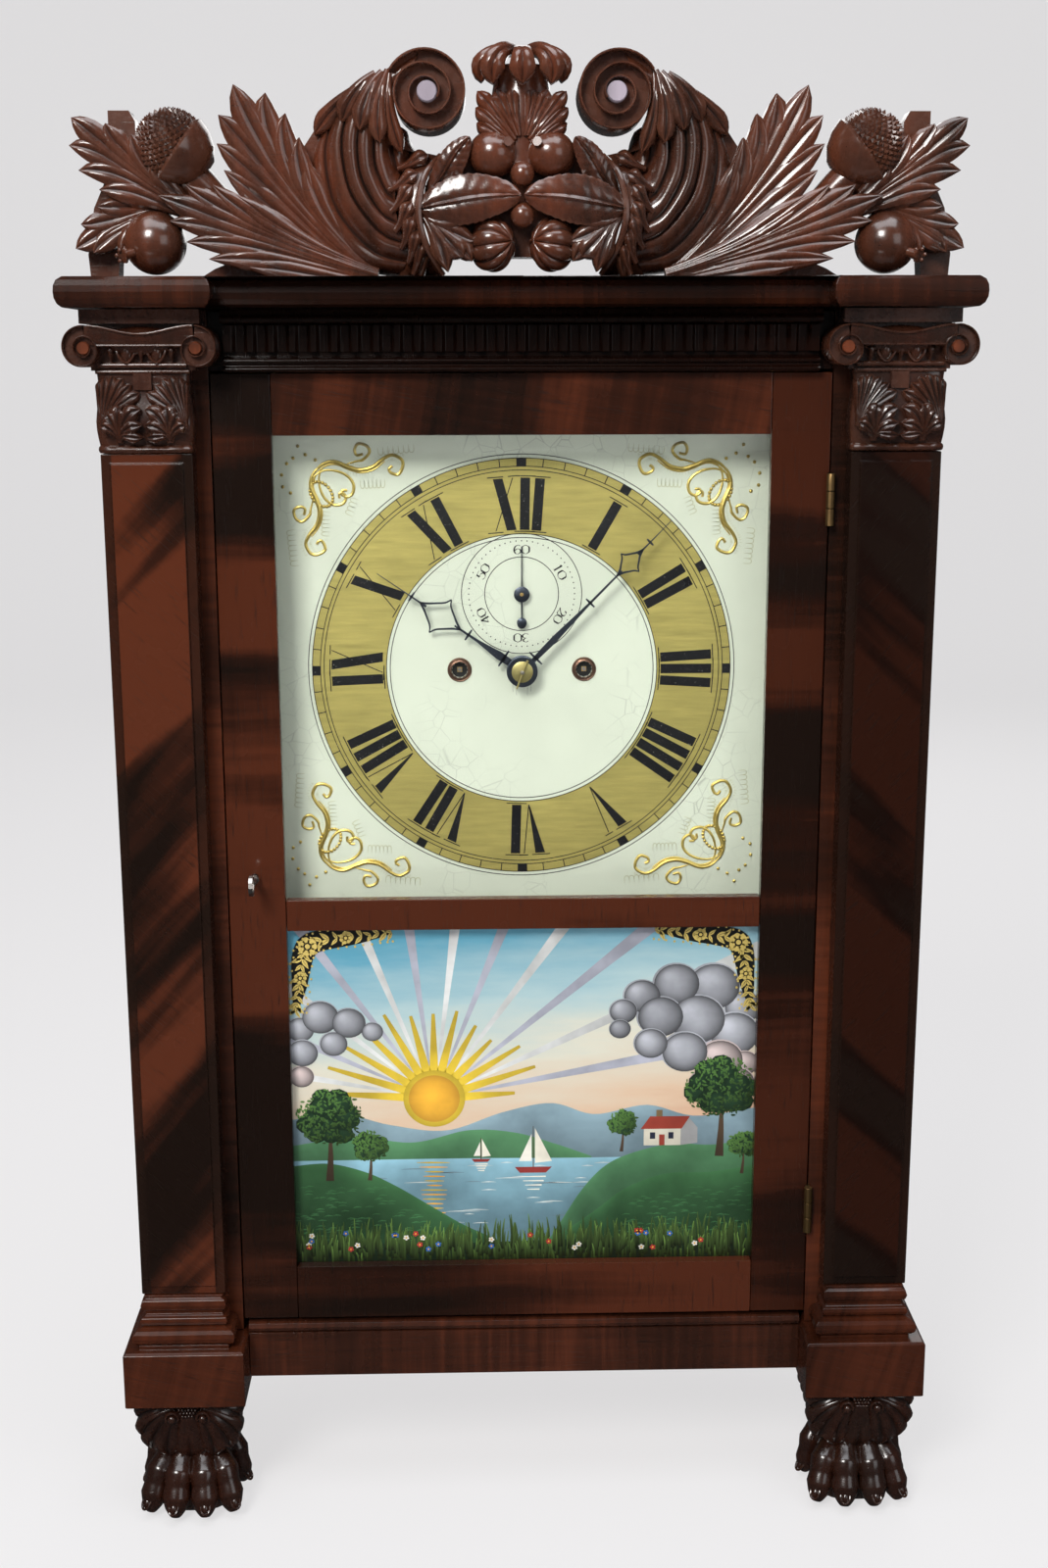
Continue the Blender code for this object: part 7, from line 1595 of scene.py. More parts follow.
def make_dial_paint():
    """Gold hour ring, black numerals and lines, seconds dial, and the repeated marks of both."""
    painter = Painter(DIAL_CENTRE, GROUND_Y)
    outer = sizes().ring_outer / MM
    inner = sizes().ring_inner / MM
    painter.band(inner, outer, 1, 1)
    for radius in (outer, outer + MINUTE_TRACK, outer - 5.0, outer - 7.3, inner, inner - 2.3):
        painter.circle(radius, 2)
    for hour, text in enumerate(HOURS):
        paint_numeral(painter, text, hour)
    paint_seconds(painter)
    for side in (-1, 1):
        for across in (1.2, 3.4):
            line = [(side * (7 - across), -8.0 - across), (side * (6.8 - across), -13 - across)]
            painter.ribbon(line, [0.10, 0.16], 1)
    made = painter.make("dial_lettering", [material("dial_black"), material("dial_gold")])
    dress(made, "case", "painted_dial")
    tick = Painter((0, 0, 0), 0)
    tick.shape([(-0.3, -2.4), (0.3, -2.4), (0.3, 2.4), (-0.3, 2.4)], 2)
    repeat("dial_minute_ticks", tick, 60, (outer - MINUTE_TRACK) * MM, DIAL_CENTRE)
    mark = Painter((0, 0, 0), 0)
    mark.shape([(-3.0, -2.6), (3.0, -2.6), (3.1, 2.6), (-3.1, 2.6)], 3)
    repeat("dial_five_minute_marks", mark, 12, (outer - 2.5) * MM, DIAL_CENTRE)
    dot = Painter((0, 0, 0), 0)
    dot.disc((0, 0), 0.42, 1, 0, 10)
    repeat("dial_second_dots", dot, 60, SECONDS_DOTS * MM, SECONDS_CENTRE)


def repeat_tree():
    """Geometry nodes that set copies of a stamp round a centre and make them real."""
    tree = bpy.data.node_groups.new("repeat_stamp", "GeometryNodeTree")
    for label, kind in (("Stamp", "Geometry"), ("Count", "Int"), ("Radius", "Float"), ("Turn", "Float"),
                        ("Finish", "Material")):
        tree.interface.new_socket(label, in_out="INPUT", socket_type="NodeSocket" + kind)
    tree.interface.new_socket("Pieces", in_out="OUTPUT", socket_type="NodeSocketGeometry")
    enter = tree.nodes.new("NodeGroupInput").outputs
    index = tree.nodes.new("GeometryNodeInputIndex").outputs[0]
    angle = sums(tree, "MULTIPLY", index, enter["Turn"])
    across = sums(tree, "MULTIPLY", sums(tree, "SINE", angle), enter["Radius"])
    up = sums(tree, "MULTIPLY", sums(tree, "COSINE", angle), enter["Radius"])
    place = node(tree, "ShaderNodeCombineXYZ", {"X": across, "Z": up}).outputs[0]
    spin = node(tree, "ShaderNodeCombineXYZ", {"Y": angle}).outputs[0]
    line = node(tree, "GeometryNodeMeshLine", {"Count": enter["Count"]})
    line.inputs["Offset"].default_value = (0, 0, 0)
    spots = node(tree, "GeometryNodeSetPosition", {"Geometry": line.outputs[0], "Position": place})
    copies = node(tree, "GeometryNodeInstanceOnPoints",
                  {"Points": spots.outputs[0], "Instance": enter["Stamp"], "Rotation": spin})
    real = node(tree, "GeometryNodeRealizeInstances", {"Geometry": copies.outputs[0]})
    finished = node(tree, "GeometryNodeSetMaterial",
                    {"Geometry": real.outputs[0], "Material": enter["Finish"]})
    tree.links.new(finished.outputs[0], tree.nodes.new("NodeGroupOutput").inputs[0])
    return tree


def repeat(name, stamp, count, radius, centre):
    """Set equally spaced copies of a stamp on a circle of the dial, as one plain mesh."""
    tree = bpy.data.node_groups.get("repeat_stamp") or repeat_tree()
    finish = material("dial_black")
    pattern = stamp.make(name + "_stamp", [finish])
    maker = pattern.modifiers.new("repeat", "NODES")
    maker.node_group = tree
    values = {"Count": count, "Radius": radius, "Turn": tau / count, "Finish": finish}
    for socket in tree.interface.items_tree:
        if socket.name in values:
            maker[socket.identifier] = values[socket.name]
    seen = pattern.evaluated_get(bpy.context.evaluated_depsgraph_get())
    mesh = bpy.data.meshes.new_from_object(seen)
    bpy.data.objects.remove(pattern)
    mesh.transform(Matrix.Translation((centre[0], GROUND_Y, centre[2])))
    mesh.name = name
    dress(link_new(name, mesh), "case", "painted_dial")


LONG_SCROLL = [(-129, 119.8), (-122.9, 127.1), (-115, 129.4), (-106, 126), (-99.2, 124.3), (-91.4, 126),
               (-84.6, 131.1), (-79, 133.3), (-73.4, 130.5), (-72.8, 126), (-75.6, 121.5), (-80.1, 122.6),
               (-81.2, 124.9), (-79, 126.6)]
UPPER_CURL = [(-106.9, 127.9), (-100.9, 129.6), (-97, 130.5), (-93, 135), (-94.7, 138.9), (-99.8, 140.1),
              (-102, 136.7), (-100.9, 133.3), (-97, 133.9)]
INNER_SCROLL = [(-129, 119.3), (-121.7, 123.8), (-113.9, 123.8), (-107.1, 120.9), (-103.2, 115.9),
                (-103.7, 110.3), (-107.1, 108), (-110.5, 109.7), (-109.9, 111.9), (-107.1, 111.9)]
SCROLLS = (
    (LONG_SCROLL, (0.5, 1.1, 1.5, 1.3, 1.0, 1.0, 1.0, 0.9, 0.9)),
    (UPPER_CURL, (0.4, 0.9, 0.9, 0.9, 0.8)),
    (INNER_SCROLL, (0.4, 0.8, 1.0, 0.9, 0.8)),
    ([(x + 0.9, z - 1.5) for x, z in LONG_SCROLL[:7]], (0.3, 0.6, 0.7, 0.6, 0.4)),
)
LOOSE_DOTS = [(-147, 121.5), (-146.5, 114.2), (-141.8, 110.5), (-143.7, 128.3), (-139.7, 131.6),
              (-136.7, 138.9), (-132.2, 133.7), (-126.2, 130.5)]
OVAL_CENTRE = (-122.9, 109.7)
OVAL_DOTS = 22


def gilt_corner(carver, across, up):
    """Raised gilt scrolls with their dots, in one corner of the dial."""
    for line, radii in SCROLLS:
        for half in ((lambda x, z: (x, z)), (lambda x, z: (-z, -x))):
            points = [half(x, z) for x, z in line]
            path = [(x * across, 0, z * up) for x, z in points]
            rod(carver, path, radii, 8, 0, 6 * len(points), 0.9)
    turns = [tau * k / OVAL_DOTS for k in range(OVAL_DOTS)]
    oval = [(OVAL_CENTRE[0] + 6.6 * cos(turn) - 2.2 * sin(turn), OVAL_CENTRE[1] + 7.6 * sin(turn))
            for turn in turns]
    for x, z in LOOSE_DOTS + oval:
        ball(carver, (x * across, -0.1, z * up), (1.1, 0.9, 1.1), 6, 10)


# Each row of scallops: where it starts and stops, and how many it has
SCALLOP_ROWS = (
    ((-99, 118), (-84, 118.5), 6),
    ((-118, 99), (-118.5, 84), 6),
    ((-100, 106), (-104, 96), 4),
    ((-88, 138), (-66, 140), 7),
    ((-140, 88), (-138, 66), 7),
)
RAYS = 26


def scallops(painter, across, up):
    """Faint gold tracery of scallops and fine rays about the gilt scrolls."""
    for start, stop, count in SCALLOP_ROWS:
        first = Vector(start)
        run = (Vector(stop) - first) / count
        side = Vector((run.y, -run.x)).normalized()
        for k in range(count):
            near = first + run * k
            line = [near, near + side * 4.5 + run * 0.1, near + side * 4.5 + run * 0.9, near + run]
            painter.ribbon([(p.x * across, p.y * up) for p in line], [0.2, 0.5, 0.2], 1, 0, 8)
    for share in steps(RAYS):
        place, run = smooth_path(flat(LONG_SCROLL[3:9]), share)
        for shift in (2.2, -2.2):
            foot = place + right_of(run) * shift
            tip = foot + right_of(run) * shift * 0.7
            for x, z, end_x, end_z in ((foot.x, foot.z, tip.x, tip.z), (-foot.z, -foot.x, -tip.z, -tip.x)):
                painter.ribbon([(x * across, z * up), (end_x * across, end_z * up)], [0.3, 0.1], 1)


GROMMET_PROFILE = [(4.9, 0.5), (4.9, -0.9), (5.4, -1.5), (6.0, -1.3), (6.5, -1.0), (6.9, -1.25), (7.4, -0.8),
                   (7.7, 0.0), (7.7, 0.5)]
COLLET_PROFILE = [(0.3, -1.5), (5.6, -1.3), (6.6, -0.9), (6.7, -0.3), (6.7, 0.4)]
ARBOR_PROFILE = [(0.2, -3.4), (1.1, -3.2), (1.4, -2.6), (1.5, 0.2)]
PIN_PATH = [(3.4, -2.3, 7.6), (0, -2.3, -1.2), (-3.6, -2.5, -10.4)]


def turned(carver, centre, profile, mark=0, sides=40):
    """A turned form whose axis runs to the front: (radius, y) from its front middle to its back."""
    turns = [tau * k / sides for k in range(sides)]
    carver.loft([[circle_spot(centre, radius, turn, y) for turn in turns] for radius, y in profile], mark)


def hollow_ring(carver, centre, profile, sides=48):
    """A turned ring, from the closed outline (radius, y) of its section."""
    turns = [tau * k / sides for k in range(sides)]
    carver.loft([[circle_spot(centre, radius, turn, y) for radius, y in profile] for turn in turns], 0, True)


def make_dial_fittings():
    """Gilt corners, winding grommets, the collet and pin that hold the hands, and the seconds hub."""
    gilt = Carver((0, GROUND_Y, DIAL_CENTRE.z))
    tracery = Painter(DIAL_CENTRE, GROUND_Y)
    for across in (-1, 1):
        for up in (-1, 1):
            gilt_corner(gilt, across, up)
            scallops(tracery, across, up)
    dress(gilt.make("dial_corner_scrolls", [material("gilt")]), "case", "painted_dial")
    dress(tracery.make("dial_corner_tracery", [material("tracery")]), "case", "painted_dial")
    holes = Carver((0, GROUND_Y, DIAL_CENTRE.z))
    hole_x = (low("time_drum").x + high("time_drum").x) / 2 / MM
    for side in (-1, 1):
        centre = (side * hole_x, 0)
        hollow_ring(holes, centre, GROMMET_PROFILE)
        # A black disc set back in each grommet: painted shadow in the winding hole.
        turned(holes, centre, [(4.95, 1.6), (4.95, 2.2)], 1)
        square = [(centre[0] + u * 1.5, v * 1.5) for u, v in ((-1, 0.1), (0.1, -1), (1, -0.1), (-0.1, 1))]
        slab(holes, square, 0.9, 2.0, 2)
    made = holes.make("winding_grommets", [material("copper"), material("hole"), material("steel")])
    dress(made, "case", "brass")
    hub = Carver((0, low("minute_hand").y, DIAL_CENTRE.z))
    turned(hub, (0, 0), COLLET_PROFILE)
    turned(hub, (0, 0), ARBOR_PROFILE, 1, 20)
    rod(hub, PIN_PATH, [0.85, 0.7, 0.45], 10, 0, 8)
    dress(hub.make("hand_collet_and_pin", [material("old_brass"), material("steel")]), "center", "brass")
    boss = Carver((0, low("seconds_hand").y, SECONDS_CENTRE.z))
    turned(boss, (0, 0), [(0.2, -0.7), (1.1, -0.5), (1.5, 0.3)], 1, 20)
    turned(boss, (0, 0), [(1.0, -0.35), (4.2, -0.3), (4.9, 0.1), (4.9, 0.5)], 0, 32)
    turned(boss, (0, -17.6), [(0.3, -0.25), (2.7, -0.2), (3.1, 0.1), (3.1, 0.4)], 0, 24)
    dress(boss.make("seconds_hub", [material("blued"), material("brass")]), "escape", "blued_steel")


# Each hand's node, body, angle in degrees, stem widths, ends and half width of its lozenge, length,
# cross bars as (along, reach), and bore
HANDS = (
    ("hour_hand", "hour", 304.4, (4.0, 7.0, 1.0), 50.2, 72.6, 12.4, 108.5,
     ((13.9, 5.8), (40.4, 3.9), (82.9, 3.2)), 3.4),
    ("minute_hand", "center", 44.6, (2.6, 5.4, 0.9), 87.4, 102.6, 7.9, 131.0,
     ((12.0, 5.4), (60.2, 3.6), (112.6, 2.7)), 1.9),
)
HAND_HUB = 9.7


def make_hands():
    """Blued steel hands: tapered stem, open lozenge with hollow sides, cross bars and a fine tip."""
    for name, body, angle, stem, near, far, half, length, bars, bore in HANDS:
        hand = Carver((0, low(name).y, DIAL_CENTRE.z))
        facing = radians(angle)
        thick = (high(name).y - low(name).y) / MM - 0.1

        def at(across, along):
            return clockwise(facing, along, across)

        def bar(points, widths, count=None):
            strap(hand, [at(*p) for p in points], lambda t, run: between(widths, t), 0.1, thick, 0, count)

        middle = (near + far) / 2
        bar([(0, HAND_HUB * 0.6), (0, near * 0.5), (0, near + 0.6)],
            [stem[0], stem[1] * 0.75, stem[2] * 1.6, stem[2]], 10)
        bar([(0, far - 0.6), (0, (far + length) / 2), (0, length)], [1.5, 0.75, 0.4, 0.3], 8)
        for side in (-1, 1):
            for end, tip in ((near, near - 4.0), (far, far + 4.0)):
                bar([(0, tip), (side * half * 0.16, end), (side * half * 0.40, (end * 0.62 + middle * 0.38)),
                     (side * half * 0.70, middle + (end - middle) * 0.19), (side * half, middle)],
                    [0.9, 1.3, 1.1, 1.0, 0.7], 18)
        for place, reach in bars:
            bar([(-reach, place), (0, place), (reach, place)], [0.9, 1.6, 0.9], 5)
        hollow_ring(hand, (0, 0), [(HAND_HUB, 0.3), (HAND_HUB - 0.6, -0.1), (bore, -0.1),
                                   (bore, thick + 0.1), (HAND_HUB, thick + 0.1)])
        dress(hand.make(name + "_steel", [material("blued")], 30), body, "blued_steel", name)


class OBJECT_OT_clock_dial(bpy.types.Operator):
    """Paint the dial and fit its gilt corners, grommets and hands"""

    bl_idname = "object.clock_dial"
    bl_label = "Dial"

    def execute(self, context):
        make_dial_paint()
        make_dial_fittings()
        make_hands()
        return {"FINISHED"}


# Painted tablet: a lake at sunrise, in millimetres from the tablet's middle

TABLET_FRONT_Y = low("picture_tablet").y
TABLET_SETBACK = 0.8
TABLET_MIDDLE = (low("picture_tablet") + high("picture_tablet")) / 2
TABLET_HALF = ((high("picture_tablet") - low("picture_tablet")) / 2 / MM).xz
TABLET_PAINTS = {
    "cloud": (0.30, 0.31, 0.34), "cloud_warm": (0.40, 0.33, 0.32), "sun": (0.86, 0.40, 0.03),
    "ray": (0.62, 0.44, 0.03), "ray_grey": (0.33, 0.34, 0.40), "ray_pale": (0.52, 0.53, 0.52),
    "hill_far": (0.16, 0.24, 0.28),
    "hill_mid": (0.055, 0.16, 0.07), "hill_near": (0.030, 0.105, 0.036), "lake": (0.20, 0.38, 0.46),
    "lake_light": (0.60, 0.66, 0.64), "shore": (0.20, 0.13, 0.06), "trunk": (0.09, 0.055, 0.03),
    "tree_dark": (0.012, 0.040, 0.016), "tree_leaf": (0.06, 0.14, 0.028), "wall": (0.66, 0.62, 0.50),
    "wall_shade": (0.34, 0.34, 0.34), "roof": (0.34, 0.045, 0.025), "window": (0.02, 0.025, 0.05),
    "sail": (0.76, 0.72, 0.60), "hull": (0.26, 0.03, 0.025), "grass": (0.10, 0.19, 0.035),
    "ground": (0.010, 0.030, 0.012), "red": (0.45, 0.03, 0.03), "blue": (0.03, 0.13, 0.42),
    "white": (0.72, 0.70, 0.62), "leaf_ground": (0.008, 0.009, 0.008), "leaf_gold": (0.66, 0.50, 0.13),
}
PAINT_MARKS = {name: 1 + k for k, name in enumerate(TABLET_PAINTS)}
SPRAY_LINE = [(-64, -2), (-40, -5), (-16, -8), (-8, -16), (-5, -36), (-2, -54)]
SPRAY_LEAVES = 26
PETALS = 7
SUN_PLACE = (-58, -2)
RAY_COUNT = 25
GRASS_STROKES = 760
FLOWERS = 30
BANK_STROKES = 260
RIPPLES = 90
SUN_GLINTS = 14

# Each cloud's place and radius
CLOUDS = [
    (141, 58, 12), (122, 72, 17), (98, 74, 15), (76, 66, 12), (136, 40, 16), (112, 50, 18), (88, 52, 15),
    (64, 56, 9), (143, 20, 9), (127, 22, 15), (104, 28, 15), (82, 34, 11), (62, 44, 7), (138, 6, 12),
    (118, 6, 11), (-143, 46, 9), (-130, 54, 12), (-112, 50, 11), (-97, 44, 7), (-142, 30, 10),
    (-122, 36, 9), (-143, 14, 8),
]
WARM_CLOUDS_BELOW = 25

# Each tree's place, radius and seed
TREES = ((128, 4, 24, 0.3), (64, -20, 10, 1.9), (-126, -14, 22, 2.2), (-100, -34, 12, 0.8),
         (143, -36, 11, 4.0))


def sky_paint():
    """Blue above, pale in the middle and peach at the horizon; the back of the glass is brown."""
    material, tree, shader = new_material("tablet_sky", Coat_Weight=1.0, Coat_Roughness=0.03, Roughness=0.5)
    place = object_place(tree)
    up = node(tree, "ShaderNodeSeparateXYZ", {0: place}).outputs[2]
    low_edge, high_edge = low("picture_tablet").z, high("picture_tablet").z
    share = sums(tree, "MULTIPLY", sums(tree, "SUBTRACT", up, low_edge), 1 / (high_edge - low_edge))
    brush = noise_at(tree, stretched(tree, place, (0.2, 1, 1)), 70.0, 4.0)
    share = sums(tree, "ADD", share, sums(tree, "MULTIPLY", sums(tree, "SUBTRACT", brush, 0.5), 0.22))
    sideways = node(tree, "ShaderNodeSeparateXYZ", {0: place}).outputs[0]
    share = sums(tree, "ADD", share, sums(tree, "MULTIPLY", sideways, -0.5))
    tone = ramp(tree, share, [(0.26, (0.60, 0.29, 0.17)), (0.44, (0.72, 0.52, 0.36)),
                              (0.62, (0.70, 0.68, 0.56)), (0.78, (0.42, 0.58, 0.60)),
                              (0.98, (0.10, 0.36, 0.50))])
    facing = node(tree, "ShaderNodeTexCoord").outputs["Normal"]
    behind = sums(tree, "GREATER_THAN", node(tree, "ShaderNodeSeparateXYZ", {0: facing}).outputs[1], 0.5)
    rear = ramp(tree, brush, [(0.3, (0.075, 0.055, 0.042)), (0.7, (0.16, 0.125, 0.095))])
    tree.links.new(mix(tree, behind, tone, rear), shader.inputs["Base Color"])
    bump(tree, shader, brush, 0.03 * MM, 0.3)
    return material


def scatter(k, rate):
    """A repeatable number from 0 to 1 for the k-th of many strokes."""
    return (sin(k * 12.9898 + rate * 78.233) * 43758.5453) % 1.0


def puff(painter, x, z, radius, layer, name):
    """A round cloud: dark below, its lit side up and to the left, with a thin pale rim."""
    mark = PAINT_MARKS[name]
    painter.rounded((x - radius * 0.03, z + radius * 0.04), radius * 1.02, layer, mark, (0, 0), (0.75, 0.75))
    painter.rounded((x, z), radius * 0.97, layer + 0.3, mark, (-0.44, 0.46), (-0.08, 1.15), 0.92)


def tree_crown(painter, x, z, radius, layer, seed):
    """A round-headed tree: trunk and branches, a dark mass, and daubs of leaves lit from the left."""
    painter.ribbon([(x - 0.6, z - radius * 2.0), (x + 0.4, z - radius), (x, z)],
                   [radius * 0.24, radius * 0.13, 0.6], layer, PAINT_MARKS["trunk"], 6, (0.2, 0.7))
    for k in range(40):
        turn = tau * scatter(k, 0.7549) + seed
        reach = radius * 0.74 * sqrt(scatter(k, 0.5698))
        spot = (x + reach * cos(turn), z + reach * 0.9 * sin(turn))
        painter.rounded(spot, radius * (0.22 + 0.16 * scatter(k, 0.37)), layer + 0.3 + 0.01 * k,
                        PAINT_MARKS["tree_dark"], (-0.2, 0.3), (0.3, 0.9), 0.85, 9)
    for k in range(int(14 * radius)):
        turn = tau * scatter(k, 0.7549) + seed
        reach = radius * 0.98 * sqrt(scatter(k, 0.5698))
        spot = Vector((x + reach * cos(turn), z + reach * 0.9 * sin(turn)))
        slope = scatter(k, 0.8192) * pi
        size = 0.8 + 0.9 * scatter(k, 0.413)
        run = Vector((cos(slope), sin(slope))) * size
        facing = 0.5 + 0.42 * (spot.y - z - (spot.x - x) * 0.7) / radius
        shade = min(1.0, max(0.0, facing + 0.35 * (scatter(k, 0.733) - 0.5)))
        painter.ribbon([spot - run, spot + run * 0.2, spot + run], [0.4, size * 1.1, 0.3],
                       layer + 0.7 + 0.001 * k, PAINT_MARKS["tree_leaf"], 4, (shade * 0.8, shade))


def gold_leaf(painter, place, heading, length, layer):
    """One gold leaf with its stalk, pointing along a heading."""
    run = Vector((cos(heading), sin(heading)))
    points = [place, place + run * length * 0.5, place + run * length]
    widths = [0.3, length * 0.34, length * 0.40, length * 0.2, 0.1]
    painter.ribbon(points, widths, layer, PAINT_MARKS["leaf_gold"], 9)
    painter.ribbon([place + run * length * 0.15, place + run * length * 0.8], [0.35, 0.1], layer + 0.3,
                   PAINT_MARKS["leaf_ground"])


def corner_spray(painter, across, up, layer):
    """Black-grounded gold leaves, berries and a flower that turn round a corner of the tablet."""
    half_x = TABLET_HALF.x - 6.0
    half_z = TABLET_HALF.y - 6.5
    points = [((half_x + x) * across, (half_z + z) * up) for x, z in SPRAY_LINE]
    painter.ribbon(points, [1.5, 9, 13, 15, 13, 9, 1.5], layer, PAINT_MARKS["leaf_ground"], 40)
    path = flat(points)
    for k, share in enumerate(steps(SPRAY_LEAVES)):
        place, run = smooth_path(path, share)
        heading = atan2(run.z, run.x)
        for side in (-1, 1):
            turned_by = side * (0.75 + 0.35 * sin(k * 2.1 + side))
            gold_leaf(painter, place.xz, heading + turned_by, 6.4 + 1.2 * sin(k * 1.7), layer + 0.5)
            spot = place.xz + Vector((-run.z, run.x)) * side * (6.2 + 1.0 * sin(k * 3.1))
            painter.disc(spot, 0.75, layer + 0.6, PAINT_MARKS["leaf_gold"], 8)
    for share, size in ((0.5, 6.4), (0.24, 4.2), (0.76, 4.2)):
        place = smooth_path(path, share)[0].xz
        for k in range(PETALS):
            turn = tau * k / PETALS
            spot = (place.x + size * 0.62 * cos(turn), place.y + size * 0.62 * sin(turn))
            painter.disc(spot, size * 0.36, layer + 1.2, PAINT_MARKS["leaf_gold"], 12)
        painter.disc(place, size * 0.42, layer + 1.5, PAINT_MARKS["leaf_ground"], 14)
        painter.disc(place, size * 0.26, layer + 1.7, PAINT_MARKS["leaf_gold"], 12)


def cottage(painter, x, z, layer):
    """A white cottage with a red roof, a chimney, two windows and a door."""
    marks = PAINT_MARKS
    painter.rectangle(x, z, 24, 12, layer, marks["wall"])
    gable = [(24, 0), (35, 1.5), (35, 12), (29.5, 19), (24, 12)]
    painter.shape([(x + a, z + b) for a, b in gable], layer, marks["wall_shade"])
    painter.shape([(x - 2, z + 11.4), (x + 24.6, z + 11.4), (x + 30, z + 20), (x + 4, z + 20)], layer + 0.3,
                  marks["roof"])
    painter.rectangle(x + 8, z + 18, 4, 6.5, layer + 0.2, marks["shore"])
    for across in (4, 16):
        painter.rectangle(x + across, z + 4.5, 3.4, 4.5, layer + 0.3, marks["window"])
    painter.rectangle(x + 10, z, 3.6, 7.5, layer + 0.3, marks["roof"])


def sail_boat(painter, x, z, size, layer):
    """A small boat with two sails, and its broken reflection."""
    marks = PAINT_MARKS
    painter.ribbon([(x, z), (x, z + 21 * size)], [0.7, 0.4], layer, marks["trunk"])
    for name, outline in (("hull", [(-9, 0), (9, 0), (6, -3), (-6.5, -3)]),
                          ("sail", [(0.8, 2), (9, 3), (0.8, 20)]),
                          ("white", [(-0.8, 3), (-0.8, 17), (-7, 3)])):
        painter.shape([(x + a * size, z + b * size) for a, b in outline], layer, marks[name])
    for k in range(4):
        level = z - (5 + 2.2 * k) * size
        half = (6 - k) * size
        painter.ribbon([(x - half, level), (x + half, level)], [0.4, 0.9], layer, marks["sail"])


def sun_and_rays(painter, sun):
    """A low sun with rays: short yellow ones, and grey and pale ones that reach across the sky."""
    half_x, half_z = TABLET_HALF
    for k in range(RAY_COUNT):
        turn = pi * (k + 0.5) / RAY_COUNT
        way = Vector((cos(turn), sin(turn)))
        yellow = k % 2 == 0
        reach = (52 + 22 * scatter(k, 0.618)) if yellow else 400
        edge = (half_x - 1 - sun.x * (1 if way.x > 0 else -1)) / max(0.01, abs(way.x))
        reach = min(reach, edge, (half_z - 1 - sun.y) / way.y)
        end = sun + way * reach
        if yellow:
            points = [sun + way * 10, sun + way * 28, (sun + end) / 2 + way * 8, end]
            painter.ribbon(points, [6.5, 5.0, 4.2, 2.0], 1.3, PAINT_MARKS["ray"], 12, (0.75, 0.55, 0.35))
        else:
            wide = 1.5 + 0.045 * reach
            painter.ribbon([sun + way * 20, end], [0.8, wide * 0.5, wide], 1,
                           PAINT_MARKS["ray_grey" if k % 4 == 1 else "ray_pale"], 8, (0.75, 0.6))
    painter.rounded(sun, 20, 1.5, PAINT_MARKS["ray"], (0, 0), (0.35, 0.7), 0.97, 40)
    painter.rounded(sun, 16.5, 1.7, PAINT_MARKS["sun"], (-0.1, 0.15), (0.25, 0.62), 0.97, 40)


def paint_grass(painter):
    """Dense strokes of grass over a dark foot, with a few field flowers."""
    half_x, half_z = TABLET_HALF
    ridge = [(-half_x, -100), (-60, -103), (40, -101), (half_x, -99)]
    painter.bank(ridge, -half_z, 9.4, PAINT_MARKS["ground"], (0.8, 0.1))
    for k in range(GRASS_STROKES):
        x = -half_x + 2 + (2 * half_x - 4) * scatter(k, 0.6180339)
        foot = -half_z + 0.5 + 13 * scatter(k, 0.5698)
        tall = 8 + 15 * scatter(k, 0.8192)
        lean = 5.0 * (scatter(k, 0.733) - 0.5)
        bright = 0.15 + 1.0 * scatter(k, 0.413) ** 2.5
        end = x + min(lean, half_x - 0.6 - x) if lean > 0 else x + max(lean, 0.6 - half_x - x)
        painter.ribbon([(x, foot), (x + lean * 0.2, foot + tall * 0.6), (end, foot + tall)], [1.5, 1.3, 0.3],
                       10 + 2.0 * (k / GRASS_STROKES), PAINT_MARKS["grass"], 5,
                       (-0.18, 0.25 * bright, bright))
    for k in range(FLOWERS):
        x = -half_x + 10 + (2 * half_x - 20) * scatter(k, 0.618)
        z = -half_z + 11 + 14 * scatter(k, 0.37)
        for petal in range(5):
            turn = tau * petal / 5 + k
            painter.rounded((x + 1.2 * cos(turn), z + 1.2 * sin(turn)), 0.85, 13,
                            PAINT_MARKS[("red", "white", "blue")[k % 3]], (0, 0), (0.2, 0.7), 0.9, 7)
        painter.disc((x, z), 0.6, 13.5, PAINT_MARKS["sun"], 8)


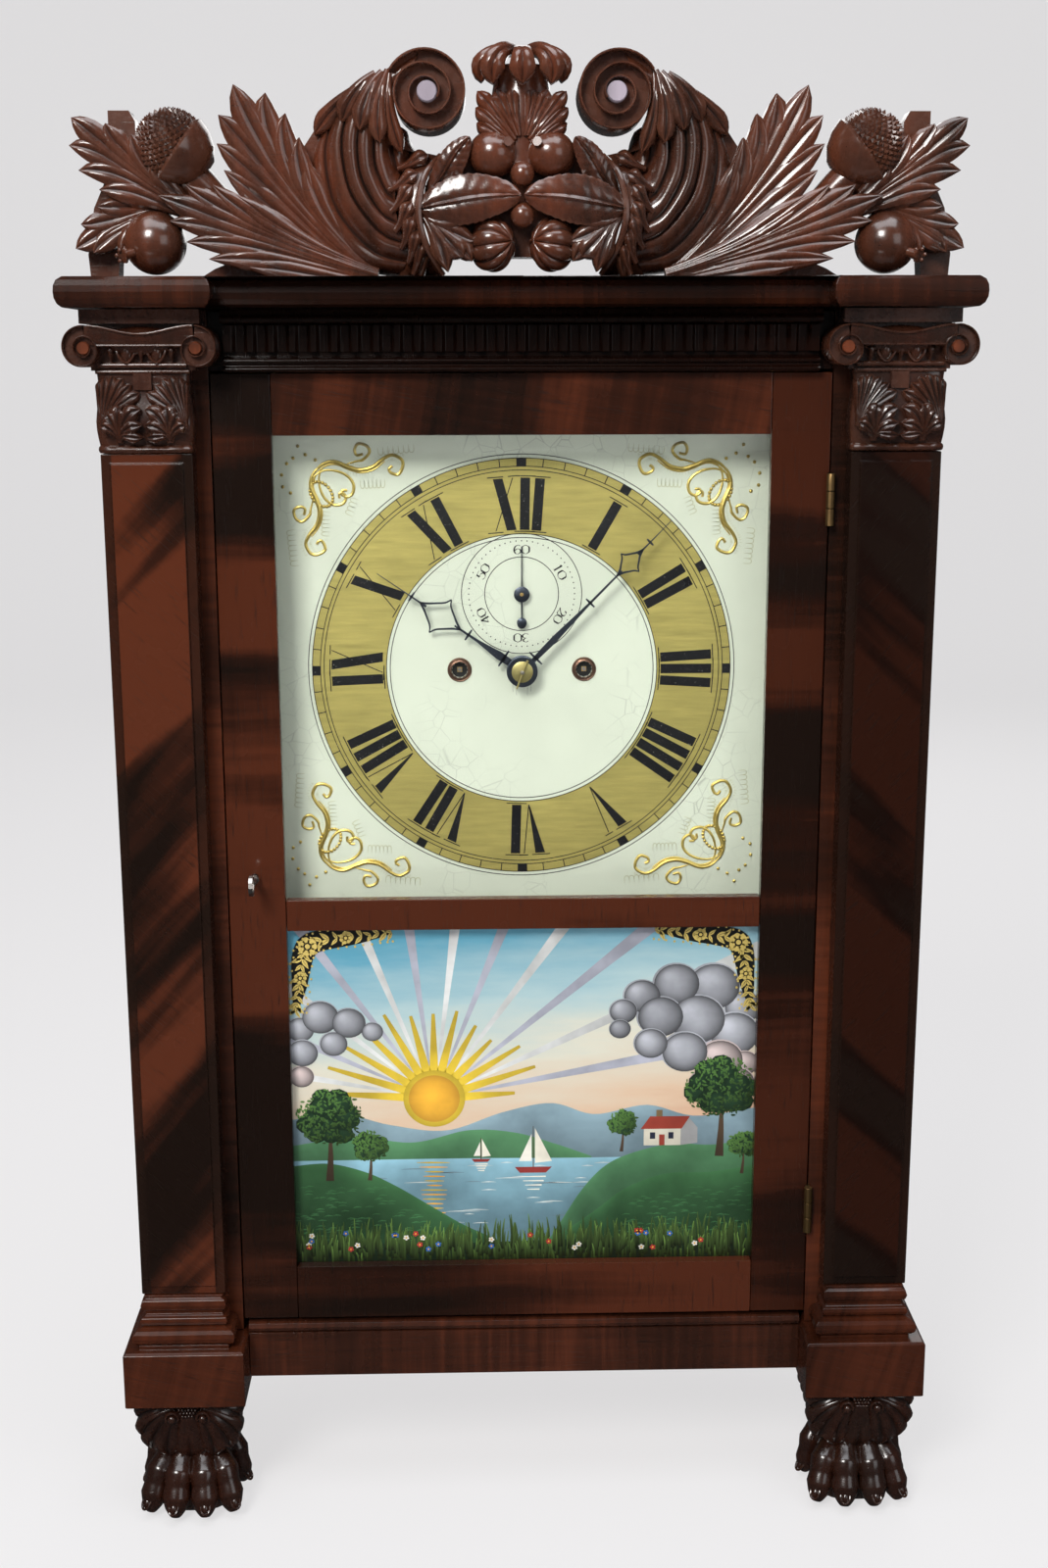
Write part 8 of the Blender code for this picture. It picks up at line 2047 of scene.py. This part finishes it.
def paint_scenery(painter):
    """A lake among hills under a rising sun, with boats, a cottage, trees and clouds, from the back on."""
    marks = PAINT_MARKS
    half_x, half_z = TABLET_HALF
    foot = -half_z
    sun_and_rays(painter, Vector(SUN_PLACE))
    for k, (x, z, radius) in enumerate(CLOUDS):
        puff(painter, x, z, radius, 2 + 0.09 * k, "cloud_warm" if z < WARM_CLOUDS_BELOW else "cloud")
    for layer, name, tints, ridge in (
            (5, "hill_far", (0.85, 0.15), [
                (-half_x, -16), (-118, -12), (-86, -20), (-50, -24), (-14, -12), (18, -6), (46, -14),
                (80, -8), (112, -16), (half_x, -10)]),
            (5.3, "hill_mid", (0.95, 0.1), [
                (-half_x, -34), (-110, -28), (-72, -32), (-36, -24), (-6, -26), (20, -34), (44, -43)]),
            (5.7, "lake", (0.75, 0.15), [(-half_x, -44), (-40, -43.5), (40, -44), (half_x, -43)])):
        painter.bank(ridge, foot, layer, marks[name], tints)
    for k in range(RIPPLES):
        x = -96 + 240 * scatter(k, 0.618)
        z = -46 - 56 * scatter(k, 0.37) ** 1.2
        width = 3 + 9 * scatter(k, 0.271)
        painter.ribbon([(x - width, z), (x, z + 0.3), (x + width, z)], [0.15, 0.7, 0.15], 6,
                       marks["lake_light" if k % 3 else "hill_far"], 7, (0.3, 0.5, 0.3))
    for k in range(SUN_GLINTS):
        width = 12 - 6 * scatter(k, 0.618) - k * 0.3
        points = [(SUN_PLACE[0] - width, -46 - 3.2 * k), (SUN_PLACE[0] + width * 0.8, -46.3 - 3.2 * k)]
        painter.ribbon(points, [0.3, 1.2, 0.3], 6.2, marks["sun" if k % 2 else "ray"], 6, (0.4, 0.6))
    for layer, name, tints, ridge in (
            (6.4, "hill_mid", (0.9, 0.2), [
                (8, -114), (22, -92), (38, -66), (54, -49), (74, -40), (98, -35), (124, -36),
                (half_x, -31)]),
            (6.6, "hill_near", (0.9, 0.1), [
                (-half_x, -48), (-128, -46), (-104, -52), (-84, -62), (-62, -76), (-40, -90),
                (-16, -102), (0, -112)]),
            (6.8, "hill_near", (0.95, 0.1), [
                (4, -110), (26, -96), (48, -80), (66, -66), (92, -56), (122, -55), (half_x, -50)])):
        painter.bank(ridge, foot, layer, marks[name], tints)
    for k in range(BANK_STROKES):
        left = k % 2 == 0
        x = (-150 + 86 * scatter(k, 0.618)) if left else 150 - 92 * scatter(k, 0.618)
        z = -62 - 44 * scatter(k, 0.37)
        if (left and x > -150 + 1.15 * (-50 - z) + 44) or (not left and x < 150 - 1.1 * (-50 - z) - 50):
            continue
        painter.ribbon([(x - 2.6, z), (x, z + 0.7), (x + 3.0, z + 0.3)], [0.2, 0.8, 0.2], 7,
                       marks["hill_near"], 5, (0.4 + 0.6 * scatter(k, 0.271), 0.9))
    sail_boat(painter, 6, -50, 1.35, 7.2)
    sail_boat(painter, -28, -44, 0.7, 7.2)
    cottage(painter, 78, -36, 7.4)
    for x, z, radius, seed in TREES:
        tree_crown(painter, x, z, min(radius, half_x - 0.5 - abs(x)) if radius < 12 else radius, 8, seed)
    paint_grass(painter)


def make_tablet():
    """The door's painted glass: sky ground, painted scenery and gold leaf corners."""
    painter = Painter(TABLET_MIDDLE, TABLET_FRONT_Y + TABLET_SETBACK * MM)
    half_x, half_z = TABLET_HALF
    slab(painter, [(-half_x, -half_z), (half_x, -half_z), (half_x, half_z), (-half_x, half_z)], 0,
         (high("picture_tablet").y - TABLET_FRONT_Y) / MM - TABLET_SETBACK)
    paint_scenery(painter)
    for across in (-1, 1):
        corner_spray(painter, across, 1, 9)
    coats = [sky_paint()]
    for name, colour in TABLET_PAINTS.items():
        coats.append(paint("tablet_" + name, colour, 0.42, 0.30, 60.0, 1.0, bump_depth=0.02 * MM,
                           shaded=True))
    dress(painter.make("painted_tablet", coats, 20), "door", "painted_glass", "picture_tablet")


class OBJECT_OT_clock_tablet(bpy.types.Operator):
    """Paint the door's glass tablet"""

    bl_idname = "object.clock_tablet"
    bl_label = "Painted Tablet"

    def execute(self, context):
        make_tablet()
        return {"FINISHED"}


# Capitals and paw feet: sizes in millimetres, x from the column's middle

RING_SIDES = 48
CAPITAL_BACK_Y = -34.5
BELL_LOW = 696.0
BELL_HEIGHTS = (696.0, 700, 705, 710, 715, 720, 725, 730, 735, 739.5)
BELL_WIDTHS = [27.0, 28.2, 28.4, 27.6, 26.6, 26.4, 27.4]
EYE_REACHES = [13.0, 12.7, 12.0, 11.4, 10.6, 9.4, 8.2, 7.5, 7.0, 6.5, 6.0, 5.6, 5.2, 4.9, 4.6]

# Each ring of the astragal: half width, front and height
ASTRAGAL = ((26.8, -52.2, 691.8), (27.4, -53.4, 692.6), (27.6, -54.2, 694.0), (27.4, -53.6, 695.4),
            (26.6, -52.0, 696.4))
VOLUTE_EYE = (32.0, 751.6)
PAW_BACK_Y = 2.4
TOE_SWELL = (0.72, 0.84, 1.04, 0.86, 0.96, 0.74, 0.30)

# Each toe's root, tip and radius
TOES = (
    ((-14, -36, 40), (-27.5, -57.0, 5.5), 9.2),
    ((-6.5, -40, 41), (-9.8, -62.5, 5.0), 9.8),
    ((6.5, -40, 41), (9.8, -62.5, 5.0), 9.8),
    ((14, -36, 40), (27.0, -56.0, 5.5), 9.2),
    ((21, -18, 40), (30.5, -24.0, 7.5), 7.6),
    ((-21, -18, 40), (-30.5, -24.0, 7.5), 7.6),
)

# Each lobe of the paw's collar: its root and its tip, both across and up, and its width
COLLAR_LOBES = ((3.0, 74, 0.0, 36.5, 10.4), (9, 76, 14.5, 39.0, 9.2), (11, 77, 26.0, 44.5, 8.6),
                (12, 78, 31.0, 56.0, 7.4), (13, 79, 33.0, 69.5, 6.4), (15, 80, 34.2, 78.0, 5.0))

# Each ring of the paw's trunk: height, half width, front and back
TRUNK = ((0.3, 23, -50, PAW_BACK_Y), (6, 26, -54, PAW_BACK_Y), (20, 26.0, -53.5, PAW_BACK_Y),
         (32, 24.5, -49, 0), (42, 24.5, -46, -4), (52, 27, -48, -4), (62, 30, -51, -2),
         (72, 32, -52, 0), (80, 33.5, -52.5, 1), (82.2, 33.5, -52.5, 1))


def squircle(z, half_x, front, back, power):
    """A level ring of a box with rounded corners, squarer as the power grows."""
    middle = (front + back) / 2
    half_y = (back - front) / 2
    ring = []
    for k in range(RING_SIDES):
        c = cos(tau * k / RING_SIDES)
        s = sin(tau * k / RING_SIDES)
        reach = (abs(c) ** power + abs(s) ** power) ** (-1 / power)
        ring.append((half_x * reach * c, middle + half_y * reach * s, z))
    return ring


def box_at(carver, x, y, z):
    """A plain block between pairs of x, y and z."""
    corners = ((x[0], y[0]), (x[1], y[0]), (x[1], y[1]), (x[0], y[1]))
    carver.loft([[(across, along, level) for across, along in corners] for level in z])


def bell_front(z):
    """Depth of the capital's bell at a height."""
    return between([-51.5, -53.5, -54.0, -53.0, -51.8, -51.4, -51.4], (z - 696.5) / 41.5)


def capital_leaf(carver, side):
    """One of the two acanthus leaves of a capital: tall ribs, and a broad fan that curls to the middle."""
    for across, up, width in ((25.6, 733.0, 2.6), (21.5, 735.5, 3.0), (16.5, 736.0, 3.2), (11.0, 734.5, 3.4),
                              (6.5, 731.0, 3.4), (1.8, 726.6, 4.0)):
        path = [(side * 24.0, bell_front(706) - 1.0, 706),
                (side * (18 + 0.30 * across), bell_front(718) - 2.4, 718 + 0.1 * (735 - up)),
                (side * (5 + 0.72 * across), bell_front(727) - 3.0, up - 3.5 + 0.1 * across),
                (side * across, bell_front(up) - 1.2, up)]
        finger(carver, path, width, 2.2, 5.0, 0.5, 0.6, -46.0)
    for across, up, width, bow in ((24.5, 708.0, 4.0, 2.0), (21.0, 714.0, 5.0, 2.0), (12.5, 718.0, 5.6, 0.5),
                                   (0.2, 701.0, 3.4, -1.0), (0.8, 708.0, 4.2, -1.0), (1.2, 717.0, 5.0, -0.5)):
        path = [(side * 14.5, bell_front(698.5) - 1.0, 697.8),
                (side * (14.0 + bow), bell_front(705) - 3.8, 704.5 + 0.1 * (up - 700)),
                (side * (9.0 + 0.5 * across), bell_front(up) - 6.0, up - 0.6),
                (side * across, bell_front(up) - 3.4, up)]
        finger(carver, path, width, 2.6, 6.0, 0.34, 0.55, -46.0)


def capital(carver):
    """Scrolls over eggs and darts, a bell with two leaves, and the astragal."""
    back = CAPITAL_BACK_Y
    box_at(carver, (-34.4, 34.4), (-56.0, back), (765.4, 773.4))
    box_at(carver, (-30, 30), (-49.0, back), (739.0, 766.0))
    ball(carver, (0, -49.5, 755.5), (24, 8.5, 8.5), 14, 32)
    rows = []
    for t in steps(31):
        x = -31 + 62 * t
        dip = cos(pi * x / 62) ** 2
        top = VOLUTE_EYE[1] + 12.6 - 4.6 * dip
        rows.append([Vector((x, -59.4 + 0.9 * s, top + (753.2 - top) * s)) for s in steps(7)])
    carver.patch(rows, lambda p: -50.0)
    lip = [Vector((x, -60.2, VOLUTE_EYE[1] + 12.5 - 4.6 * cos(pi * x / 62) ** 2)) for x in range(-31, 32, 3)]
    rod(carver, lip, [0.75, 0.75], 8, 0, 60)
    rod(carver, [(-25, -59.6, 753.0), (0, -59.6, 753.0), (25, -59.6, 753.0)], [0.6, 0.6], 8)
    for side in (-1, 1):
        scroll(carver, (side * VOLUTE_EYE[0], VOLUTE_EYE[1]),
               EYE_REACHES, 1.75, QUARTER, -side, -61.4, -57.6, back, 3.9, 0.85)
    for k in range(-2, 3):
        x = 8.75 * k
        if k % 2:
            ball(carver, (x, -51.5, 749.4), (3.7, 4.6, 5.6), 14, 20)
            shell = [(x - 5.0, -53.0, 753), (x - 4.6, -54.0, 748), (x, -53.6, 743.4),
                     (x + 4.6, -54.0, 748), (x + 5.0, -53.0, 753)]
            rod(carver, shell, [0.7, 0.9, 0.7], 6)
        else:
            path = [(x, -51.5, 743.6), (x, -55.0, 747), (x, -55.5, 750), (x, -53.0, 753)]
            finger(carver, path, 1.9, 1.6, 3.0, 0.3, 0.0, -49.0)
    rod(carver, [(-25.5, -51.6, 742.0), (0, -51.6, 742.0), (25.5, -51.6, 742.0)], [1.6, 1.6], 10)
    rod(carver, [(-27.0, -51.8, 738.3), (0, -52.6, 738.3), (27.0, -51.8, 738.3)], [1.2, 1.2], 10)
    bell = []
    for z in BELL_HEIGHTS:
        width = between(BELL_WIDTHS, (z - BELL_LOW) / (BELL_HEIGHTS[-1] - BELL_LOW))
        bell.append(squircle(z, width, bell_front(z), back, 7.0))
    carver.loft(bell)
    box_at(carver, (-5.2, 5.2), (-53.4, back), (728.0, 738.5))
    capital_leaf(carver, -1)
    capital_leaf(carver, 1)
    carver.loft([squircle(z, half, front, back, 9.0) for half, front, z in ASTRAGAL])


def toe(carver, root, tip, radius):
    """A toe with two knuckles and an oval claw set in its fold of skin."""
    start = Vector(root)
    end = Vector(tip)
    stations = []
    for share, height in ((0.0, root[2]), (0.34, 33.0), (0.60, 26.0), (0.78, 18.0), (0.90, 10.5),
                          (1.0, tip[2] * 0.75)):
        spot = start.lerp(end, share)
        stations.append(Vector((spot.x, spot.y, height)))
    rod(carver, stations, [radius * share for share in TOE_SWELL], 20, 0, 40, 0.94)
    ahead = Vector((end.x - start.x, end.y - start.y, 0)).normalized()
    side = ahead.cross(Vector((0, 0, 1)))
    out = (ahead * 0.8 + Vector((0, 0, 0.6))).normalized()
    up = side.cross(out).normalized()
    if up.z < 0:
        up = -up
    spot = stations[4].lerp(stations[5], 0.25) + out * radius * 0.66
    fold = [spot + side * 3.0 * sin(tau * t) + up * 4.8 * cos(tau * t) + out * 0.3 for t in steps(25)]
    rod(carver, fold, [0.8, 0.8], 8, 0, 49)
    nail = []
    for reach, lift in ((2.4, -2.5), (2.4, 0.4), (1.9, 1.3), (1.0, 1.8), (0.3, 1.95)):
        nail.append(ring_round(spot + out * lift, up, side, reach * 1.6, reach, 20))
    carver.loft(nail)


def paw_front(z):
    """Depth of the paw's collar at a height."""
    return between([-46.0, -52.0, -56.0, -57.5, -56.5, -55.0], (z - 36) / 46)


def paw(carver):
    """A lion's paw under a collar of hanging leaves, topped by beads and two curled eyes."""
    carver.loft([squircle(z, half, front, back, 3.2) for z, half, front, back in TRUNK])
    for root, tip, radius in TOES:
        toe(carver, root, tip, radius)
    for side in (-1, 1):
        for across, up, tip_across, tip_up, width in reversed(COLLAR_LOBES):
            first = Vector((side * across * 0.7, paw_front(up) + 1.0, up))
            set_back = 1.5 + 0.30 * max(0.0, tip_across - 14)
            last = Vector((side * tip_across, paw_front(tip_up) + set_back, tip_up))
            fall = max(0.0, 1.0 - tip_across / 36)
            bend = Vector((side * (3.5 if tip_across > 5 else 0.0), -4.2, 4.5 * (1 - fall)))
            path = arched(first, last, bend, 0.75, 1.1)
            finger(carver, path, width, 3.4, 7.0, 0.34, 0.7, -40.0)
        ball(carver, (side * 10.0, -59.5, 72.6), (2.6, 2.4, 2.8), 10, 14)
        angles = [radians(200 - 32 * i) for i in range(8)]
        curl = [(side * (10 + 4.0 * cos(a)), -58.6, 72.4 + 4.2 * sin(a)) for a in angles]
        rod(carver, curl, [0.7, 1.1, 0.8], 8)
        for k in range(5):
            path = [(side * (19 + 2.4 * k), -48 + 9.0 * k, 80), (side * (30 + 1.0 * k), -50 + 9 * k, 74),
                    (side * (33.5 + 0.2 * k), -47 + 9 * k, 64), (side * 30.0, -44 + 9 * k, 53 + 3 * k)]
            side_lobe(carver, path, 5.2)
    for row in range(4):
        for column in range(7 - row):
            x = (column - (6 - row) / 2) * 2.1
            ball(carver, (x, paw_front(76) - 2.0, 80.6 - 2.3 * row), (1.05, 1.3, 1.15), 6, 8)


def side_lobe(carver, path, width):
    """A lobe of the collar that hangs on the foot's flank."""
    rings = []
    for t in steps(14):
        place, tangent = bezier(path, t)
        along = Vector((0, 1, 0))
        half = width * finger_width(t, 0.4)
        out = tangent.cross(along).normalized()
        rings.append(ring_round(place, along, out, half, 1.6, 12))
    carver.loft(rings)


def make_columns():
    """The carved capitals and feet of both columns."""
    for name, shape, finish, replaced in (("capitals", capital, "capital", ("left_capital", "right_capital")),
                                          ("paws", paw, "paw", ("left_paw_foot", "right_paw_foot"))):
        carver = Carver((COLUMN_X, 0, 0))
        shape(carver)
        carver.mirror()
        made = carver.make(name, [material(finish), material("eye")])
        dress(made, "case", "mahogany", *replaced)


# Cord falls: a laid cord from the top pulley round the weight's own pulley

CORD_LAY = 6.0
CORD_STRANDS = 3
CORD_STEP = 1.0


def cord_line(cord):
    """Points and normals along a fall in millimetres, from the inner strand's top to the outer one's."""
    small = low(cord) / MM
    large = high(cord) / MM
    radius = (large.y - small.y) / 2
    middle = (small + large) / 2
    turn = (large.x - small.x) / 2 - radius
    bottom = small.z + radius + turn
    straight = int((large.z - bottom) / CORD_STEP)
    heights = [large.z - (large.z - bottom) * k / straight for k in range(straight)]
    line = [(Vector((middle.x - turn, middle.y, z)), Vector((-1, 0, 0))) for z in heights]
    bends = int(pi * turn / CORD_STEP)
    for k in range(bends + 1):
        out = Vector((-cos(pi * k / bends), 0, -sin(pi * k / bends)))
        line.append((Vector((middle.x, middle.y, bottom)) + out * turn, out))
    line += [(Vector((middle.x + turn, middle.y, z)), Vector((1, 0, 0))) for z in reversed(heights)]
    return line, radius


def make_cords():
    """Both cord falls, each a laid cord of strands round its weight's pulley."""
    for side in ("time", "strike"):
        cord = side + "_cord"
        line, radius = cord_line(cord)
        carver = Carver()
        for strand in range(CORD_STRANDS):
            points = []
            for k, (place, out) in enumerate(line):
                turn = tau * (k * CORD_STEP / CORD_LAY + strand / CORD_STRANDS)
                points.append(place + (out * cos(turn) + Vector((0, 1, 0)) * sin(turn)) * radius * 0.5)
            rod(carver, points, [radius * 0.48, radius * 0.48], 5, 0, len(points))
        made = dress(carver.make(side + "_cord_fall", [material("line")]), "case", "cord", cord)
        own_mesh(made)


class OBJECT_OT_clock_cords(bpy.types.Operator):
    """Lay the cord falls of both weights"""

    bl_idname = "object.clock_cords"
    bl_label = "Cord Falls"

    def execute(self, context):
        make_cords()
        return {"FINISHED"}


class OBJECT_OT_clock_columns(bpy.types.Operator):
    """Carve the capitals and the paw feet of the columns"""

    bl_idname = "object.clock_columns"
    bl_label = "Capitals and Paws"

    def execute(self, context):
        make_columns()
        return {"FINISHED"}


OPERATORS = (
    OBJECT_OT_clock_stage,
    OBJECT_OT_clock_case,
    OBJECT_OT_clock_crest,
    OBJECT_OT_clock_columns,
    OBJECT_OT_clock_cords,
    OBJECT_OT_clock_dial,
    OBJECT_OT_clock_tablet,
)


class VIEW3D_PT_clock(bpy.types.Panel):
    """Sizes, colours and making steps of the clock"""

    bl_idname = "VIEW3D_PT_clock"
    bl_label = "Carved Shelf Clock"
    bl_space_type = "VIEW_3D"
    bl_region_type = "UI"
    bl_category = "Clock"

    def draw(self, context):
        layout = self.layout
        for settings in (context.scene.clock_finishes, context.scene.clock_sizes):
            for label in settings.bl_rna.properties.keys():
                if label not in ("rna_type", "name"):
                    layout.prop(settings, label)
        for operator in OPERATORS:
            layout.operator(operator.bl_idname)


SETTINGS = (ClockFinishes, ClockSizes)


def register():
    """Register the add-on and hang its settings on the scene."""
    for made in (*SETTINGS, *OPERATORS, VIEW3D_PT_clock):
        bpy.utils.register_class(made)
    bpy.types.Scene.clock_finishes = PointerProperty(type=ClockFinishes)
    bpy.types.Scene.clock_sizes = PointerProperty(type=ClockSizes)


def unregister():
    del bpy.types.Scene.clock_sizes
    del bpy.types.Scene.clock_finishes
    for made in reversed((*SETTINGS, *OPERATORS, VIEW3D_PT_clock)):
        bpy.utils.unregister_class(made)


def clear_defaults():
    """Remove Blender's own start objects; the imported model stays."""
    for name in ("Cube", "Light", "Camera"):
        found = bpy.data.objects.get(name)
        if found and "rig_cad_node" not in found:
            bpy.data.objects.remove(found)


def main():
    """Make the clock step by step."""
    register()
    clear_defaults()
    for operator in OPERATORS:
        area, step = operator.bl_idname.split(".")
        getattr(getattr(bpy.ops, area), step)()


if __name__ == "__main__":
    main()
